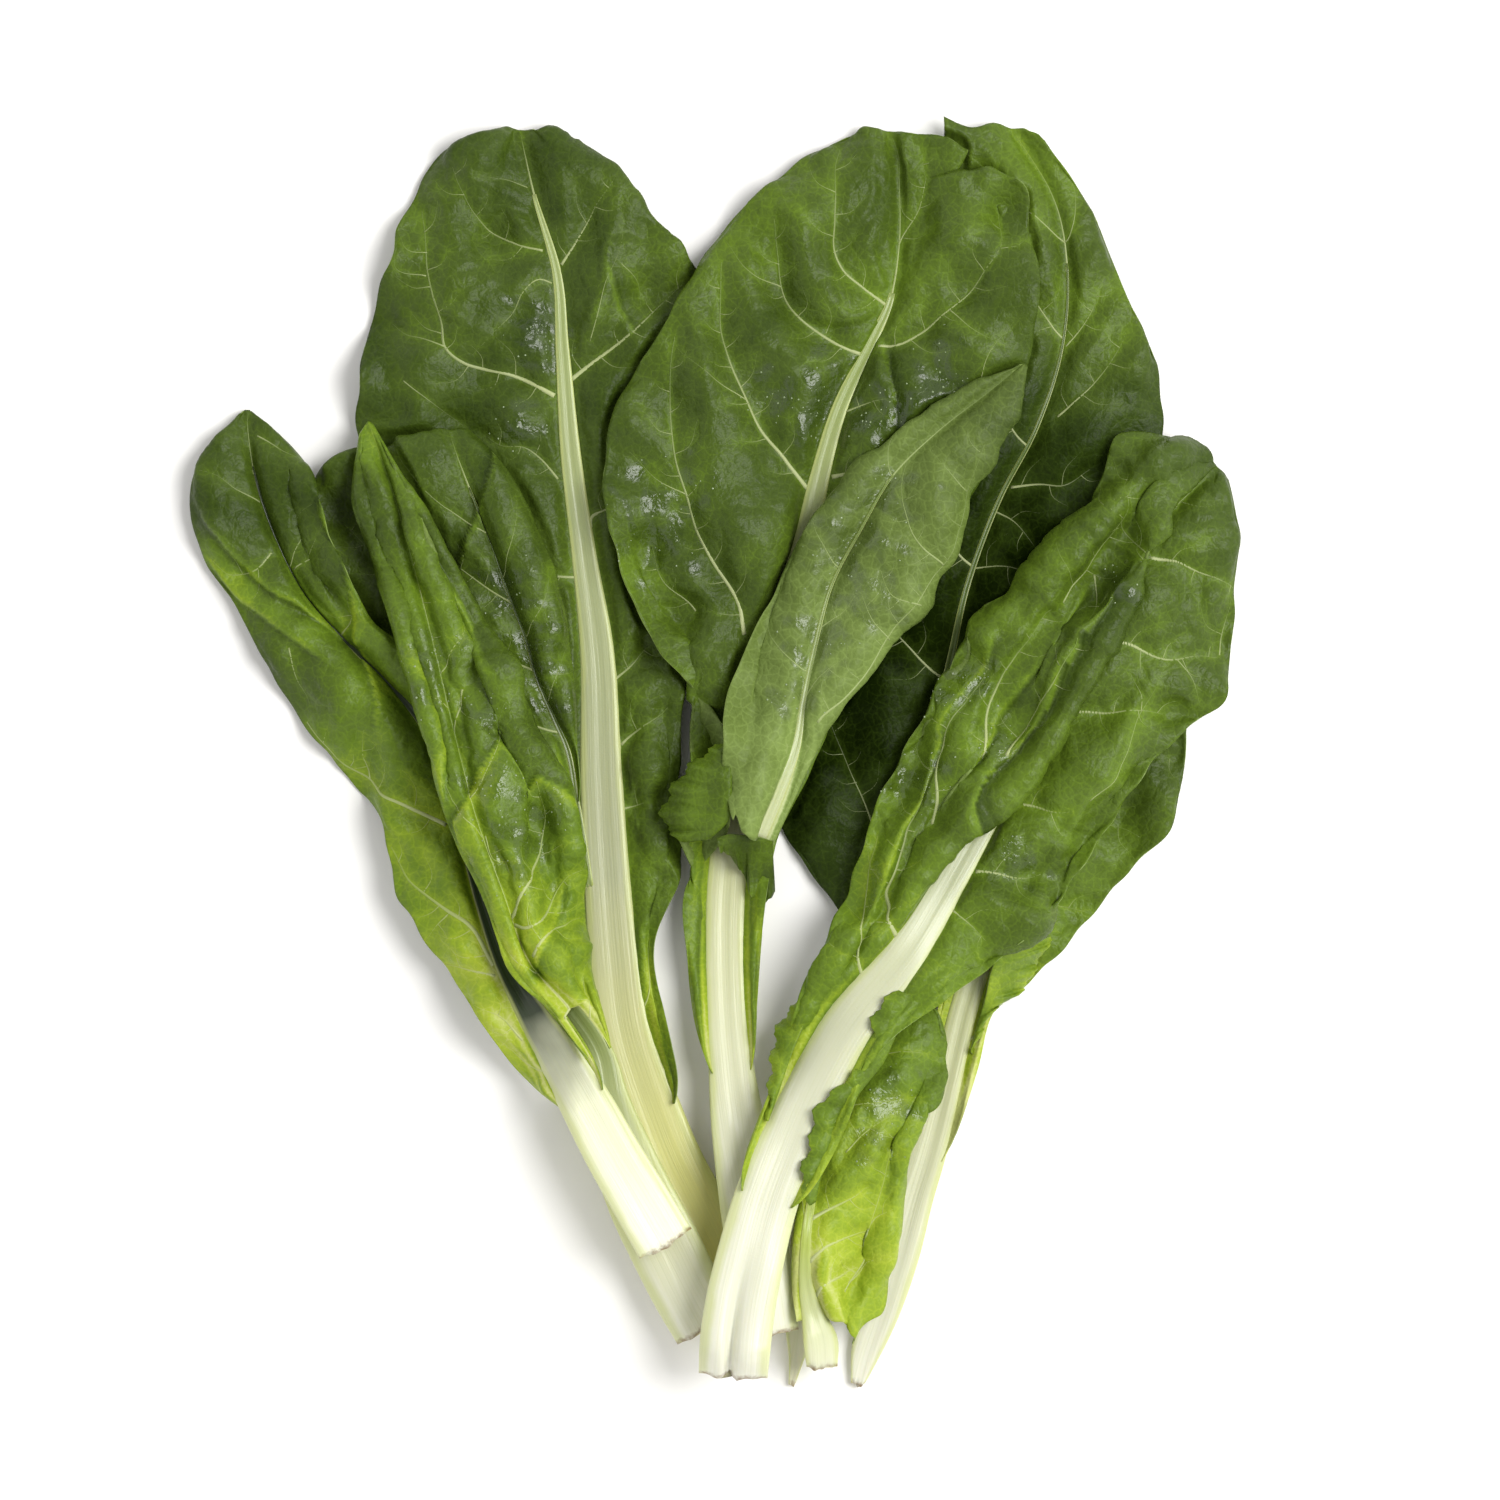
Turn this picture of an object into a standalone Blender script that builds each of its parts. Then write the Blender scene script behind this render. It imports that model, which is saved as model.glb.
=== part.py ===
"""Swiss chard: a bunch of ten loose leaves lying fanned out on a surface.

Each leaf is two solids: a white stalk that runs on as the midrib, and a green blade.
A leaf is written as a list of stations from its base to its tip. Every station gives a
point of the midrib and the points of the folds and margins to its left and right. A
smooth surface runs through them. The leaves are then laid one on another.
The tables below are in millimetres. Blender gets metres.
"""
import bpy
import bmesh
import numpy as np

MM = 0.001

# Driving dimensions
BLADE_THICKNESS = 0.8
RIB_GAP = 0.9
LAYER_GAP = 1.5
STALK_PITCH = 18.0
THIN_STALK = 2.0
STALK_FATNESS = 0.62
UNDERSIDE = 0.88
CELL = 2.5
DRAPE_CELLS = 6
SAMPLES_PER_EDGE = 8
BEND_RADIUS = 420.0
DROOP_WIDTH = 90.0
RIB_STEP = 2.0
RIB_BLUR = 8.0

# Outline of a stalk's section, in half widths across and in heights up
STALK_SECTION = (
    (0.0, 0.07), (0.55, 0.12), (1.0, 0.02), (0.88, -0.45), (0.42, -UNDERSIDE),
    (-0.42, -UNDERSIDE), (-0.88, -0.45), (-1.0, 0.02), (-0.55, 0.12),
)

BLADE_GREEN = (0.075, 0.16, 0.035, 1.0)
UNDERSIDE_GREEN = (0.16, 0.28, 0.09, 1.0)
STALK_CREAM = (0.82, 0.83, 0.66, 1.0)


class Leaf:
    """One leaf: its petiole below the blade, then the stations of the blade."""

    def __init__(self, name, grid, wave, petiole, stations, underside_up=False):
        self.name = name
        self.rows, self.left_columns, self.right_columns = grid
        self.wave_height, self.wave_length, self.wave_start = wave
        self.petiole = np.array(petiole, float)
        self.rib = np.array([station[0] for station in stations], float)
        self.left = [station[1] for station in stations]
        self.right = [station[2] for station in stations]
        self.underside_up = underside_up


# A rib point is x, y, lift over the surface below and half width. A blade point is
# x, y, z, or just two numbers: how far outside the rib's edge, and how far above it.

BACK_LEFT = Leaf(
    "back_left", (22, 7, 7), (1.6, 46.0, 0.4),
    [(11, -205, 0, 13.2), (3, -188, 0, 13.4), (-7, -168, 0, 13.0), (-17, -148, 0, 12.4)],
    [
        ((-24, -130, 0, 11.8), [(0.6, 0), (1.2, 0), (1.8, 0.3), (2.4, 0.5)],
         [(0.8, 0), (1.6, 0.5), (2.4, 1), (3.2, 1.5)]),
        ((-33.5, -100, 0, 10.3), [(1, 0), (2, 0), (3, 0.5), (4, 1)],
         [(1.3, 0.5), (2.6, 0.5), (3.9, 1), (5.2, 1.5)]),
        ((-37, -70, 0, 9), [(2, 0), (4, 0), (6, -1), (8, -2)],
         [(1.3, 0.5), (2.7, 0), (4, 0.5), (5.4, 1)]),
        ((-38.8, -48, 0, 8.3), [(3, -1), (6, -2), (10, -3), (14, -4)],
         [(4, -1), (8, -2), (12, -2), (16.5, -1)]),
        ((-41, -10, 1, 7.6), [(-56, -9, 5), (-62, -8, 4), (-68, -6, 3), (-74, -4, 2)],
         [(-30, -8, 6), (-24.5, -7, 9), (-19, -6, 5), (-13, -6, 4)]),
        ((-42.5, 35, 2, 6.2), [(-57, 36, 8), (-70, 36, 5), (-84, 36, 4), (-98, 35, 2)],
         [(-31, 38, 7), (-25, 40, 6), (-17, 42, 5), (-9, 44, 4)]),
        ((-47.5, 73, 4, 4.5), [(-63, 76, 9), (-82, 78, 6), (-100, 78, 5), (-118, 76, 2)],
         [(-37, 76, 9), (-29, 80, 7), (-17, 84, 6), (-4, 88, 4)]),
        ((-52.3, 110, 6, 3.6), [(-70, 114, 10), (-90, 118, 8), (-110, 118, 6), (-129, 112, 2)],
         [(-38, 113, 11), (-26, 118, 9), (-12, 122, 7), (2, 126, 4)]),
        ((-55, 145, 7, 2.5), [(-72, 150, 9), (-90, 153, 10), (-108, 152, 8), (-126, 147, 3)],
         [(-40, 148, 10), (-27, 151, 9), (-13, 154, 7), (2, 157, 4)]),
        ((-57.3, 174, 7, 1.7), [(-73, 178, 8), (-89, 180, 10), (-104, 178, 10), (-119, 172, 3)],
         [(-45, 178, 9), (-34, 181, 10), (-21, 182, 7), (-9, 178, 3)]),
        ((-65, 200, 6, 0.8), [(-76, 199, 7), (-88, 199, 9), (-100, 199, 8), (-110.5, 197, 3)],
         [(-52, 201, 8), (-42, 201, 8), (-32, 199, 6), (-24, 192.5, 3)]),
        ((-68.5, 215, 4, 0), [(-76, 213, 5), (-84, 215, 7), (-92, 216, 6), (-98, 216, 2)],
         [(-58, 214, 6), (-50, 213, 7), (-43, 211, 5), (-36, 207.5, 2)]),
        ((-70.5, 224.5, 2, 0),
         [(-72.5, 224.8, 2), (-74.5, 225, 2), (-77, 225, 1.5), (-79.5, 224.8, 1)],
         [(-66, 224, 2.5), (-62.5, 224, 3), (-60, 222.5, 2.5), (-57.5, 219.5, 1.5)]),
    ],
)

BACK_RIGHT = Leaf(
    "back_right", (18, 5, 5), (1.8, 50.0, 1.0),
    [(27.8, -228, 0, 1.2), (29.5, -218, 0, 3.0), (31, -205, 0, 6), (34, -188, 0, 8),
     (39, -160, 0, 8.5), (45, -130, 0, 8.5), (51, -100, 0, 8.2)],
    [
        ((58, -72, 0, 6.6), [(1.5, -1), (3, -2), (46, -63, 2)], [(0.5, -0.5), (1, -1), (1.6, -1.5)]),
        ((65, -42, 0, 4.8), [(52, -38, 5), (38, -35, 3), (27, -33, 1.2)],
         [(71, -46, 4), (78, -47, 3), (85, -48, 2)]),
        ((73, -8, 1, 2.6), [(57, -2, 5), (37, -2, 3), (20, -5, 1.5)],
         [(80, -10, 5), (92, -12, 3), (104, -14, 2)]),
        ((83, 25, 2, 1.6), [(65, 28, 7), (44, 24, 4), (25, 18, 2)],
         [(92, 24, 7), (108, 22, 4), (124, 20, 2)]),
        ((91, 60, 3, 1.1), [(75, 64, 8), (56, 62, 5), (38, 56, 3)],
         [(106, 58, 8), (125, 56, 5), (143, 54, 2)]),
        ((103, 92, 4, 0.9), [(87, 97, 9), (71, 96, 6), (56, 92, 3)],
         [(121, 90, 9), (139, 89, 6), (156, 86, 2)]),
        ((116, 117, 5, 0.8), [(101, 124, 10), (86, 124, 7), (73, 120, 3)],
         [(132, 117, 9), (147, 117, 7), (161.5, 115, 2)]),
        ((125, 145, 5, 0.6), [(112, 151, 10), (99, 152, 7), (86, 150, 3)],
         [(137, 145, 8), (148, 145, 6), (158.5, 142, 2)]),
        ((127, 175, 5, 0.4), [(114, 180, 9), (101, 181, 7), (88, 180, 3)],
         [(133, 174, 8), (140, 174, 6), (146, 170, 2)]),
        ((122, 200, 4, 0), [(110, 204, 7), (98, 207, 5), (85, 206, 3)],
         [(125, 200, 6), (130, 200, 4), (135.5, 196, 2)]),
        ((107, 225, 2, 0), [(101, 226.5, 3), (92, 224.5, 4), (82, 229, 3)],
         [(111, 225, 3), (115, 223.5, 3), (119, 220.5, 2)]),
    ],
)

RIGHT_UNDER = Leaf(
    "right_under", (16, 4, 5), (1.2, 38.0, 0.0),
    [(51.5, -228, 0, 2.5), (54, -218, 0, 5), (59, -203, 0, 7), (66, -180, 0, 8),
     (71.5, -160, 0, 7.4)],
    [
        ((76, -146, 0, 7), [(0.2, 0), (0.4, 0), (0.6, 0)], [(0.3, 0), (0.6, 0), (0.9, 0)]),
        ((81, -128, 0, 6.2), [(0.3, 0), (0.6, 0), (1, 0)], [(0.7, 0.3), (1.5, 0.5), (2.3, 0)]),
        ((85, -112, 0, 5.4), [(0.7, 0), (1.4, 0), (2, 0)], [(1.2, 0.5), (2.5, 1), (3.8, 0)]),
        ((90, -92, 0, 5), [(1, 0), (2, -0.5), (3.5, -1)], [(1.5, 0.5), (3, 1), (4.5, 0)]),
        ((98, -68, 0, 5), [(91, -65, 5), (89, -63.5, 4), (86.5, -62, 2)],
         [(104, -73, 6), (107.5, -79, 4), (111.3, -84.5, 1.5)]),
        ((110, -40, 0, 4.6), [(104, -37, 5), (98, -33, 4), (92, -29, 2)],
         [(117, -50, 7), (124, -59, 5), (130.5, -66, 1.5)]),
        ((124, -12, 1, 4), [(116, -6, 6), (108, -1, 4), (100, 3, 2)],
         [(133, -22, 8), (142, -32, 6), (150.5, -41, 2)]),
        ((137, 14, 1.5, 3), [(129, 20, 6), (120, 26, 4), (111, 31, 2)],
         [(147, 0, 8), (157, -14, 6), (164, -27.5, 1.5)]),
        ((147, 36, 1.5, 2), [(140, 42, 5), (133, 48, 3.5), (126, 53, 2)],
         [(156, 22, 7), (163, 8, 5), (169, -6, 1.5)]),
        ((153, 52, 1, 0), [(149, 56, 3), (144, 60, 2.5), (139, 64, 1.5)],
         [(159, 38, 5), (165, 25, 3.5), (170, 12, 1.5)]),
        ((156, 60, 0.5, 0), [(155, 61, 1.5), (153.5, 62, 1.3), (152, 63, 1.2)],
         [(160, 52, 2), (164, 44, 1.5), (168, 36, 1.2)]),
    ],
)

LEFT_BACK = Leaf(
    "left_back", (14, 5, 4), (1.0, 40.0, 0.7),
    [(-46, -48, 0, 2.2), (-48, -32, 0, 1.8)],
    [
        ((-50, -18, 1, 1.3), [(-54, -20, 5), (-60, -21, 4), (-68, -22, 2)],
         [(0.5, 0), (1, 0.3), (1.5, 0.5)]),
        ((-53, 0, 2, 1.1), [(-64, -2, 7), (-77, -4, 5), (-90, -5, 2)],
         [(0.6, 0.5), (1.2, 0.8), (1.8, 0.5)]),
        ((-58, 12, 3, 1.0), [(-74, 13, 8), (-90, 14, 5), (-108, 15, 2)],
         [(-54.5, 13.5, 8), (-52, 14.5, 7), (-49.8, 15, 3)]),
        ((-64, 26, 4, 0.8), [(-84, 30, 8), (-104, 34, 5), (-125, 38, 2)],
         [(-59.5, 28, 10), (-55, 29.5, 8), (-51.2, 31, 3)]),
        ((-68, 40, 4, 0.7), [(-90, 48, 8), (-114, 56, 5), (-138, 62, 2)],
         [(-62.5, 42.5, 10), (-57.5, 45, 8), (-53.3, 47, 3)]),
        ((-74, 56, 5, 0.6), [(-96, 65, 9), (-120, 76, 6), (-145, 85, 2)],
         [(-68, 59.5, 11), (-62.5, 63, 8), (-57.5, 65, 3)]),
        ((-81, 76, 6, 0.5), [(-101, 84, 9), (-122, 94, 6), (-143, 101, 2)],
         [(-76, 79.5, 10), (-70.5, 82.5, 8), (-65.5, 84.5, 3)]),
        ((-88, 94, 6, 0.4), [(-102, 100, 8), (-117, 105, 6), (-131, 109, 2)],
         [(-84, 97, 8), (-79, 99.5, 7), (-74, 100.5, 3)]),
        ((-93, 107, 5, 0), [(-100, 110, 6), (-108, 111, 5), (-116, 110, 2)],
         [(-89.5, 108.5, 6), (-85.5, 109.5, 5), (-81, 109, 3)]),
        ((-96, 116, 3, 0), [(-98, 116.3, 3), (-100.5, 116.2, 2.5), (-103, 115.5, 2)],
         [(-93.5, 116.3, 3), (-91, 116.3, 2.5), (-88.5, 116, 2)]),
    ],
)

LEFT_INNER = Leaf(
    "left_inner", (20, 7, 7), (1.4, 36.0, 0.2),
    [(-3, -207, 0, 12), (-10, -194, 0, 12.6), (-18, -178, 0, 12.8), (-27, -160, 0, 12.2),
     (-34, -142, 0, 10.5), (-38, -126, 0, 7.5)],
    [
        ((-41.5, -108, 0.5, 4.8), [(0.2, 0), (0.4, 0), (0.6, 0), (0.8, 0)],
         [(0.6, 0.3), (1.2, 0.5), (1.8, 0.5), (2.4, 0)]),
        ((-52, -92, 1, 3.4), [(0.4, 0.3), (0.8, 0.5), (1.2, 0.5), (1.6, 0)],
         [(2.5, 2), (4.5, 1), (6.5, 3), (8.5, 1)]),
        ((-66, -76, 4, 0), [(-68, -77, 9), (-69.5, -77.5, 8), (-71, -78.5, 6), (-73, -79.5, 5)],
         [(-61, -72, 12), (-56, -69, 8), (-51, -66, 11), (-46, -64, 6)]),
        ((-76, -50, 8, 0), [(-77.5, -51, 12), (-79, -52, 10), (-80.3, -53.5, 8), (-82, -55, 6)],
         [(-68, -46, 15), (-60, -43, 10), (-53, -40, 13), (-46.5, -38, 6)]),
        ((-86, -22, 11, 0), [(-88, -22.5, 15), (-90.5, -23, 13), (-93, -24, 10), (-96, -25, 8)],
         [(-77, -18, 17), (-67, -15, 11), (-58, -13, 14), (-51, -15, 7)]),
        ((-93, 5, 12, 0), [(-95.5, 4, 16), (-98, 3, 12), (-100.5, 1.5, 14), (-103, 0, 10)],
         [(-86, 8, 17), (-78, 10, 12), (-70, 10, 14), (-61.5, 6, 8)]),
        ((-100, 34, 12, 0), [(-103, 32, 15), (-106, 30, 11), (-108.5, 28, 13), (-111, 26, 9)],
         [(-94, 36, 16), (-88, 37, 11), (-81, 37, 13), (-75, 35, 8)]),
        ((-107, 62, 10, 0), [(-110, 59.5, 13), (-113, 57, 10), (-115.5, 54, 12), (-118, 51, 9)],
         [(-102.5, 63, 14), (-98, 63.5, 11), (-93.5, 63, 12), (-90, 60, 8)]),
        ((-114, 88, 7, 0), [(-118, 85.5, 10), (-121.5, 83, 8), (-124.5, 80.5, 9), (-127, 78, 7)],
         [(-111, 87.5, 11), (-108, 87, 9), (-105.5, 86, 10), (-103, 83, 7)]),
        ((-120, 106, 4, 0), [(-123, 103, 6), (-126, 100, 5), (-129, 97, 6), (-131, 94, 5)],
         [(-118, 105, 7), (-116.5, 104, 6), (-115, 103, 6), (-113.5, 101, 5)]),
        ((-125, 119, 2, 0),
         [(-125.5, 118.5, 3), (-126.2, 117.5, 3), (-127, 116, 3), (-128, 114.5, 3)],
         [(-124.3, 118.8, 3), (-123.6, 118.3, 3), (-123, 117.5, 3), (-122.3, 116.5, 3)]),
    ],
)

LEFT_OUTER = Leaf(
    "left_outer", (22, 6, 6), (1.2, 42.0, 2.0),
    [(-17.5, -176.5, 0, 10.6), (-26, -162, 0, 10.4), (-35.5, -146, 0, 10)],
    [
        ((-47, -125, 0, 9.2), [(0.7, 0), (1.4, 0), (2, 0)], [(0.7, 0), (1.4, 0), (2, 0), (2.6, 0)]),
        ((-57, -108, 0, 7.6), [(2.5, 0.5), (5, 0.5), (7.5, -1)],
         [(0.7, 0.5), (1.4, 0.5), (2, 0), (2.6, 0)]),
        ((-67, -92, 1, 5.4), [(3.5, 1), (7, 1), (11, -1.5)], [(1, 1), (2, 1), (3, 0.5), (4, 0)]),
        ((-76, -76, 2, 3.4), [(-82, -80, 7), (-87, -82.5, 6), (-93, -83, 2)],
         [(-73, -74, 8), (-71, -71, 7), (-69, -69, 5), (-67, -66, 3)]),
        ((-83, -57, 3, 2.6), [(-89, -59.5, 8), (-96, -63.5, 7), (-104, -68, 2)],
         [(-80, -54, 8), (-78.5, -50, 8), (-77, -46, 6), (-75.5, -42, 4)]),
        ((-89, -36, 3, 2.2), [(-96, -40, 8), (-105, -44.5, 7), (-115.5, -48, 2)],
         [(-86, -33, 7), (-84, -29, 7), (-82, -25, 6), (-80, -21, 4)]),
        ((-95, -14, 3, 2), [(-103, -18, 9), (-111, -22.5, 8), (-119.3, -27, 2)],
         [(-91.5, -11.5, 7), (-89, -9, 7), (-87, -6, 6), (-85, -3, 4)]),
        ((-104, 8, 4, 1.8), [(-113, 3, 10), (-122, -3, 9), (-132.5, -9, 2)],
         [(-100.5, 11, 8), (-98.5, 14, 8), (-97, 17, 7), (-96, 20, 4)]),
        ((-118, 25, 4, 1.2), [(-127, 19, 11), (-137, 13, 9), (-147, 8, 2)],
         [(-114.5, 28.5, 10), (-112, 31, 13), (-110, 33, 14), (-108.5, 35, 12)]),
        ((-133, 40, 4, 1.0), [(-141, 36, 10), (-151, 32.5, 8), (-161, 30, 2)],
         [(-130.5, 43, 9), (-128, 45.5, 12), (-126, 47, 15), (-123.5, 48, 14)]),
        ((-148, 57, 5, 0.8), [(-156, 55.5, 9), (-165, 54, 7), (-172.5, 52, 2)],
         [(-144, 60, 8), (-140, 61.5, 8), (-136.5, 62, 14), (-130, 60, 15)]),
        ((-160, 81, 5, 0.6), [(-168, 80, 9), (-177, 77, 7), (-186, 73, 3)],
         [(-154.5, 83, 9), (-149, 84, 7), (-144, 83, 13), (-138.5, 78, 14)]),
        ((-166.5, 102, 4, 0.4), [(-173, 103, 7), (-181, 102, 7), (-188.5, 98, 3)],
         [(-160, 102.5, 8), (-153.5, 102, 7), (-148, 100, 9), (-144, 96, 8)]),
        ((-168.5, 115, 3, 0), [(-172.5, 115, 4), (-177, 113.5, 4), (-182, 110.5, 2)],
         [(-163, 113.5, 5), (-158, 111, 5), (-154, 109.5, 4), (-150.5, 108, 3)]),
        ((-169, 123.5, 1.5, 0), [(-170, 123.3, 2), (-171.5, 122, 2), (-173, 120, 1.5)],
         [(-168.2, 123.3, 2), (-167.4, 122.6, 2), (-166.5, 121.8, 2), (-165.5, 121, 1.5)]),
    ],
)

CENTRE = Leaf(
    "centre", (26, 8, 7), (1.6, 48.0, 0.5),
    [(19.5, -209, 0, 10.5), (18, -198, 0, 11.2), (15, -175, 0, 11.4), (11, -150, 0, 10.6),
     (7.5, -128, 0, 9.2)],
    [
        ((6, -115, 0, 8.2), [(0.4, 0.2), (0.8, 0.4), (1.2, 0.4), (1.5, 0.2)],
         [(0.3, 0.2), (0.6, 0.4), (0.9, 0.4), (1.2, 0.2)]),
        ((4.3, -95, 0, 7.4), [(1, 1), (2, 1.5), (3, 1), (4, 0)],
         [(0.7, 1), (1.4, 1.5), (2.1, 1), (2.8, 0)]),
        ((3.5, -75, 0, 7.2), [(1.4, 1), (2.8, 1.5), (4.2, 1), (5.4, 0)],
         [(1.2, 1), (2.4, 1.5), (3.5, 1), (4.6, 0)]),
        ((4, -50, 0, 7.2), [(1.7, 1), (3.4, 2), (5, 3), (6.6, 3)],
         [(1.8, 1), (3.5, 2), (5.1, 2), (6.6, 1.5)]),
        ((6.5, -28, 1, 7), [(-8, -27, 9), (-19, -26, 13), (-8, -27, 22), (4, -29, 24)],
         [(17, -28, 7), (19, -28, 6), (21, -29, 5), (23, -30, 4)]),
        ((12, -2, 2, 6.6), [(-4, -4, 10), (-14.5, -6, 14), (-7, -5, 20), (5, 2, 22)],
         [(22, -4, 9), (26, -6, 8), (30, -8, 6), (33, -10, 4)]),
        ((22, 40, 4, 6), [(8, 41, 14), (-2, 40, 9), (-10.5, 40, 4), (-22.5, 40, 9)],
         [(33, 36, 11), (38, 33, 10), (44, 30, 7), (50, 27, 4)]),
        ((33, 76, 5, 4.8), [(18, 74, 16), (-2, 71, 15), (-26, 67, 5), (-35.5, 71, 9)],
         [(45, 72, 13), (54, 68, 12), (64, 64, 9), (74, 60, 5)]),
        ((37.5, 98, 6, 3.7), [(20, 100, 14), (-2, 98, 16), (-26, 93, 8), (-40, 94, 6)],
         [(52, 95, 14), (64, 92, 13), (76, 89, 10), (88, 86, 6)]),
        ((45, 124, 7, 2.9), [(27, 130, 12), (7, 130, 16), (-16, 126, 10), (-36.5, 122, 4)],
         [(62, 121, 15), (77, 119, 14), (91, 116, 12), (104, 112, 8)]),
        ((57, 149, 7, 2.1), [(38, 157, 12), (19, 160, 15), (-2, 156, 11), (-20, 151, 4)],
         [(73, 147, 14), (87, 147, 15), (101, 146, 13), (113.5, 144, 8)]),
        ((63.5, 164, 7, 1.2), [(47, 176, 11), (30, 182, 14), (11, 181, 10), (-5, 177, 4)],
         [(78, 165, 12), (91, 166, 15), (104, 167, 13), (116.5, 166, 8)]),
        ((66.5, 185, 6, 0), [(54, 194, 9), (40, 200, 12), (26, 202, 8), (12, 198, 3)],
         [(79, 186, 10), (90, 187, 13), (102, 187, 12), (113.5, 186, 8)]),
        ((66.5, 205, 4, 0), [(58, 208, 7), (49, 212, 8), (41, 214, 6), (32, 214, 3)],
         [(75, 204, 8), (85, 205, 10), (96, 207, 9), (107, 207, 6)]),
        ((66, 216, 3, 0), [(60, 217.5, 5), (54, 218.5, 5), (48, 219.5, 4), (41, 219, 2.5)],
         [(71, 212, 6), (76, 208, 7), (81, 205, 7), (86, 203, 6)]),
        ((63, 224, 2, 0), [(60.5, 224, 3), (57, 224, 3), (53, 223, 2.5), (48, 222, 2)],
         [(67, 223.5, 4), (72, 222.5, 5), (79, 221.5, 5), (91, 217, 5)]),
    ],
)

SMALL_RIGHT = Leaf(
    "small_right", (14, 4, 7), (1.0, 30.0, 0.0),
    [(38.5, -221, 0, 5.5), (38, -212, 0, 6.2)],
    [
        ((35.5, -203, 1, 4.4), [(0.4, 0), (0.8, -0.3), (1.2, -0.6)],
         [(43, -204, 8), (45.5, -206, 6), (48, -209, 7), (50.5, -212.5, 4)]),
        ((33, -193, 5, 2.8), [(0.6, -0.6), (1.1, -1.2), (1.5, -2)],
         [(41, -193, 12), (48.5, -195, 7), (53, -199, 10), (56.5, -203, 4)]),
        ((32.5, -178, 8, 2.0), [(0.7, -1), (1.3, -2), (1.8, -3)],
         [(43, -179, 14), (53, -180, 8), (59, -184, 11), (63.5, -188, 5)]),
        ((34.5, -162, 8, 1.7), [(0.7, -1), (1.3, -2), (1.8, -3)],
         [(46.5, -163, 15), (57, -165, 9), (62.5, -168, 12), (67, -172, 6)]),
        ((38, -146, 8, 1.5), [(0.7, -1), (1.3, -2), (1.8, -3)],
         [(53, -149, 15), (61, -152, 10), (65.5, -155, 12), (69.5, -159, 7)]),
        ((43.5, -130, 7, 1.3), [(0.7, -1), (1.3, -2), (1.8, -3)],
         [(61, -133, 14), (65.5, -136, 10), (68, -141, 11), (70, -147, 8)]),
        ((52.5, -114, 6, 1.0), [(0.7, -1), (1.2, -1.5), (1.6, -2)],
         [(70, -116, 12), (73, -120, 9), (74.5, -126, 9), (72, -134, 8)]),
        ((64, -99, 5, 0), [(63.5, -98, 5), (63, -97.2, 4.5), (62.5, -96.5, 4)],
         [(76.5, -102, 9), (79.5, -106, 7), (82, -112, 7), (83.5, -121, 6)]),
        ((73, -89.5, 4, 0), [(72.6, -88.9, 4.5), (72.3, -88.4, 3.9), (72, -88, 3.4)],
         [(75.5, -90, 5), (78, -92.5, 5), (80.5, -96.5, 4.5), (82.5, -101, 4)]),
    ],
)

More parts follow.
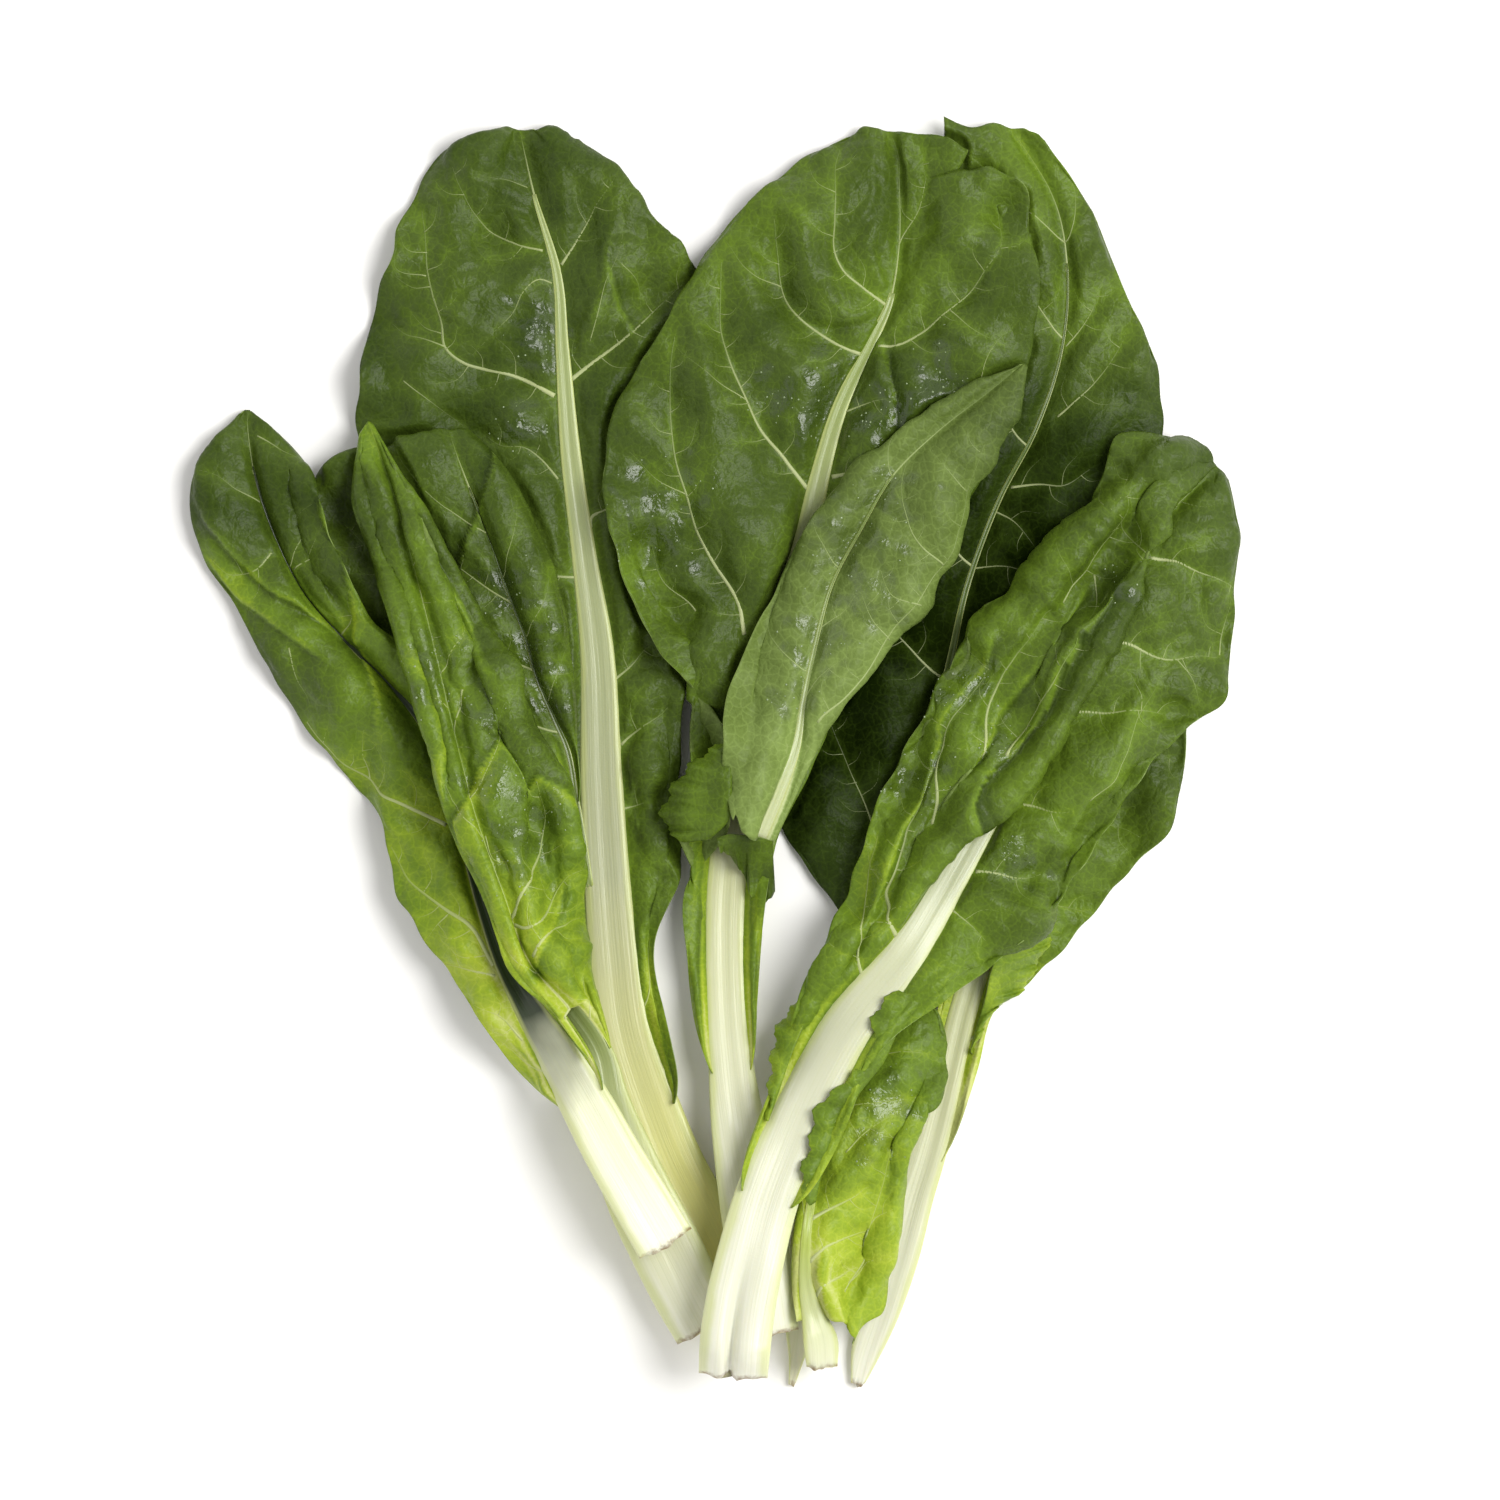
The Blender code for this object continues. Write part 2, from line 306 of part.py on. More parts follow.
RIGHT_FRONT = Leaf(
    "right_front", (25, 10, 7), (1.8, 30.0, 0.0),
    [(6.5, -224, 0, 12.2), (7.5, -210, 0, 12.6), (9.5, -196, 0, 12.4), (13, -180, 0, 12)],
    [
        ((18.5, -160, 0, 11.4), [(0.3, 0), (0.6, 0), (0.9, 0), (1.2, 0), (1.5, 0)],
         [(0.8, 0), (1.6, 0.5), (2.4, 0.5), (3.2, 0)]),
        ((25, -143, 0, 10.8), [(0.3, 0), (0.6, 0), (0.9, 0.3), (1.2, 0.3), (1.6, 0)],
         [(1.2, 0.5), (2.4, 1), (3.6, 1), (4.8, 0.5)]),
        ((31.5, -128, 0, 10.3), [(0.5, 0.5), (0.9, 0.5), (1.3, 1), (1.8, 0.5), (2.4, 0)],
         [(1.2, 0.5), (2.6, 1), (4, 1.5), (5.5, 1)]),
        ((46.5, -100, 0, 9.5), [(1.5, 1.5), (3, 1), (5, 3), (7, 1), (9.5, 2)],
         [(0.8, 0.5), (1.6, 1), (2.6, 1), (4, 0.5)]),
        ((70, -70, 1, 7.8),
         [(62, -62.5, 11), (59, -59, 9), (56, -56, 13), (52.5, -52, 8), (48.5, -48, 6)],
         [(77, -76, 8), (82, -79, 8), (87, -81, 7), (92, -82.5, 8)]),
        ((88, -40, 2, 6),
         [(84, -32.5, 16), (77.5, -27, 10), (72, -22, 15), (66, -18, 8), (59, -16, 7)],
         [(97, -50, 9), (108, -62, 11), (114, -62, 7), (120, -58.5, 8)]),
        ((105, -10, 3, 4.8),
         [(109, -12.5, 20), (95, -4.5, 10), (84, 3, 19), (77, 8, 9), (70, 4, 8)],
         [(113, -22, 10), (122, -37, 13), (130, -36, 8), (139, -30, 8)]),
        ((119.5, 13, 5, 4.1),
         [(124.5, 10, 22), (111, 18, 11), (98, 27, 21), (90, 32, 10), (82, 25, 9)],
         [(126, 1, 11), (135, -12, 14), (145, -11, 8), (157, -5, 8)]),
        ((133, 37, 7, 3.4),
         [(138, 34.5, 23), (124, 41, 12), (111, 47, 22), (101, 49, 11), (92, 43, 9)],
         [(138, 24, 12), (147, 11, 15), (158, 9, 9), (170, 8.5, 7)]),
        ((145, 60, 9, 2.7),
         [(149.5, 57.5, 24), (136.5, 61.5, 13), (125, 66, 23), (117, 66, 12), (109, 55, 9)],
         [(150, 46, 13), (158, 30, 14), (171, 24, 9), (182.5, 18, 6)]),
        ((155, 79, 10, 2),
         [(158.5, 77.5, 22), (148.5, 80.5, 14), (141, 84, 21), (137, 84, 14), (132, 77, 10)],
         [(161, 66, 13), (167, 52, 12), (177, 45, 10), (186.5, 38, 5)]),
        ((166, 93, 9, 1.3),
         [(165, 91, 17), (157, 95, 13), (150, 98, 19), (144, 100, 13), (139, 99, 10)],
         [(170, 82, 11), (175, 73, 10), (182, 67, 9), (188, 62, 4)]),
        ((175, 101, 6, 0),
         [(173.5, 98, 11), (169, 104, 10), (163, 107, 15), (155, 110, 10), (147, 115, 7)],
         [(178, 95, 8), (181, 91, 8), (185, 87, 6), (188.5, 83, 3)]),
        ((181, 103, 3, 0),
         [(180.3, 103.8, 5), (179, 105, 6), (177, 107, 7), (174.5, 109.5, 6), (171, 113, 5)],
         [(181.8, 102.2, 4), (182.8, 101, 4), (184, 99.5, 3.5), (185.3, 98, 3)]),
    ],
)

CENTRE_TOP = Leaf(
    "centre_top", (17, 5, 7), (1.2, 40.0, 0.3),
    [],
    [
        ((16, -32, 2, 2.4), [(13.5, -29.5, 8), (9.5, -26, 7), (5.5, -22, 6)],
         [(0.5, 0), (1.0, 0), (1.6, -0.5), (1.0, -2.5)]),
        ((22.5, -17, 3, 2.2), [(17, -14, 9), (11, -12, 7), (4, -13, 6)],
         [(0.6, 0), (1.3, 0), (2.2, -0.5), (1.4, -3)]),
        ((29, 1, 4, 1.7), [(20, 1, 9), (11, -3, 6), (3, 1, 9)],
         [(1.2, 0), (2.6, 0), (4, -1), (3, -4)]),
        ((32, 19, 5, 1.3), [(24, 17, 9), (12, 15, 4), (4, 18, 11)],
         [(36, 17, 11), (39.5, 15, 11), (43, 13, 8), (38, 14, 4)]),
        ((36, 38, 6, 0.9), [(27, 38, 10), (17, 38, 5), (11, 37, 10)],
         [(44, 37, 12), (52, 36, 12), (58.5, 34.5, 8), (50, 33, 3)]),
        ((42, 60, 7, 0.6), [(33, 62, 11), (26, 62, 7), (22.5, 60, 8)],
         [(53, 57, 13), (63, 54, 12), (71.5, 50, 8), (60, 49, 3)]),
        ((52.5, 80, 7, 0.5), [(43, 84, 11), (37, 83.5, 8), (33, 80.5, 6)],
         [(64, 75, 14), (75, 72, 12), (83.5, 69, 8), (70, 66, 3)]),
        ((63, 98, 7, 0.4), [(56, 101, 10), (50, 98, 8), (45, 91, 6)],
         [(74, 91, 13), (84, 88, 12), (91, 87, 8), (80, 84, 3)]),
        ((80, 115, 6, 0), [(74, 117, 8), (70, 115.5, 7), (66, 110, 6)],
         [(86, 109, 12), (93, 105, 11), (99, 103.5, 8), (91, 103, 3)]),
        ((98, 129, 5, 0), [(93, 130, 7), (89, 128.5, 6), (86, 123, 5)],
         [(100, 126, 9), (104, 124, 9), (107.5, 122, 7), (103, 123, 3)]),
        ((111, 139.5, 3, 0), [(109.5, 139.2, 5), (108.5, 138.3, 5), (107.5, 137, 5)],
         [(111.3, 139.3, 5), (111.8, 139, 5), (112.3, 138.4, 5), (111.5, 137.6, 4)]),
    ],
    underside_up=True,
)


def cubic_through(knots, values, at):
    """Smooth curve through values at rising knots, read at other places."""
    steps = np.diff(knots)
    slopes = np.diff(values, axis=0) / steps[:, None]
    tangents = np.empty_like(values)
    tangents[0] = slopes[0]
    tangents[-1] = slopes[-1]
    before = steps[:-1, None]
    after = steps[1:, None]
    tangents[1:-1] = (slopes[1:] * before + slopes[:-1] * after) / (before + after)
    piece = np.clip(np.searchsorted(knots, at, side="right") - 1, 0, len(steps) - 1)
    width = steps[piece][:, None]
    s = ((at - knots[piece]) / steps[piece])[:, None]
    start = values[piece] * (1 + 2 * s) * (1 - s) ** 2 + tangents[piece] * width * s * (1 - s) ** 2
    end = values[piece + 1] * (3 - 2 * s) * s ** 2 - tangents[piece + 1] * width * (1 - s) * s ** 2
    return start + end


def stalk_height(half_width):
    return THIN_STALK + STALK_FATNESS * half_width


def side_normals(points):
    """Unit vectors to the left of a path, seen from above."""
    along = np.gradient(points[:, :2], axis=0)
    along /= np.linalg.norm(along, axis=1)[:, None]
    return np.column_stack((-along[:, 1], along[:, 0]))


def edge_of_rib(rib, side, extra=0.0):
    """Where the blade meets the rib: side is 1 on the left and -1 on the right."""
    half_width = np.maximum(rib[:, 3], 0.0)
    wide = np.where(half_width > 0.05, half_width + RIB_GAP, 0.0) + extra
    xy = rib[:, :2] + side * side_normals(rib) * wide[:, None]
    z = rib[:, 2] + UNDERSIDE * stalk_height(half_width)
    return np.column_stack((xy, z))


def place_points(leaf, rows_of_points, side):
    """The table's points of one side as an array: station, rail, coordinate."""
    count = len(rows_of_points[0])
    rails = np.empty((len(rows_of_points), count, 3))
    for column in range(count):
        outside = np.array([row[column][0] if len(row[column]) == 2 else 0.0
                            for row in rows_of_points])
        beside = edge_of_rib(leaf.rib, side, outside)
        for station, row in enumerate(rows_of_points):
            point = row[column]
            if len(point) == 3:
                rails[station, column] = point
            else:
                rails[station, column] = beside[station] + (0.0, 0.0, point[1])
    return rails


def mean_knots(curves):
    """Running distance along axis 0, averaged over the curves on axis 1."""
    lengths = np.linalg.norm(np.diff(curves, axis=0), axis=2).mean(axis=1)
    return np.concatenate(([0.0], np.cumsum(np.maximum(lengths, 0.01))))


def half_blade(leaf, rib_rows, rails, knots, rows_at, columns, side, merged):
    """Grid of points of one half of the blade, from the rib to the margin."""
    along = [cubic_through(knots, rails[:, i], rows_at) for i in range(rails.shape[1])]
    inner = edge_of_rib(rib_rows, side)
    inner[merged, :2] = rib_rows[merged, :2]
    lines = np.stack([inner] + along, axis=1)
    across = mean_knots(lines.transpose(1, 0, 2))
    at = np.linspace(0.0, across[-1], columns + 1)
    grid = np.stack([cubic_through(across, line, at) for line in lines])
    share = at / across[-1]
    turn = 2.0 * np.pi * rows_at / leaf.wave_length + leaf.wave_start + side
    grid[:, :, 2] += leaf.wave_height * np.outer(np.sin(turn), share ** 2)
    grid[:, :, 2] = np.maximum(grid[:, :, 2], BLADE_THICKNESS / 2)
    return grid


def shape_leaf(leaf):
    """Points of the blade and the stalk before the leaf is laid on the others."""
    left = place_points(leaf, leaf.left, 1)
    right = place_points(leaf, leaf.right, -1)
    centre = edge_of_rib(leaf.rib, 1)[:, None]
    knots = mean_knots(np.concatenate((left, centre, right), axis=1))
    rows_at = np.linspace(0.0, knots[-1], leaf.rows + 1)

    full_rib = leaf.rib
    full_knots = knots
    if len(leaf.petiole):
        full_rib = np.vstack((leaf.petiole, leaf.rib))
        petiole_steps = np.linalg.norm(np.diff(full_rib[:len(leaf.petiole) + 1, :2], axis=0), axis=1)
        full_knots = np.concatenate((-np.cumsum(petiole_steps[::-1])[::-1], knots))

    tip_knot = knots[np.nonzero(leaf.rib[:, 3])[0].max()]
    merged = rows_at > tip_knot
    rib_rows = cubic_through(full_knots, full_rib, rows_at)
    left_grid = half_blade(leaf, rib_rows, left, knots, rows_at, leaf.left_columns, 1, merged)
    right_grid = half_blade(leaf, rib_rows, right, knots, rows_at, leaf.right_columns, -1, merged)

    below = int(np.ceil(-full_knots[0] / STALK_PITCH))
    petiole_at = np.linspace(full_knots[0], 0.0, below, endpoint=False)
    stalk_at = np.concatenate((petiole_at, rows_at[~merged]))
    stalk_rib = cubic_through(full_knots, full_rib, stalk_at)
    return left_grid, right_grid, merged, stalk_sections(stalk_rib)


def stalk_sections(rib):
    """Rings of points round the stalk, one for each point of its centre line."""
    normals = side_normals(rib)
    rings = []
    for (x, y, lift, half_width), normal in zip(rib, normals):
        half_width = max(half_width, 0.35)
        height = stalk_height(half_width)
        level = max(lift, 0.0) + UNDERSIDE * height
        rings.append([(x - normal[0] * across * half_width, y - normal[1] * across * half_width,
                       level + up * height) for across, up in STALK_SECTION])
    return np.array(rings)


def blade_mesh(left_grid, right_grid, merged):
    """Vertices and triangles of the open blade: the halves share a line past the rib."""
    rows = len(merged)
    left_count = left_grid.shape[1]
    right_count = right_grid.shape[1]
    points = np.concatenate((left_grid[:, ::-1], right_grid), axis=1)
    middle = (points[:, left_count - 1] + points[:, left_count]) / 2
    points[merged, left_count - 1] = middle[merged]
    points[merged, left_count] = middle[merged]
    width = left_count + right_count
    triangles = []
    for row in range(rows - 1):
        for column in range(width - 1):
            if column == left_count - 1:
                continue
            corners = [row * width + column, row * width + column + 1,
                       (row + 1) * width + column + 1, (row + 1) * width + column]
            a, b, c, d = [points.reshape(-1, 3)[corner] for corner in corners]
            if np.linalg.norm(a - c) <= np.linalg.norm(b - d):
                picks = ((0, 1, 2), (0, 2, 3))
            else:
                picks = ((0, 1, 3), (1, 2, 3))
            triangles += [tuple(corners[i] for i in pick) for pick in picks]
    joined = np.arange(rows * width)
    for row in np.nonzero(merged)[0]:
        joined[row * width + left_count] = row * width + left_count - 1
    triangles = joined[np.array(triangles)]
    used = np.unique(triangles)
    renumber = np.zeros(rows * width, int)
    renumber[used] = np.arange(len(used))
    return points.reshape(-1, 3)[used], renumber[triangles]


def stalk_mesh(rings):
    """Vertices and triangles of the closed stalk, with a flat cap at each end."""
    count = rings.shape[1]
    points = rings.reshape(-1, 3)
    triangles = []
    for ring in range(len(rings) - 1):
        for i in range(count):
            j = (i + 1) % count
            a, b = ring * count + i, ring * count + j
            c, d = a + count, b + count
            triangles += [(a, c, b), (b, c, d)]
    last = (len(rings) - 1) * count
    for i in range(1, count - 1):
        triangles.append((0, i, i + 1))
        triangles.append((last, last + i + 1, last + i))
    return points, np.array(triangles)


class Pile:
    """Height map of what already lies on the surface, in cells of CELL millimetres."""

    def __init__(self, low, high):
        self.low = np.array(low, float)
        self.shape = tuple(np.ceil((np.array(high) - self.low) / CELL).astype(int) + 1)
        self.height = np.zeros(self.shape)

    def sample(self, points, triangles):
        """Cells and heights of many points spread over the triangles."""
        n = SAMPLES_PER_EDGE
        weights = np.array([(i, j, n - i - j) for i in range(n + 1) for j in range(n + 1 - i)]) / n
        spots = np.einsum("wk,tkc->twc", weights, points[triangles]).reshape(-1, 3)
        cells = np.round((spots[:, :2] - self.low) / CELL).astype(int)
        return cells[:, 0], cells[:, 1], spots[:, 2]

    def lift_for(self, meshes):
        """How far each cell must rise so that the meshes clear what lies below."""
        lowest = np.full(self.shape, np.inf)
        for points, triangles in meshes:
            i, j, z = self.sample(points, triangles)
            np.minimum.at(lowest, (i, j), z)
        needed = np.where((self.height > 0) & np.isfinite(lowest),
                          self.height + LAYER_GAP + BLADE_THICKNESS / 2 - lowest, 0.0)
        return smooth(spread(np.maximum(needed, 0.0)))

    def read(self, lift, points):
        """The lift at points, between the cells' centres."""
        place = (points[:, :2] - self.low) / CELL
        cell = np.clip(np.floor(place).astype(int), 0, np.array(self.shape) - 2)
        u, v = (place - cell).T
        i, j = cell.T
        near = lift[i, j] * (1 - u) + lift[i + 1, j] * u
        far = lift[i, j + 1] * (1 - u) + lift[i + 1, j + 1] * u
        return near * (1 - v) + far * v

    def add(self, points, triangles):
        i, j, z = self.sample(points, triangles)
        np.maximum.at(self.height, (i, j), z + BLADE_THICKNESS / 2)


def shifted(field, across, along):
    """The field moved by whole cells, with its border repeated."""
    padded = np.pad(field, DRAPE_CELLS, mode="edge")
    i = DRAPE_CELLS + across
    j = DRAPE_CELLS + along
    return padded[i:i + field.shape[0], j:j + field.shape[1]]


def spread(field):
    """Every cell takes the highest value within DRAPE_CELLS."""
    widest = field.copy()
    for across in range(-DRAPE_CELLS, DRAPE_CELLS + 1):
        for along in range(-DRAPE_CELLS, DRAPE_CELLS + 1):
            if across ** 2 + along ** 2 <= DRAPE_CELLS ** 2 + 1:
                widest = np.maximum(widest, shifted(field, across, along))
    return widest


def smooth(field):
    """Two passes of a box blur, together no wider than the spread before it."""
    reach = DRAPE_CELLS // 2 - 1
    for _ in range(2):
        total = np.zeros_like(field)
        for across in range(-reach, reach + 1):
            for along in range(-reach, reach + 1):
                total += shifted(field, across, along)
        field = total / (2 * reach + 1) ** 2
    return field


def rib_hold(leaf, pile, lift):
    """Spots along the whole rib, and how far its stiffness holds each over the dips."""
    line = leaf.rib
    if len(leaf.petiole):
        line = np.vstack((leaf.petiole, leaf.rib))
    steps = np.linalg.norm(np.diff(line[:, :2], axis=0), axis=1)
    knots = np.concatenate(([0.0], np.cumsum(steps)))
    at = np.arange(0.0, knots[-1], RIB_STEP)
    spots = cubic_through(knots, line, at)
    level = pile.read(lift, spots)
    held = level - (at[:, None] - at) ** 2 / (2.0 * BEND_RADIUS)
    return spots[:, :2], held.max(axis=1) - level


def held_height(spots, hold, points):
    """Extra height of points: that of the rib beside them, fading with distance."""
    distance = np.linalg.norm(points[:, None, :2] - spots, axis=2)
    nearest = distance.min(axis=1)
    weight = np.exp((nearest[:, None] ** 2 - distance ** 2) / (2.0 * RIB_BLUR ** 2))
    share = np.clip(1.0 - nearest / DROOP_WIDTH, 0.0, 1.0)
    return (weight @ hold) / weight.sum(axis=1) * share ** 2 * (3.0 - 2.0 * share)


def make_material(name, colour, roughness):
    material = bpy.data.materials.new(name)
    material.use_nodes = True
    shader = material.node_tree.nodes["Principled BSDF"]
    shader.inputs["Base Color"].default_value = colour
    shader.inputs["Roughness"].default_value = roughness
    shader.inputs["Metallic"].default_value = 0.0
    return material


def add_object(name, points, triangles, material, collection, thickness=0.0):
    """A mesh object in metres. An open sheet is made solid with its thickness."""
    mesh = bpy.data.meshes.new(name)
    mesh.from_pydata((points * MM).tolist(), [], triangles.tolist())
    mesh.validate()
    mesh.materials.append(material)
    obj = bpy.data.objects.new(name, mesh)
    collection.objects.link(obj)
    if thickness:
        sheet = obj.modifiers.new("Thickness", "SOLIDIFY")
        sheet.thickness = thickness * MM
        sheet.offset = 0.0
    else:
        edit = bmesh.new()
        edit.from_mesh(mesh)
        bmesh.ops.recalc_face_normals(edit, faces=edit.faces)
        edit.to_mesh(mesh)
        edit.free()
    return obj


def lay_order():
    """The leaves from the bottom of the bunch to its top: leaf, lays stalk, lays blade."""
    return [
        (BACK_RIGHT, True, True),
        (BACK_LEFT, True, True),
        (RIGHT_UNDER, True, True),
        (LEFT_BACK, True, True),
        (LEFT_INNER, True, False),
        (LEFT_OUTER, True, True),
        (LEFT_INNER, False, True),
        (CENTRE, True, True),
        (SMALL_RIGHT, True, True),
        (RIGHT_FRONT, True, True),
        (CENTRE_TOP, True, True),
    ]


def lay_leaves():
    """Every solid's points and triangles where it rests in the bunch."""
    pile = Pile((-215, -250), (215, 250))
    solids = {}
    for leaf, with_stalk, with_blade in lay_order():
        left_grid, right_grid, merged, rings = shape_leaf(leaf)
        pieces = {}
        if with_stalk:
            pieces[leaf.name + "_stalk"] = stalk_mesh(rings)
        if with_blade:
            pieces[leaf.name + "_blade"] = blade_mesh(left_grid, right_grid, merged)
        lift = pile.lift_for(pieces.values())
        spots, hold = rib_hold(leaf, pile, lift)
        for points, _ in pieces.values():
            points[:, 2] += pile.read(lift, points) + held_height(spots, hold, points)
        for name, (points, triangles) in pieces.items():
            pile.add(points, triangles)
            solids[name] = (leaf, points, triangles)
    return solids


def build():
    for obj in list(bpy.data.objects):
        bpy.data.objects.remove(obj, do_unlink=True)
    collection = bpy.data.collections.new("swiss_chard")
    bpy.context.scene.collection.children.link(collection)

    solids = lay_leaves()
    everything = np.concatenate([points for _, points, _ in solids.values()])
    middle = (everything.min(axis=0) + everything.max(axis=0)) / 2
    middle[2] = 0.0
    for name, (leaf, points, triangles) in solids.items():
        points = points - middle
        if name.endswith("_stalk"):
            material = make_material(name, STALK_CREAM, 0.45)
            add_object(name, points, triangles, material, collection)
        else:
            colour = UNDERSIDE_GREEN if leaf.underside_up else BLADE_GREEN
            material = make_material(name, colour, 0.4)
            add_object(name, points, triangles, material, collection, BLADE_THICKNESS)


build()
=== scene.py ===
"""Swiss chard, as the photograph shows it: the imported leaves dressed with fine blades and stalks.

The leaf tables and the rules that shape a leaf and lay it on the bunch are the part's own, so
that each fine leaf lies where the solid does that it replaces. The tables are in millimetres,
+Y up the picture and +Z up from the table. Objects are made in metres.
"""

import bpy
import numpy as np
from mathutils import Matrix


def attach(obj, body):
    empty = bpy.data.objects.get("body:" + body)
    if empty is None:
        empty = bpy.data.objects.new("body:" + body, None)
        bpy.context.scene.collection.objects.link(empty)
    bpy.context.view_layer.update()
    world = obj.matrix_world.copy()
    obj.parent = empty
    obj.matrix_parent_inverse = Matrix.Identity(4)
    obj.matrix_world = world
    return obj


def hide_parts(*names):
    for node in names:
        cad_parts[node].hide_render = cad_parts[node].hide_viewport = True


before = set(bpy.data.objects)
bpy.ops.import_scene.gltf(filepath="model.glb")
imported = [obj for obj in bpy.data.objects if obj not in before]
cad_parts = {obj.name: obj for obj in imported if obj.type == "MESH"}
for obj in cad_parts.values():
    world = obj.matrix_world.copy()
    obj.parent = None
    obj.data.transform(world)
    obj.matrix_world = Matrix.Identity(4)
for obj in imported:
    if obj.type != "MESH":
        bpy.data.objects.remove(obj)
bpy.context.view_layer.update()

MM = 0.001

# The part's driving dimensions
BLADE_THICKNESS = 0.8
RIB_GAP = 0.9
LAYER_GAP = 1.5
STALK_PITCH = 18.0
THIN_STALK = 2.0
STALK_FATNESS = 0.62
THINNEST_RIB = 0.35
UNDERSIDE = 0.88
CELL = 2.5
DRAPE_CELLS = 6
SAMPLES_PER_EDGE = 8
BEND_RADIUS = 420.0
DROOP_WIDTH = 90.0
RIB_STEP = 2.0
RIB_BLUR = 8.0
PILE_LOW = (-215, -250)
PILE_HIGH = (215, 250)

# Outline of a stalk's section, in half widths across and in heights up
STALK_SECTION = (
    (0.0, 0.07), (0.55, 0.12), (1.0, 0.02), (0.88, -0.45), (0.42, -UNDERSIDE),
    (-0.42, -UNDERSIDE), (-0.88, -0.45), (-1.0, 0.02), (-0.55, 0.12),
)

# The fine leaves: spacing of a blade's points, how much closer they are across it, spacing of
# a stalk's rings, points round a stalk, rows and columns of a flap, and points laid at once.
# Then the sheet's thickness inside and at its rim, how far in the rim reaches, and the height
# that a leaf with nothing on it may reach.
FINE_STEP = 1.15
ACROSS_DENSITY = 1.35
FINE_RING = 2.6
SECTION_POINTS = 44
FLAP_ROWS = 60
FLAP_COLUMNS = 16
POINTS_AT_ONCE = 20000
SHEET = 0.55
RIM_SHEET = 0.34
RIM_REACH = 3.0
OPEN_CEILING = 46.0

# Where a fine half starts under its rib: the share of the way to the rib's edge for a thin
# rib, how much more for a broad one, and how deep under the edge
TUCK_THIN = 0.2
TUCK_BROAD = 0.52
TUCK_DEPTH = 0.35

# Random draws: the factor that keeps leaves apart, the first number of each kind of detail,
# the range of an angle, the waves of a noise with the range of their lengths and their gain,
# and the table of cell seeds with the range of a seed's place in its cell
LEAF_FACTOR = 31
KINDS = {
    "warp": 1, "puckers": 3, "broad swells": 5, "ruffle": 6, "swing": 7, "slow tone": 9,
    "fine tone": 10, "wet": 11, "middle swells": 12, "streaks": 13, "fine swells": 14,
    "left side veins": 15, "right side veins": 16, "stalk": 20, "flap": 30, "flap tone": 40,
    "drops": 50,
}
ANY_ANGLE = (0.0, 6.28)
WAVES = 9
WAVE_RANGE = (0.7, 1.5)
WAVE_GAIN = 1.3
CELL_SEEDS = 61
SEED_RANGE = (0.12, 0.88)

# Relief of the blades: the room kept to the next leaf, and the strip beside the rib without
# relief. Then the distance added beside the rib for the pillows and for all else, and beside a
# vein of width 1, so that a thin vein counts for less.
CLEARANCE = 0.75
FLAT_STRIP = 5.0
PILLOW_RIB_AWAY = 1.0
RIB_AWAY = 1.5
VEIN_AWAY = 0.6

# Pillows between the main veins, and the tissue that swells beside every vein: height in the
# leaf's own measure, and how far from the vein it is full
DOME_RISE = 1.35
DOME_REACH = 9.0
SWOLLEN_RISE = 0.7
SWOLLEN_REACH = 3.2

# Puckers: cell size, share of the leaf's cell height, width of a cell's border. Then how far
# they keep from a vein, and how far and over what length their cells are warped
PUCKERS = ((12.5, 1.1, 0.42), (5.6, 0.42, 0.3))
PUCKER_REACH = 3.0
PUCKER_WARP = 2.4
WARP_LENGTH = 26.0

# Slow swells: height, wave length, where beside the rib they begin and are full, kind of draw
SWELLS = (
    (0.08, 6.5, 3.0, 9.0, "fine swells"), (2.4, 38.0, 4.0, 30.0, "broad swells"),
    (0.5, 19.0, 4.0, 12.0, "middle swells"),
)

# Strength of a crease, a fold and a fold's painted highlight and shade at their ends, and the
# length over which each grows to the full
CREASE_ENDS = (0.35, 9.0)
FOLD_ENDS = (0.15, 10.0)
FOLD_PAINTED_LIGHT_ENDS = (0.0, 8.0)

# Folds: half the width of the step without rise, how much more for each millimetre, how far
# the dip below the step reaches, and its share of the rise
STEP_LEAST = 0.2
STEP_SLOPE = 0.4
DIP_REACH = 4.0
DIP_SHARE = 0.5

# Ruffles of the margin: height, pace, start and how far in they reach, for long and short
# waves. Then their length, how far and over what length they shift, and the width of a half
# blade at which they begin and are full
RUFFLES = ((2.0, 1.0, 0.0, 7.0), (0.7, 1.9, 1.0, 4.0))
RUFFLE_LENGTH = 19.0
RUFFLE_SHIFT = 7.0
SHIFT_LENGTH = 45.0
RUFFLED_WIDTHS = (4.0, 34.0)

# Where the relief goes straight up: this near the margin, and with less room than this
UPRIGHT_EDGE = 9.0
UPRIGHT_ROOM = 3.0

# Sideways swing of the margin: size, how far in it reaches, and its length
SWING_SIZE = 1.2
SWING_REACH = 5.0
SWING_LENGTH = 17.0

# The lower end of a blade: how much of its width is drawn in to the rib, and over what length.
# A torn end has two waves, the slow one swaying the quick one, and reaches this far up.
DRAWN_IN = 0.88
TAPER = 8.0
TEAR_PACE = 0.9
SWAY_PACE = 0.37
TEAR_SWAY = 2.5
TEAR_REACH = 3.0

# Unevenness of a leaf's tone: amount, wave length, kind of draw
MOTTLES = ((0.045, 55.0, "slow tone"), (0.018, 16.0, "fine tone"))

# Paler strips: how much, and how far they reach, beside the rib, the margin and a flap's edge
RIB_PALE = (0.05, 9.0)
MARGIN_PALE = (0.05, 2.0)
FLAP_PALE = (0.14, 1.0)

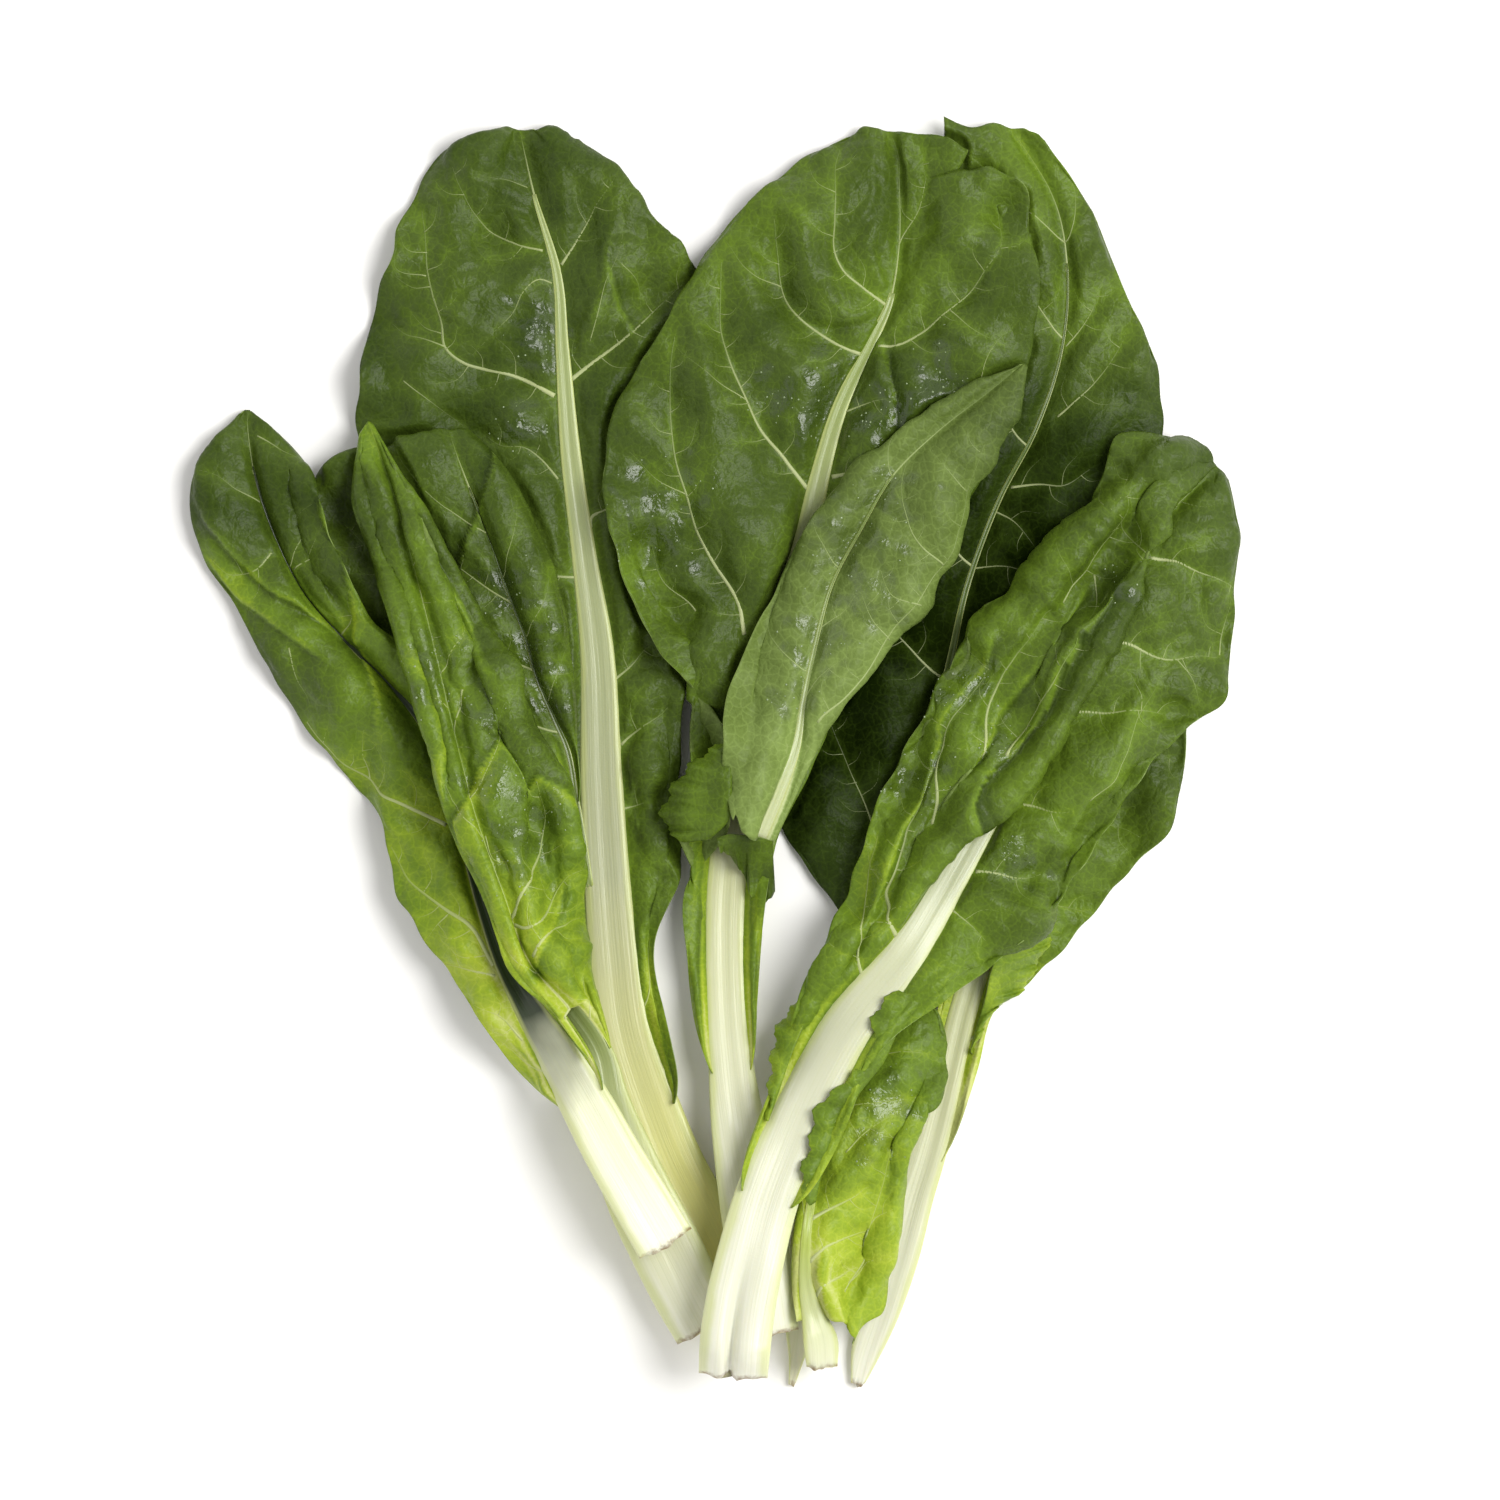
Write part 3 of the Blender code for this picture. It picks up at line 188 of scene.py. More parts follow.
# Streaks beside the rib, drawn out along it: how much closer they are across it, the blade's
# length in their measure, their length, the share of the blade where they end and where they
# are full, how far they reach, and how pale they are at least and at most
STREAK_SQUEEZE = 5.0
STREAK_SPAN = 60.0
STREAK_LENGTH = 16.0
STREAK_FADE = (0.42, 0.04)
STREAK_REACH = 6.0
STREAK_LEAST = 0.1
STREAK_MOST = 0.5

# Painted light beside a fold: how pale the painted highlight along its edge is, how far beside
# the line, how wide, then how dark the painted shade under the edge is for each millimetre of
# rise and how far that reaches
FOLD_PAINTED_HIGHLIGHT = 0.16
FOLD_HIGHLIGHT_AT = 0.6
FOLD_HIGHLIGHT_WIDTH = 0.9
FOLD_PAINTED_SHADE = 0.08
FOLD_PAINTED_SHADE_REACH = 3.0

# Wet spots: how uneven their outline is and over what length, how wet they get, and the share
# of the radius where they are so. Then how far the paler tissue beside a vein reaches.
WET_UNEVEN = 0.45
WET_LENGTH = 9.0
WET_MOST = 0.8
WET_FULL = 0.5
VEIN_PALE_REACH = 2.6

# Flaps: arch and wave across them for a curl of 1, paces of the two waves along them, the
# second one's share, the swing of their edge, and the pace and share of its second wave
FLAP_ARCH = 0.9
FLAP_WAVE = 0.8
FLAP_PACE = 0.62
FLAP_SECOND_PACE = 1.27
FLAP_SECOND = 0.5
FLAP_SWING = 0.55
FLAP_SWING_PACE = 2.1
FLAP_SWING_SECOND = 0.4

# Veins: the width from which a vein parts the pillows and has side veins, the number of points
# and the bend of one given by shares, how much a drawn one prefers high points, and the
# spacing of its points
MAJOR_VEIN = 1.0
SHARE_POINTS = 12
SHARE_BEND = 1.4
HIGHER_DRAWS = 0.3
VEIN_STEP = 1.4

# Veins as tubes: sides, how much they taper, half the width and the height for a width of 1,
# how deep they sit, the width of the seam past the rib's end, and how a vein's colour starts:
# its fade for no width, how much less for each width, and the most that it starts with
VEIN_SIDES = 6
VEIN_TAPER = 0.8
VEIN_HALF = 0.38
VEIN_RISE = 0.13
VEIN_ROOT = 0.3
SEAM_WIDTH = 1.5
FADE_THIN = 0.62
FADE_LOSS = 0.27
FADE_MOST = 0.5

# Side veins: how far outside the half one may end, how much longer the first is and how much
# is lost along the vein, lean of the middle and reach and lean of the end, and width with its
# share of the vein's width. Then ranges of random draws: the first one's place, the distance
# to the next, how far they reach and how much they lean towards the vein's end.
BRANCH_OUTSIDE = 1.5
BRANCH_LONGER = 1.15
BRANCH_LOSS = 0.5
MIDDLE_LEAN = 0.6
END_REACH = 0.92
END_LEAN = 1.4
BRANCH_WIDTH = 0.3
BRANCH_SHARE = 0.12
BRANCH_FIRST = (4.0, 8.0)
BRANCH_APART = (5.0, 9.5)
BRANCH_REACH = (7.0, 14.0)
BRANCH_LEAN = (0.35, 0.75)

# Drops: number on a wet spot, how far round it they lie, range of radii, sides, the height
# and reach of their rings in radii, and the height of their top
DROPS_PER_SPOT = 15
DROP_SPREAD = 1.5
DROP_RADII = (0.16, 0.42)
DROP_SIDES = 8
DROP_RINGS = ((-0.1, 1.0), (0.38, 0.8))
DROP_TOP = 0.58

# Stalks: fine ridges, with the ranges of how many go round and how they drift and the half
# width at which they are full, then a slow wave on the upper side for a stalk of this half
# width, with the range of its length and where it begins and is full on the section
FLUTES = 5
FLUTE_DEPTH = 0.035
FLUTE_COUNTS = (5.0, 19.0)
FLUTE_DRIFTS = (0.004, 0.012)
FLUTED_WIDTH = 8.0
STALK_WAVE = 0.25
WAVE_WIDTH = 12.0
STALK_WAVE_LENGTHS = (14.0, 22.0)
UPPER_SIDE = (-0.25, 0.0)

# Room kept below the next leaf, how far a stalk may give way for it, and the room below a stalk
STALK_CLEARANCE = 0.2
STALK_GIVE = 0.4
FLOOR_GAP = 0.02

# Cut ends: how far they bulge, size and pace of the waves in the cut, and how much flatter the
# end is. The stalk whose lower end is out of sight has no cut.
CUT_BULGE = 0.9
CUT_WAVE = 0.5
CUT_PACE = 4.0
CUT_RIPPLE = 0.3
RIPPLE_PACE = 11.0
CUT_FLATTER = 0.07
UNCUT_STALK = "left_back"

# The front stalk's groove at its cut end: place and width in half widths, where along the
# stalk it ends and where it is full, and its depth. Then the notch in the cut.
GROOVED_STALK = "right_front"
GROOVE_AT = -0.12
GROOVE_WIDTH = 0.16
GROOVE_REACH = (52.0, 4.0)
GROOVE_DEPTH = 5.5
NOTCH_WIDTH = 0.12
NOTCH_DEPTH = 3.4

# Light and colour, with the soft light's level at two heights of the sky, and the camera. A
# length is in metres, but the middle of the photograph is in the tables' millimetres.
LIGHTNESS = 1.3
TONE_RANGE = 1.4
FLOOR_COLOUR = (0.96, 0.945, 0.92, 1.0)
FLOOR_SIZE = 8.0
WORLD_LIGHT = 0.88
WORLD_LEVELS = ((0.62, 1.0), (0.93, 0.16))
KEY_POWER = 32.5
KEY_SIZE = 1.3
KEY_PLACE = (1.1, 0.25, 1.75)
CAMERA_HEIGHT = 4.0
LEAF_LEVEL = 0.015
PHOTO_WIDTH = 0.54
PHOTO_CENTRE = (12.6, 0.7)

# Veins drawn on each leaf: width where it leaves the rib, then its points on the left and
# right halves. Three numbers in place of points are the share of the rib where the vein
# starts, the share of the margin where it ends, and how near the margin it reaches.
VEINS = {
    "back_left": (
        [(1.3, [(-62.2, 181.3), (-70.9, 182.8), (-79.2, 186.7), (-86.4, 192.9), (-90.6, 201.2),
               (-93.7, 210.5)]),
         (0.6, [(-67.8, 203.2), (-74, 205.8), (-86.4, 206.8)]),
         (0.9, [(-58.5, 169.1), (-62.7, 170.7), (-68.9, 165), (-73, 157.8), (-79.2, 151.6),
               (-88.5, 142.3)]),
         (2.6, [(-57.5, 127.8), (-64.7, 131.9), (-74, 135.5), (-82.3, 137.6), (-90.6, 140.2),
               (-96.8, 146.4), (-97.3, 153.6), (-100.9, 165), (-104, 173.3), (-105, 185.7),
               (-107.1, 196)]),
         (0.9, [(-96.8, 146.4), (-105, 148.5), (-111.2, 150), (-116.9, 154.7)]),
         (0.8, [(-104, 171.2), (-111.2, 173.3), (-116.4, 177.9)]),
         (1.3, [(-56.5, 98.9), (-63.7, 106.1), (-68.9, 109.2), (-77.1, 110.7), (-83.3, 114.4)]),
         (0.8, [(-111.2, 135), (-101.9, 127.8), (-96.8, 121.6), (-91.6, 117.5)]),
         (1.6, [(-49.3, 63), (-58.7, 63.7), (-70, 68), (-84, 80)]), (1.6, 0.27, 0.38, 0.8),
         (1.4, 0.14, 0.22, 0.8)],
        [(1.6, [(-56, 175.8), (-51.3, 182.6), (-46.1, 190.8), (-41, 199.1), (-37.9, 204.8)]),
         (2.4, [(-52.3, 134), (-45.1, 139.2), (-35.8, 146.4), (-26.5, 154.7), (-18.2, 162.9),
               (-11, 169.1)]),
         (0.6, [(-45.1, 148.5), (-38.9, 167.1), (-34.8, 181.5), (-35.8, 200.1)]),
         (0.5, [(-33.7, 175.3), (-27.5, 169.1), (-26.5, 158.8)]),
         (2.0, [(-47.2, 80.3), (-44.1, 84.4), (-40.5, 87), (-30, 93), (-18, 104)]),
         (1.6, [(-37.4, 25.6), (-31, 31), (-23.8, 38.5)]),
         (1.6, [(-34.2, 2.9), (-27, 8), (-17.3, 16.6)]),
         (1.4, [(-33.5, -20.2), (-29, -19), (-23.8, -18)]), (1.2, 0.1, 0.17, 0.7)],
    ),
    "back_right": (
        [(1.2, [(57.6, -28), (49, -8), (41.4, 9.7)]), (1.5, 0.32, 0.46, 0.85), (1.5, 0.46, 0.6, 0.85),
         (1.3, 0.62, 0.74, 0.85), (1.1, 0.75, 0.88, 0.85), (0.9, 0.86, 0.95, 0.8)],
        [(1.5, [(106.2, 95.8), (118, 96), (125, 95.8), (134.7, 101.6)]),
         (1.1, [(97.6, 88.6), (106.7, 83.3), (115.4, 74.6)]),
         (1.0, [(93.2, 66), (104.8, 66.9), (118, 62)]), (1.5, 0.2, 0.36, 0.85),
         (1.2, [(123.8, 121), (133, 129), (142, 140), (147, 152)]),
         (1.0, [(127, 146), (134, 155), (138, 168)]), (0.8, 0.86, 0.95, 0.8)],
    ),
    "right_under": (
        [(1.2, 0.3, 0.42, 0.8), (1.1, 0.52, 0.64, 0.8), (0.9, 0.7, 0.82, 0.8)],
        [(1.6, 0.2, 0.26, 0.85), (1.6, 0.33, 0.38, 0.9), (1.5, 0.46, 0.52, 0.9), (1.2, 0.6, 0.68, 0.85),
         (1.0, 0.75, 0.84, 0.85)],
    ),
    "left_back": (
        [(1.4, 0.2, 0.4, 0.85), (1.3, 0.4, 0.62, 0.85), (1.1, 0.6, 0.82, 0.85), (0.9, 0.76, 0.92, 0.8)],
        [(1.0, 0.3, 0.42, 0.8), (0.9, 0.5, 0.62, 0.8), (0.8, 0.66, 0.8, 0.8)],
    ),
    "left_inner": (
        [(0.9, 0.15, 0.24, 0.9), (0.9, 0.36, 0.48, 0.9), (0.8, 0.55, 0.66, 0.9)],
        [(2.6, [(-78.3, -62), (-70.9, -53.4), (-65.4, -45.6), (-62.3, -36.2), (-61.5, -24.5),
               (-63, -10)]),
         (2.4, [(-77.1, -62.7), (-67.8, -63.1), (-60, -58.1), (-55.3, -47.1), (-49, -41.7)]),
         (2.2, [(-65.4, -72.9), (-58.4, -63.5), (-53.7, -62), (-47.5, -60)]),
         (1.0, [(-81.8, -30), (-78.7, -38.5), (-69.3, -39.3)]),
         (1.1, [(-108.8, 57), (-111, 42), (-111.8, 27.7)]),
         (1.4, [(-90.6, 22.6), (-95.6, 5.5), (-98.7, -8.7), (-93.6, -18.8)]), (0.9, 0.42, 0.56, 0.8),
         (0.8, 0.6, 0.74, 0.8), (0.7, 0.76, 0.88, 0.8), (1.0, 0.05, 0.12, 0.8)],
    ),
    "left_outer": (
        [(0.9, [(-164.3, 90.3), (-172.4, 93.4), (-179.5, 99.4), (-185.5, 100.4)]),
         (1.2, [(-160, 72), (-166, 66), (-174, 64), (-182, 70)]),
         (2.4, [(-97, -26), (-110, -19.4), (-125, -10.8), (-133.6, -4.3), (-146.5, 10.8)]),
         (0.7, [(-146.5, 10.8), (-133.6, -4.3), (-125, -10.8), (-110, -19.4), (-97, -26)]),
         (1.0, [(-125, -10.8), (-128, -2), (-126, 8)]), (0.9, [(-152, 38), (-150, 28), (-146, 18)]),
         (3.2, [(-79.6, -76.7), (-86, -64.8), (-94.7, -58.3), (-107.6, -47.5), (-116.3, -34.6)]),
         (1.1, [(-94.7, -58.3), (-100, -62), (-103, -68)]),
         (1.8, [(-79, -80), (-88, -78.8), (-101, -78.8)]),
         (1.4, [(-69, -103.7), (-77.4, -95), (-86, -90.7)]),
         (1.2, [(-60, -116), (-68, -112), (-77, -104)])],
        [(0.9, [(-165.3, 113.6), (-155.2, 107.5), (-149.2, 103.5)]),
         (0.9, [(-152, 66), (-144, 72), (-141, 84)]), (1.1, [(-137, 40), (-131, 48), (-130, 60)]),
         (0.8, 0.78, 0.86, 0.8)],
    ),
    "centre": (
        [(1.8, [(61.6, 161.5), (53.6, 167.3), (46.2, 173.6), (42.9, 181), (42, 191.6), (43.1, 205.3),
               (45.2, 217)]),
         (2.0, [(52.1, 143), (45.2, 146.7), (36.7, 151.5), (28.3, 158.9), (24.6, 167.3), (22.8, 178.9),
               (22.5, 191.6)]),
         (2.4, [(33, 95), (26.2, 103.9), (17.7, 114.5), (11.4, 127.2), (6.1, 137.7), (2.4, 148.3),
               (1.4, 159.9), (3, 174.7)]),
         (2.4, [(11, 42), (4, 61.9), (-5.5, 76.5), (-10.8, 93.4), (-15, 110.3), (-16.1, 127.2),
               (-15.5, 140.9), (-13.9, 149.4)]),
         (0.8, [(11.4, 127.2), (0, 133), (-14, 146)]), (0.8, [(24.6, 167.3), (14, 172), (5, 182)]),
         (0.8, [(-10.8, 93.4), (-22, 98), (-30, 108)]), (1.2, [(-8, 50), (-17.7, 62), (-24, 74)]),
         (1.0, [(3, 10), (-8, 22), (-14, 30)])],
        [(2.6, [(42, 99.2), (48.4, 100.3), (55.8, 99.7), (70, 104)]),
         (1.2, [(47.3, 123), (55.8, 125.1), (65.3, 127.2)]),
         (1.6, [(58.9, 146.7), (65.3, 146.2), (73.7, 149.9), (85.3, 158.9), (95.9, 170.5),
               (102.2, 182.1), (102.7, 195.8)]),
         (1.3, [(65, 171.5), (66.3, 183.1), (73.7, 195.8), (75.8, 206.4), (74.8, 216)]),
         (0.9, [(66.3, 183.1), (60, 191), (57, 201)]),
         (0.8, [(94.8, 130.3), (99, 145.1), (106.4, 154.6)]),
         (0.7, [(85.3, 158.9), (96, 150), (104, 146)]), (1.2, 0.3, 0.36, 0.8), (1.1, 0.2, 0.24, 0.8)],
    ),
    "small_right": (
        [(0.8, 0.3, 0.4, 0.8)],
        [(2.4, [(34.7, -167.2), (44.8, -162.4), (55.6, -157)]),
         (2.4, [(31.7, -182.7), (43.6, -174.9), (53.2, -170.2)]),
         (2.4, [(31.1, -197), (40.1, -190.5), (49.6, -185.7)]),
         (1.1, [(47, -144), (55.6, -135), (66.3, -128.2)]),
         (1.2, [(47.2, -194), (54.4, -174.9), (60.3, -153.5), (63.9, -138), (71.5, -132.4)]),
         (1.2, [(55.6, -170.2), (60, -166), (65.7, -163.6)]),
         (1.2, [(48.4, -191), (58, -183), (65.3, -175.6)]), (0.8, 0.62, 0.72, 0.7),
         (0.8, 0.78, 0.86, 0.7)],
    ),
    "right_front": (
        [(2.0, [(104.7, -1.9), (112.1, 11.9), (124.9, 25.7), (134.1, 38.5)]),
         (1.2, [(124.9, 54.1), (135, 64.2), (140.5, 74.4), (145.1, 82.6), (147, 91.8), (147.9, 101)]),
         (1.2, [(136.9, 63.3), (136, 56.9), (136.9, 45.9)]),
         (2.0, [(96, -2), (98, 12), (105, 28), (112, 38), (120, 52)]),
         (2.2, [(78, -26), (80, -8), (84, 8), (92, 22), (98, 34)]),
         (2.6, [(67, -68), (62.5, -60), (64, -46), (68, -32), (72, -20), (78, -4)]),
         (2.0, [(57, -84), (52, -68), (52.5, -56), (55, -44), (59, -30)]), (1.0, 0.8, 0.88, 0.8)],
        [(2.2, [(156.2, 70.2), (166.3, 67.9), (176.4, 63.3), (187, 59.2)]),
         (2.2, [(141.9, 40.4), (151.6, 38.1), (165.3, 33.9), (173.6, 34.4), (181, 33.9)]),
         (1.0, [(181.9, 34.9), (183.7, 45.9), (186.4, 55.1)]),
         (2.2, [(122.6, 15.1), (137.8, 13.7), (151.6, 15.1), (161.7, 13.3)]),
         (2.4, [(106, -18.5), (117, -20), (129, -21)]), (2.2, [(94, -42.6), (105, -45), (118, -44)]),
         (1.2, [(85, -57), (91, -62), (97, -67)]),
         (0.9, [(133.2, -16.6), (147, 4.6), (152.5, 15.1), (160.8, 30.3), (166.3, 33.9)]),
         (0.8, [(152.5, 15.1), (151.5, 23), (149, 29)]),
         (1.1, [(158.9, 83.5), (168.1, 90.9), (178, 100)]),
         (0.7, [(165.3, 33.9), (172, 26), (175, 17)])],
    ),
    "centre_top": (
        [(0.9, 0.3, 0.42, 0.8), (0.8, 0.5, 0.62, 0.8), (0.7, 0.68, 0.8, 0.8)],
        [(1.2, [(81.6, 67.9), (73.9, 74.6), (68.6, 83.3), (67.2, 93.9), (70.1, 105.5)]),
         (1.1, [(72.5, 53.9), (63.3, 56.3), (59.5, 65)]), (1.0, [(62.4, 40.4), (56.6, 47.6), (53, 57)]),
         (0.8, [(90.8, 93.4), (83.6, 100.7), (77.8, 108.4)]), (1.0, [(32, 20), (38, 27), (46, 33)]),
         (1.0, [(38, 44), (46, 50), (50, 56)]),
         (1.5, [(37, 11), (45, 18.5), (53, 28.5), (61.4, 41.4), (71.3, 54.9), (80.6, 67.9),
               (89.8, 89.1), (96.6, 111.2)])],
    ),
}

# Creases pressed into a blade: depth and width, then points. A negative depth is a ridge.
CREASES = {
    "back_left": [
        (2.6, 2.6, [(-80, 190), (-74, 197), (-66, 193), (-63, 187)]),
        (-2.6, 3.6, [(-46, 150), (-40, 165), (-36, 180), (-31, 183), (-26, 178)]),
        (-2.6, 3.4, [(-100, 163), (-92, 156), (-86, 151)]),
        (1.4, 2.4, [(-45, 112), (-40, 100), (-38, 88)]),
        (-1.2, 2.0, [(-24, -1), (-24, -20), (-24, -38)]),
    ],
    "centre": [
        (2.6, 1.7, [(36.7, 153.6), (43.1, 152), (51.5, 153.6), (58.9, 157.3)]),
        (2.6, 1.6, [(62.6, 147.2), (62.6, 137.7), (65.3, 128.2), (66.3, 113.5)]),
        (2.0, 3.0, [(56.8, 185.3), (60, 176.8), (62.6, 165.2)]),
        (-1.8, 3.0, [(31, 192), (30, 178), (31, 166), (38, 158)]),
        (2.2, 2.6, [(60, 200), (56, 193), (50, 186), (45, 183)]),
        (1.2, 3.4, [(-17.7, 52), (-10.6, 39.6), (-3.5, 25.5)]),
    ],
    "right_front": [
        (-1.8, 2.2, [(157.7, 28.7), (147.7, 12.5), (137.7, -7.5), (130, -21), (125, -32.6),
              (117.6, -45), (112.6, -59), (105, -66)]),
        (2.6, 2.6, [(158.9, 83.5), (168.1, 90.9), (178, 100)]),
        (2.2, 1.6, [(101, -6), (106, 4), (114, 16), (124, 30), (131, 44)]),
        (-1.8, 2.0, [(112, 12), (125, 26), (134, 39), (140, 48), (148, 59), (150, 68)]),
        (2.0, 1.8, [(88, 22), (96, 34), (106, 42), (114, 54), (124, 62)]),
    ],
    "back_right": [(-1.2, 2.4, [(91, 222), (106, 209.5), (112, 199)])],
    "left_inner": [
        (-2.0, 2.4, [(-128, 112), (-118, 94), (-106, 72), (-96, 48), (-84, 22)]),
        (2.2, 2.0, [(-106, 54), (-100, 40), (-92, 20), (-88, 0), (-90, -14)]),
        (2.0, 1.8, [(-78, 4), (-82, -8), (-92, -20)]), (2.6, 1.8, [(-80, -30), (-74, -44), (-72, -58)]),
        (1.8, 1.8, [(-66, -20), (-68, -34), (-64, -46)]),
        (-1.8, 2.0, [(-73, -14), (-71, -26), (-69, -38)]),
        (1.8, 1.6, [(-58, -24), (-56, -36), (-58, -50)]),
    ],
    "left_outer": [
        (2.4, 2.2, [(-146, 95), (-141, 72), (-134, 52)]),
        (-2.4, 3.4, [(-169, 121), (-167, 105), (-161, 80), (-148, 53)]),
        (-1.8, 2.4, [(-146.5, 10.8), (-133.6, -4.3), (-125, -10.8), (-110, -19.4), (-97, -26)]),
        (-1.4, 2.4, [(-116.3, -34.6), (-107.6, -47.5), (-94.7, -58.3), (-86, -64.8)]),
        (1.6, 3.0, [(-140, 14), (-128, 2), (-118, -4)]),
    ],
    "small_right": [(-1.6, 1.8, [(47.2, -194), (54.4, -174.9), (60.3, -153.5), (63.9, -138)])],
}

# Folds that end in an edge lying over the tissue beside it, which is on the right of the line:
# how high the edge stands, how far the rise reaches, and the points of the line
FOLDS = {
    "left_outer": [
        (2.6, 7.0, [(-186.5, 90), (-176, 75), (-166, 62.6), (-146.5, 48.6), (-138, 43)]),
        (2.2, 5.0, [(-186, 72), (-174.6, 59.4), (-159.5, 47.5), (-139, 31.3)]),
        (1.8, 5.0, [(-144.4, 98), (-142, 84), (-134.6, 71), (-131.4, 58), (-129, 41), (-123.8, 21.6),
              (-121.7, 4.3)]),
    ],
    "left_inner": [
        (2.6, 9.0, [(-47, -26), (-55.8, -15), (-62.3, -7.6), (-67, -13), (-72, -4.3), (-78.5, 4.3),
              (-86, -10.8), (-92.5, -26), (-88, -36)]),
        (2.2, 6.0, [(-75, 20), (-84, 40), (-95, 62), (-108, 88)]),
        (1.8, 5.0, [(-96, -22), (-98, 0), (-104, 20), (-112, 44)]),
        (1.8, 4.0, [(-64, -84), (-62, -70), (-56, -58), (-54, -44)]),
    ],
    "left_back": [(2.4, 7.0, [(-79, 116), (-81.7, 95), (-90.4, 73.4), (-95, 60)])],
    "centre": [
        (2.0, 6.0, [(-40, 64), (-43.2, 70.5), (-49.7, 92), (-57, 109.4), (-61, 126)]),
        (1.8, 8.0, [(64, 112), (65.3, 128), (62.6, 140), (60, 150)]),
    ],
    "right_front": [
        (4.4, 8.0, [(78, -52), (88, -36), (96, -20), (102.6, -6), (117, 11), (124, 22), (133.9, 36),
              (141.5, 47.5), (148, 60)]),
        (3.0, 5.0, [(88, -14), (98.3, 2), (104, 14), (112, 26), (124.2, 43), (137, 62)]),
        (2.6, 5.0, [(60, -50), (68, -30), (76, -10), (84, 10), (94, 28), (106, 44)]),
    ],
    "back_left": [(1.6, 8.0, [(-26, 146), (-34, 160), (-38, 176), (-36, 190)])],
}

# Loose curled edges: inner and outer rail (x, y, height over what lies below), tone, curl
FLAPS = {
    "centre": [
        ([(0.5, -31, 0.3), (5, -29.5, 0.4), (10, -30, 0.4), (15.5, -30.5, 0.4), (20.5, -32, 0.3)],
         [(2, -36, 0.8), (6.4, -38.6, 2.0), (10.4, -45, 1.2), (15.4, -54.5, 2.4), (21.6, -51, 0.8)],
         0.5, 1.6),
        ([(6.8, 4.7, 0.3), (6, -5, 0.4), (6, -15, 0.4), (5, -24, 0.4), (-2, -31.5, 0.3)],
         [(6.2, 5.4, 0.5), (-8, -4, 1.6), (-16, -14, 2.0), (-19, -24, 1.6), (-12, -32.5, 0.8)],
         0.6, 2.0),
    ],
    "right_front": [
        ([(72, -88, 0.3), (66, -99, 0.4), (60, -112, 0.4), (52, -122, 0.4), (46, -132, 0.4),
          (43, -142, 0.4), (38, -152, 0.4), (36, -161, 0.3)],
         [(65, -85, 0.8), (57, -94, 1.4), (56, -108, 1.6), (46.5, -118, 1.6), (36, -128, 1.6),
          (34, -140, 1.6), (31, -151, 1.4), (33, -163, 0.8)],
         0.68, 1.8),
        ([(39, -78, 0.3), (35.5, -90, 0.4), (31, -100, 0.4), (27, -110, 0.4), (23.5, -120, 0.4),
          (19.2, -132, 0.3)],
         [(38.4, -77.6, 0.5), (32, -88, 1.4), (23.5, -97, 1.6), (20.5, -109, 1.6), (19.5, -120, 1.6),
          (18.8, -132.4, 0.5)],
         0.8, 1.8),
    ],
    "right_under": [
        ([(101, -74, 0.3), (99, -80, 0.4), (97.5, -88, 0.4), (95, -97, 0.4), (92, -108, 0.3)],
         [(122, -66, 0.8), (116, -77, 1.8), (112, -85, 1.6), (101, -93, 1.4), (92.6, -108.6, 0.6)],
         0.82, 1.8),
    ],
}

# Blades with a torn lower end, and how deep the tears go
TORN = {"centre_top": 1.8}

# Blades that don't run out along the stalk at their lower end
BROAD_BASES = ("centre_top", "small_right")

# How each leaf looks: dome height, cell height, ruffle height, and tone from base to tip,
# where 0 is the darkest green and 1 the palest yellow-green
LOOKS = {
    "back_left": (3.6, 0.75, 0.3, [0.70, 0.52, 0.43, 0.38, 0.36, 0.35]),
    "back_right": (2.6, 0.5, 0.3, [0.22, 0.02, -0.04, 0.06, 0.44, 0.50]),
    "right_under": (2.2, 0.6, 0.5, [1.24, 1.0, 0.64, 0.48, 0.40, 0.40]),
    "left_back": (2.2, 0.6, 0.3, [0.54, 0.48, 0.46, 0.42, 0.38, 0.38]),
    "left_inner": (2.8, 0.9, 0.4, [0.88, 0.78, 0.66, 0.54, 0.50, 0.50]),
    "left_outer": (2.8, 0.85, 0.3, [0.88, 0.82, 0.76, 0.57, 0.38, 0.32]),
    "centre": (3.8, 0.75, 0.25, [0.74, 0.62, 0.47, 0.42, 0.44, 0.50]),
    "small_right": (2.2, 0.8, 0.9, [1.0, 0.96, 0.88, 0.76, 0.62, 0.58]),
    "right_front": (3.2, 0.85, 0.4, [0.80, 0.66, 0.60, 0.54, 0.45, 0.38]),
    "centre_top": (1.6, 0.5, 0.2, [0.78, 0.68, 0.62, 0.56, 0.48, 0.42]),
}
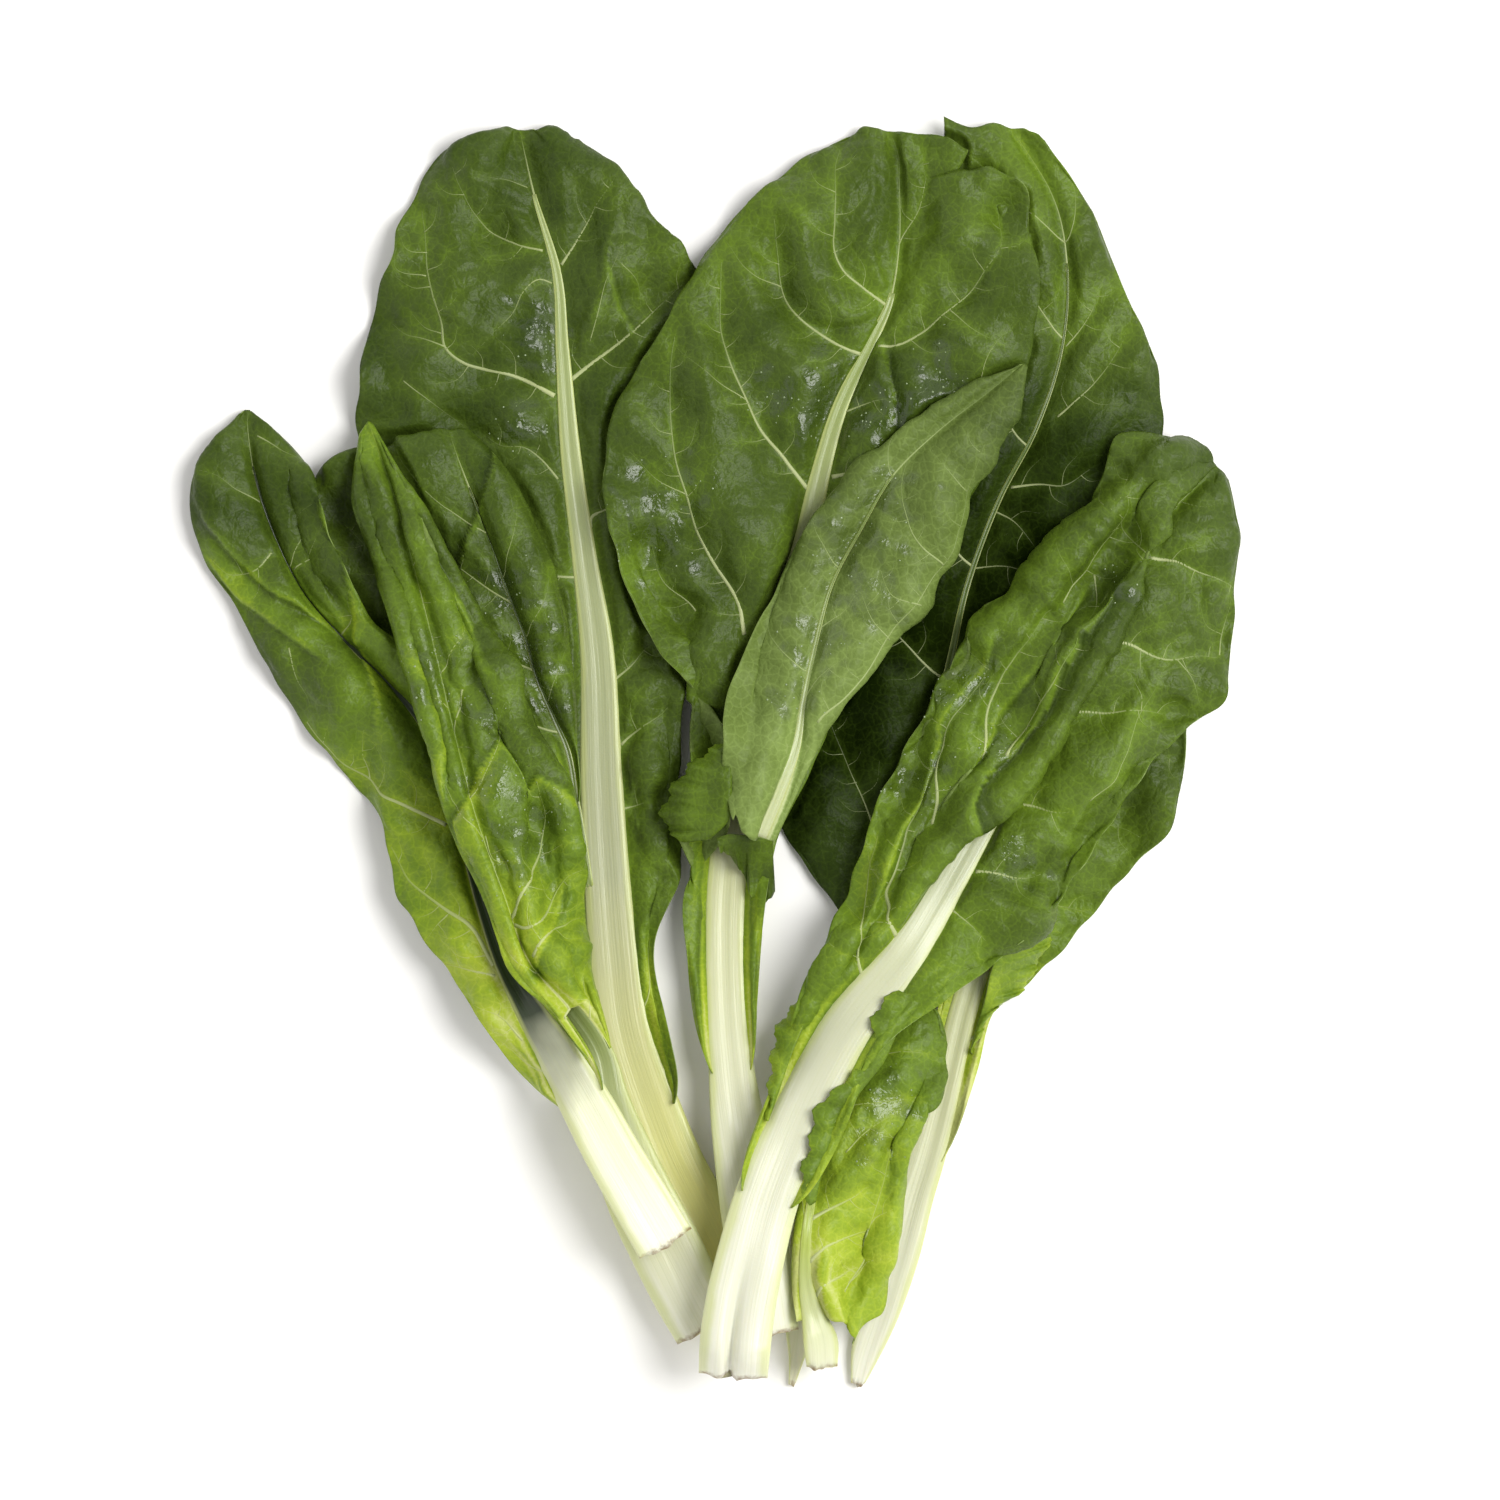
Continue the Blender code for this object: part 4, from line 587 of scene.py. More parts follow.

# Patches of a leaf that are brighter (or darker): x, y, radius, amount. Some brighter ones are
# painted sheen and painted glow where the leaf catches the light.
TONE_AND_SHEEN_PATCHES = {
    "back_left": [
        (-112, 195, 26, 0.06), (-20, 205, 20, 0.05), (-30, 180, 16, 0.1), (-60, 120, 30, -0.04),
    ],
    "back_right": [(146, 145, 34, 0.08), (110, 216, 24, 0.04)],
    "right_under": [
        (137, -52, 12, 0.05), (150, -36, 12, 0.12), (116, -74, 12, 0.2), (163, -22, 9, 0.18),
    ],
    "left_outer": [
        (-180, 72, 9, 0.34), (-170, 60, 8, 0.34), (-158, 50, 7, 0.3), (-146, 42, 6, 0.24),
        (-138, 80, 8, 0.12), (-129, 47, 9, 0.16), (-125, 22, 9, 0.14), (-92, -78, 12, 0.14),
        (-78, -98, 10, 0.16),
    ],
    "left_inner": [
        (-66, -44, 24, 0.04), (-70, -29, 10, -0.12), (-100, 40, 20, 0.06), (-122, 110, 12, 0.14),
        (-64, -79, 3, -0.7), (-84, 8, 9, -0.14), (-58, 4, 9, -0.1),
    ],
    "centre": [
        (10, 200, 24, 0.08), (26, 182, 18, 0.05), (-30, 60, 18, 0.16), (-6, -14, 14, 0.3),
        (60, 130, 26, -0.06), (2, 58, 14, -0.12),
    ],
    "right_front": [
        (120, 60, 22, 0.06), (86, 8, 14, 0.08), (95, 33, 12, 0.1), (165, 5, 20, 0.05),
        (26, -120, 12, 0.2),
    ],
    "centre_top": [(84, 106, 20, -0.09), (52, 44, 24, -0.02)],
}

# Wet spots: x, y, radius
WET = {
    "centre": [
        (40, 130, 13), (36, 122, 10), (81, 128, 11), (82, 140, 9), (54, 118, 9), (-18, 90, 14),
        (-20, 76, 12), (22, 128, 9), (66, 122, 9),
    ],
    "back_left": [(-64, 152, 9), (-60, 146, 7), (-70, 118, 8)],
    "left_inner": [
        (-102, 35, 9), (-101, 20, 8), (-81, -12, 9), (-70, -35, 12), (-60, -20, 8), (-82, 15, 7),
    ],
    "centre_top": [(48, 74, 15), (56, 56, 12), (38, 40, 12), (30, 20, 8), (62, 92, 10)],
    "right_front": [(92, 26, 10), (70, -10, 12), (80, 20, 8), (108, -40, 9), (102, 2, 6), (146, 62, 6)],
    "left_back": [(-76, 60, 9), (-66, 38, 12), (-62, 20, 8)],
    "small_right": [(62, -125, 9), (58, -140, 8)],
}


class Leaf:
    """One leaf: its petiole below the blade, then the stations of the blade."""

    def __init__(self, name, grid, wave, petiole, stations, underside_up=False):
        self.name = name
        self.rows, self.left_columns, self.right_columns = grid
        self.wave_height, self.wave_length, self.wave_start = wave
        self.petiole = np.array(petiole, float)
        self.rib = np.array([station[0] for station in stations], float)
        self.left = [station[1] for station in stations]
        self.right = [station[2] for station in stations]
        self.underside_up = underside_up


# A rib point is x, y, lift over the surface below and half width. A blade point is
# x, y, z, or just two numbers: how far outside the rib's edge, and how far above it.

BACK_LEFT = Leaf(
    "back_left", (22, 7, 7), (1.6, 46.0, 0.4),
    [(11, -205, 0, 13.2), (3, -188, 0, 13.4), (-7, -168, 0, 13.0), (-17, -148, 0, 12.4)],
    [
        ((-24, -130, 0, 11.8), [(0.6, 0), (1.2, 0), (1.8, 0.3), (2.4, 0.5)],
         [(0.8, 0), (1.6, 0.5), (2.4, 1), (3.2, 1.5)]),
        ((-33.5, -100, 0, 10.3), [(1, 0), (2, 0), (3, 0.5), (4, 1)],
         [(1.3, 0.5), (2.6, 0.5), (3.9, 1), (5.2, 1.5)]),
        ((-37, -70, 0, 9), [(2, 0), (4, 0), (6, -1), (8, -2)],
         [(1.3, 0.5), (2.7, 0), (4, 0.5), (5.4, 1)]),
        ((-38.8, -48, 0, 8.3), [(3, -1), (6, -2), (10, -3), (14, -4)],
         [(4, -1), (8, -2), (12, -2), (16.5, -1)]),
        ((-41, -10, 1, 7.6), [(-56, -9, 5), (-62, -8, 4), (-68, -6, 3), (-74, -4, 2)],
         [(-30, -8, 6), (-24.5, -7, 9), (-19, -6, 5), (-13, -6, 4)]),
        ((-42.5, 35, 2, 6.2), [(-57, 36, 8), (-70, 36, 5), (-84, 36, 4), (-98, 35, 2)],
         [(-31, 38, 7), (-25, 40, 6), (-17, 42, 5), (-9, 44, 4)]),
        ((-47.5, 73, 4, 4.5), [(-63, 76, 9), (-82, 78, 6), (-100, 78, 5), (-118, 76, 2)],
         [(-37, 76, 9), (-29, 80, 7), (-17, 84, 6), (-4, 88, 4)]),
        ((-52.3, 110, 6, 3.6), [(-70, 114, 10), (-90, 118, 8), (-110, 118, 6), (-129, 112, 2)],
         [(-38, 113, 11), (-26, 118, 9), (-12, 122, 7), (2, 126, 4)]),
        ((-55, 145, 7, 2.5), [(-72, 150, 9), (-90, 153, 10), (-108, 152, 8), (-126, 147, 3)],
         [(-40, 148, 10), (-27, 151, 9), (-13, 154, 7), (2, 157, 4)]),
        ((-57.3, 174, 7, 1.7), [(-73, 178, 8), (-89, 180, 10), (-104, 178, 10), (-119, 172, 3)],
         [(-45, 178, 9), (-34, 181, 10), (-21, 182, 7), (-9, 178, 3)]),
        ((-65, 200, 6, 0.8), [(-76, 199, 7), (-88, 199, 9), (-100, 199, 8), (-110.5, 197, 3)],
         [(-52, 201, 8), (-42, 201, 8), (-32, 199, 6), (-24, 192.5, 3)]),
        ((-68.5, 215, 4, 0), [(-76, 213, 5), (-84, 215, 7), (-92, 216, 6), (-98, 216, 2)],
         [(-58, 214, 6), (-50, 213, 7), (-43, 211, 5), (-36, 207.5, 2)]),
        ((-70.5, 224.5, 2, 0),
         [(-72.5, 224.8, 2), (-74.5, 225, 2), (-77, 225, 1.5), (-79.5, 224.8, 1)],
         [(-66, 224, 2.5), (-62.5, 224, 3), (-60, 222.5, 2.5), (-57.5, 219.5, 1.5)]),
    ],
)

BACK_RIGHT = Leaf(
    "back_right", (18, 5, 5), (1.8, 50.0, 1.0),
    [(27.8, -228, 0, 1.2), (29.5, -218, 0, 3.0), (31, -205, 0, 6), (34, -188, 0, 8),
     (39, -160, 0, 8.5), (45, -130, 0, 8.5), (51, -100, 0, 8.2)],
    [
        ((58, -72, 0, 6.6), [(1.5, -1), (3, -2), (46, -63, 2)], [(0.5, -0.5), (1, -1), (1.6, -1.5)]),
        ((65, -42, 0, 4.8), [(52, -38, 5), (38, -35, 3), (27, -33, 1.2)],
         [(71, -46, 4), (78, -47, 3), (85, -48, 2)]),
        ((73, -8, 1, 2.6), [(57, -2, 5), (37, -2, 3), (20, -5, 1.5)],
         [(80, -10, 5), (92, -12, 3), (104, -14, 2)]),
        ((83, 25, 2, 1.6), [(65, 28, 7), (44, 24, 4), (25, 18, 2)],
         [(92, 24, 7), (108, 22, 4), (124, 20, 2)]),
        ((91, 60, 3, 1.1), [(75, 64, 8), (56, 62, 5), (38, 56, 3)],
         [(106, 58, 8), (125, 56, 5), (143, 54, 2)]),
        ((103, 92, 4, 0.9), [(87, 97, 9), (71, 96, 6), (56, 92, 3)],
         [(121, 90, 9), (139, 89, 6), (156, 86, 2)]),
        ((116, 117, 5, 0.8), [(101, 124, 10), (86, 124, 7), (73, 120, 3)],
         [(132, 117, 9), (147, 117, 7), (161.5, 115, 2)]),
        ((125, 145, 5, 0.6), [(112, 151, 10), (99, 152, 7), (86, 150, 3)],
         [(137, 145, 8), (148, 145, 6), (158.5, 142, 2)]),
        ((127, 175, 5, 0.4), [(114, 180, 9), (101, 181, 7), (88, 180, 3)],
         [(133, 174, 8), (140, 174, 6), (146, 170, 2)]),
        ((122, 200, 4, 0), [(110, 204, 7), (98, 207, 5), (85, 206, 3)],
         [(125, 200, 6), (130, 200, 4), (135.5, 196, 2)]),
        ((107, 225, 2, 0), [(101, 226.5, 3), (92, 224.5, 4), (82, 229, 3)],
         [(111, 225, 3), (115, 223.5, 3), (119, 220.5, 2)]),
    ],
)

RIGHT_UNDER = Leaf(
    "right_under", (16, 4, 5), (1.2, 38.0, 0.0),
    [(51.5, -228, 0, 2.5), (54, -218, 0, 5), (59, -203, 0, 7), (66, -180, 0, 8),
     (71.5, -160, 0, 7.4)],
    [
        ((76, -146, 0, 7), [(0.2, 0), (0.4, 0), (0.6, 0)], [(0.3, 0), (0.6, 0), (0.9, 0)]),
        ((81, -128, 0, 6.2), [(0.3, 0), (0.6, 0), (1, 0)], [(0.7, 0.3), (1.5, 0.5), (2.3, 0)]),
        ((85, -112, 0, 5.4), [(0.7, 0), (1.4, 0), (2, 0)], [(1.2, 0.5), (2.5, 1), (3.8, 0)]),
        ((90, -92, 0, 5), [(1, 0), (2, -0.5), (3.5, -1)], [(1.5, 0.5), (3, 1), (4.5, 0)]),
        ((98, -68, 0, 5), [(91, -65, 5), (89, -63.5, 4), (86.5, -62, 2)],
         [(104, -73, 6), (107.5, -79, 4), (111.3, -84.5, 1.5)]),
        ((110, -40, 0, 4.6), [(104, -37, 5), (98, -33, 4), (92, -29, 2)],
         [(117, -50, 7), (124, -59, 5), (130.5, -66, 1.5)]),
        ((124, -12, 1, 4), [(116, -6, 6), (108, -1, 4), (100, 3, 2)],
         [(133, -22, 8), (142, -32, 6), (150.5, -41, 2)]),
        ((137, 14, 1.5, 3), [(129, 20, 6), (120, 26, 4), (111, 31, 2)],
         [(147, 0, 8), (157, -14, 6), (164, -27.5, 1.5)]),
        ((147, 36, 1.5, 2), [(140, 42, 5), (133, 48, 3.5), (126, 53, 2)],
         [(156, 22, 7), (163, 8, 5), (169, -6, 1.5)]),
        ((153, 52, 1, 0), [(149, 56, 3), (144, 60, 2.5), (139, 64, 1.5)],
         [(159, 38, 5), (165, 25, 3.5), (170, 12, 1.5)]),
        ((156, 60, 0.5, 0), [(155, 61, 1.5), (153.5, 62, 1.3), (152, 63, 1.2)],
         [(160, 52, 2), (164, 44, 1.5), (168, 36, 1.2)]),
    ],
)

LEFT_BACK = Leaf(
    "left_back", (14, 5, 4), (1.0, 40.0, 0.7),
    [(-46, -48, 0, 2.2), (-48, -32, 0, 1.8)],
    [
        ((-50, -18, 1, 1.3), [(-54, -20, 5), (-60, -21, 4), (-68, -22, 2)],
         [(0.5, 0), (1, 0.3), (1.5, 0.5)]),
        ((-53, 0, 2, 1.1), [(-64, -2, 7), (-77, -4, 5), (-90, -5, 2)],
         [(0.6, 0.5), (1.2, 0.8), (1.8, 0.5)]),
        ((-58, 12, 3, 1.0), [(-74, 13, 8), (-90, 14, 5), (-108, 15, 2)],
         [(-54.5, 13.5, 8), (-52, 14.5, 7), (-49.8, 15, 3)]),
        ((-64, 26, 4, 0.8), [(-84, 30, 8), (-104, 34, 5), (-125, 38, 2)],
         [(-59.5, 28, 10), (-55, 29.5, 8), (-51.2, 31, 3)]),
        ((-68, 40, 4, 0.7), [(-90, 48, 8), (-114, 56, 5), (-138, 62, 2)],
         [(-62.5, 42.5, 10), (-57.5, 45, 8), (-53.3, 47, 3)]),
        ((-74, 56, 5, 0.6), [(-96, 65, 9), (-120, 76, 6), (-145, 85, 2)],
         [(-68, 59.5, 11), (-62.5, 63, 8), (-57.5, 65, 3)]),
        ((-81, 76, 6, 0.5), [(-101, 84, 9), (-122, 94, 6), (-143, 101, 2)],
         [(-76, 79.5, 10), (-70.5, 82.5, 8), (-65.5, 84.5, 3)]),
        ((-88, 94, 6, 0.4), [(-102, 100, 8), (-117, 105, 6), (-131, 109, 2)],
         [(-84, 97, 8), (-79, 99.5, 7), (-74, 100.5, 3)]),
        ((-93, 107, 5, 0), [(-100, 110, 6), (-108, 111, 5), (-116, 110, 2)],
         [(-89.5, 108.5, 6), (-85.5, 109.5, 5), (-81, 109, 3)]),
        ((-96, 116, 3, 0), [(-98, 116.3, 3), (-100.5, 116.2, 2.5), (-103, 115.5, 2)],
         [(-93.5, 116.3, 3), (-91, 116.3, 2.5), (-88.5, 116, 2)]),
    ],
)

LEFT_INNER = Leaf(
    "left_inner", (20, 7, 7), (1.4, 36.0, 0.2),
    [(-3, -207, 0, 12), (-10, -194, 0, 12.6), (-18, -178, 0, 12.8), (-27, -160, 0, 12.2),
     (-34, -142, 0, 10.5), (-38, -126, 0, 7.5)],
    [
        ((-41.5, -108, 0.5, 4.8), [(0.2, 0), (0.4, 0), (0.6, 0), (0.8, 0)],
         [(0.6, 0.3), (1.2, 0.5), (1.8, 0.5), (2.4, 0)]),
        ((-52, -92, 1, 3.4), [(0.4, 0.3), (0.8, 0.5), (1.2, 0.5), (1.6, 0)],
         [(2.5, 2), (4.5, 1), (6.5, 3), (8.5, 1)]),
        ((-66, -76, 4, 0), [(-68, -77, 9), (-69.5, -77.5, 8), (-71, -78.5, 6), (-73, -79.5, 5)],
         [(-61, -72, 12), (-56, -69, 8), (-51, -66, 11), (-46, -64, 6)]),
        ((-76, -50, 8, 0), [(-77.5, -51, 12), (-79, -52, 10), (-80.3, -53.5, 8), (-82, -55, 6)],
         [(-68, -46, 15), (-60, -43, 10), (-53, -40, 13), (-46.5, -38, 6)]),
        ((-86, -22, 11, 0), [(-88, -22.5, 15), (-90.5, -23, 13), (-93, -24, 10), (-96, -25, 8)],
         [(-77, -18, 17), (-67, -15, 11), (-58, -13, 14), (-51, -15, 7)]),
        ((-93, 5, 12, 0), [(-95.5, 4, 16), (-98, 3, 12), (-100.5, 1.5, 14), (-103, 0, 10)],
         [(-86, 8, 17), (-78, 10, 12), (-70, 10, 14), (-61.5, 6, 8)]),
        ((-100, 34, 12, 0), [(-103, 32, 15), (-106, 30, 11), (-108.5, 28, 13), (-111, 26, 9)],
         [(-94, 36, 16), (-88, 37, 11), (-81, 37, 13), (-75, 35, 8)]),
        ((-107, 62, 10, 0), [(-110, 59.5, 13), (-113, 57, 10), (-115.5, 54, 12), (-118, 51, 9)],
         [(-102.5, 63, 14), (-98, 63.5, 11), (-93.5, 63, 12), (-90, 60, 8)]),
        ((-114, 88, 7, 0), [(-118, 85.5, 10), (-121.5, 83, 8), (-124.5, 80.5, 9), (-127, 78, 7)],
         [(-111, 87.5, 11), (-108, 87, 9), (-105.5, 86, 10), (-103, 83, 7)]),
        ((-120, 106, 4, 0), [(-123, 103, 6), (-126, 100, 5), (-129, 97, 6), (-131, 94, 5)],
         [(-118, 105, 7), (-116.5, 104, 6), (-115, 103, 6), (-113.5, 101, 5)]),
        ((-125, 119, 2, 0),
         [(-125.5, 118.5, 3), (-126.2, 117.5, 3), (-127, 116, 3), (-128, 114.5, 3)],
         [(-124.3, 118.8, 3), (-123.6, 118.3, 3), (-123, 117.5, 3), (-122.3, 116.5, 3)]),
    ],
)

LEFT_OUTER = Leaf(
    "left_outer", (22, 6, 6), (1.2, 42.0, 2.0),
    [(-17.5, -176.5, 0, 10.6), (-26, -162, 0, 10.4), (-35.5, -146, 0, 10)],
    [
        ((-47, -125, 0, 9.2), [(0.7, 0), (1.4, 0), (2, 0)], [(0.7, 0), (1.4, 0), (2, 0), (2.6, 0)]),
        ((-57, -108, 0, 7.6), [(2.5, 0.5), (5, 0.5), (7.5, -1)],
         [(0.7, 0.5), (1.4, 0.5), (2, 0), (2.6, 0)]),
        ((-67, -92, 1, 5.4), [(3.5, 1), (7, 1), (11, -1.5)], [(1, 1), (2, 1), (3, 0.5), (4, 0)]),
        ((-76, -76, 2, 3.4), [(-82, -80, 7), (-87, -82.5, 6), (-93, -83, 2)],
         [(-73, -74, 8), (-71, -71, 7), (-69, -69, 5), (-67, -66, 3)]),
        ((-83, -57, 3, 2.6), [(-89, -59.5, 8), (-96, -63.5, 7), (-104, -68, 2)],
         [(-80, -54, 8), (-78.5, -50, 8), (-77, -46, 6), (-75.5, -42, 4)]),
        ((-89, -36, 3, 2.2), [(-96, -40, 8), (-105, -44.5, 7), (-115.5, -48, 2)],
         [(-86, -33, 7), (-84, -29, 7), (-82, -25, 6), (-80, -21, 4)]),
        ((-95, -14, 3, 2), [(-103, -18, 9), (-111, -22.5, 8), (-119.3, -27, 2)],
         [(-91.5, -11.5, 7), (-89, -9, 7), (-87, -6, 6), (-85, -3, 4)]),
        ((-104, 8, 4, 1.8), [(-113, 3, 10), (-122, -3, 9), (-132.5, -9, 2)],
         [(-100.5, 11, 8), (-98.5, 14, 8), (-97, 17, 7), (-96, 20, 4)]),
        ((-118, 25, 4, 1.2), [(-127, 19, 11), (-137, 13, 9), (-147, 8, 2)],
         [(-114.5, 28.5, 10), (-112, 31, 13), (-110, 33, 14), (-108.5, 35, 12)]),
        ((-133, 40, 4, 1.0), [(-141, 36, 10), (-151, 32.5, 8), (-161, 30, 2)],
         [(-130.5, 43, 9), (-128, 45.5, 12), (-126, 47, 15), (-123.5, 48, 14)]),
        ((-148, 57, 5, 0.8), [(-156, 55.5, 9), (-165, 54, 7), (-172.5, 52, 2)],
         [(-144, 60, 8), (-140, 61.5, 8), (-136.5, 62, 14), (-130, 60, 15)]),
        ((-160, 81, 5, 0.6), [(-168, 80, 9), (-177, 77, 7), (-186, 73, 3)],
         [(-154.5, 83, 9), (-149, 84, 7), (-144, 83, 13), (-138.5, 78, 14)]),
        ((-166.5, 102, 4, 0.4), [(-173, 103, 7), (-181, 102, 7), (-188.5, 98, 3)],
         [(-160, 102.5, 8), (-153.5, 102, 7), (-148, 100, 9), (-144, 96, 8)]),
        ((-168.5, 115, 3, 0), [(-172.5, 115, 4), (-177, 113.5, 4), (-182, 110.5, 2)],
         [(-163, 113.5, 5), (-158, 111, 5), (-154, 109.5, 4), (-150.5, 108, 3)]),
        ((-169, 123.5, 1.5, 0), [(-170, 123.3, 2), (-171.5, 122, 2), (-173, 120, 1.5)],
         [(-168.2, 123.3, 2), (-167.4, 122.6, 2), (-166.5, 121.8, 2), (-165.5, 121, 1.5)]),
    ],
)

CENTRE = Leaf(
    "centre", (26, 8, 7), (1.6, 48.0, 0.5),
    [(19.5, -209, 0, 10.5), (18, -198, 0, 11.2), (15, -175, 0, 11.4), (11, -150, 0, 10.6),
     (7.5, -128, 0, 9.2)],
    [
        ((6, -115, 0, 8.2), [(0.4, 0.2), (0.8, 0.4), (1.2, 0.4), (1.5, 0.2)],
         [(0.3, 0.2), (0.6, 0.4), (0.9, 0.4), (1.2, 0.2)]),
        ((4.3, -95, 0, 7.4), [(1, 1), (2, 1.5), (3, 1), (4, 0)],
         [(0.7, 1), (1.4, 1.5), (2.1, 1), (2.8, 0)]),
        ((3.5, -75, 0, 7.2), [(1.4, 1), (2.8, 1.5), (4.2, 1), (5.4, 0)],
         [(1.2, 1), (2.4, 1.5), (3.5, 1), (4.6, 0)]),
        ((4, -50, 0, 7.2), [(1.7, 1), (3.4, 2), (5, 3), (6.6, 3)],
         [(1.8, 1), (3.5, 2), (5.1, 2), (6.6, 1.5)]),
        ((6.5, -28, 1, 7), [(-8, -27, 9), (-19, -26, 13), (-8, -27, 22), (4, -29, 24)],
         [(17, -28, 7), (19, -28, 6), (21, -29, 5), (23, -30, 4)]),
        ((12, -2, 2, 6.6), [(-4, -4, 10), (-14.5, -6, 14), (-7, -5, 20), (5, 2, 22)],
         [(22, -4, 9), (26, -6, 8), (30, -8, 6), (33, -10, 4)]),
        ((22, 40, 4, 6), [(8, 41, 14), (-2, 40, 9), (-10.5, 40, 4), (-22.5, 40, 9)],
         [(33, 36, 11), (38, 33, 10), (44, 30, 7), (50, 27, 4)]),
        ((33, 76, 5, 4.8), [(18, 74, 16), (-2, 71, 15), (-26, 67, 5), (-35.5, 71, 9)],
         [(45, 72, 13), (54, 68, 12), (64, 64, 9), (74, 60, 5)]),
        ((37.5, 98, 6, 3.7), [(20, 100, 14), (-2, 98, 16), (-26, 93, 8), (-40, 94, 6)],
         [(52, 95, 14), (64, 92, 13), (76, 89, 10), (88, 86, 6)]),
        ((45, 124, 7, 2.9), [(27, 130, 12), (7, 130, 16), (-16, 126, 10), (-36.5, 122, 4)],
         [(62, 121, 15), (77, 119, 14), (91, 116, 12), (104, 112, 8)]),
        ((57, 149, 7, 2.1), [(38, 157, 12), (19, 160, 15), (-2, 156, 11), (-20, 151, 4)],
         [(73, 147, 14), (87, 147, 15), (101, 146, 13), (113.5, 144, 8)]),
        ((63.5, 164, 7, 1.2), [(47, 176, 11), (30, 182, 14), (11, 181, 10), (-5, 177, 4)],
         [(78, 165, 12), (91, 166, 15), (104, 167, 13), (116.5, 166, 8)]),
        ((66.5, 185, 6, 0), [(54, 194, 9), (40, 200, 12), (26, 202, 8), (12, 198, 3)],
         [(79, 186, 10), (90, 187, 13), (102, 187, 12), (113.5, 186, 8)]),
        ((66.5, 205, 4, 0), [(58, 208, 7), (49, 212, 8), (41, 214, 6), (32, 214, 3)],
         [(75, 204, 8), (85, 205, 10), (96, 207, 9), (107, 207, 6)]),
        ((66, 216, 3, 0), [(60, 217.5, 5), (54, 218.5, 5), (48, 219.5, 4), (41, 219, 2.5)],
         [(71, 212, 6), (76, 208, 7), (81, 205, 7), (86, 203, 6)]),
        ((63, 224, 2, 0), [(60.5, 224, 3), (57, 224, 3), (53, 223, 2.5), (48, 222, 2)],
         [(67, 223.5, 4), (72, 222.5, 5), (79, 221.5, 5), (91, 217, 5)]),
    ],
)

SMALL_RIGHT = Leaf(
    "small_right", (14, 4, 7), (1.0, 30.0, 0.0),
    [(38.5, -221, 0, 5.5), (38, -212, 0, 6.2)],
    [
        ((35.5, -203, 1, 4.4), [(0.4, 0), (0.8, -0.3), (1.2, -0.6)],
         [(43, -204, 8), (45.5, -206, 6), (48, -209, 7), (50.5, -212.5, 4)]),
        ((33, -193, 5, 2.8), [(0.6, -0.6), (1.1, -1.2), (1.5, -2)],
         [(41, -193, 12), (48.5, -195, 7), (53, -199, 10), (56.5, -203, 4)]),
        ((32.5, -178, 8, 2.0), [(0.7, -1), (1.3, -2), (1.8, -3)],
         [(43, -179, 14), (53, -180, 8), (59, -184, 11), (63.5, -188, 5)]),
        ((34.5, -162, 8, 1.7), [(0.7, -1), (1.3, -2), (1.8, -3)],
         [(46.5, -163, 15), (57, -165, 9), (62.5, -168, 12), (67, -172, 6)]),
        ((38, -146, 8, 1.5), [(0.7, -1), (1.3, -2), (1.8, -3)],
         [(53, -149, 15), (61, -152, 10), (65.5, -155, 12), (69.5, -159, 7)]),
        ((43.5, -130, 7, 1.3), [(0.7, -1), (1.3, -2), (1.8, -3)],
         [(61, -133, 14), (65.5, -136, 10), (68, -141, 11), (70, -147, 8)]),
        ((52.5, -114, 6, 1.0), [(0.7, -1), (1.2, -1.5), (1.6, -2)],
         [(70, -116, 12), (73, -120, 9), (74.5, -126, 9), (72, -134, 8)]),
        ((64, -99, 5, 0), [(63.5, -98, 5), (63, -97.2, 4.5), (62.5, -96.5, 4)],
         [(76.5, -102, 9), (79.5, -106, 7), (82, -112, 7), (83.5, -121, 6)]),
        ((73, -89.5, 4, 0), [(72.6, -88.9, 4.5), (72.3, -88.4, 3.9), (72, -88, 3.4)],
         [(75.5, -90, 5), (78, -92.5, 5), (80.5, -96.5, 4.5), (82.5, -101, 4)]),
    ],
)

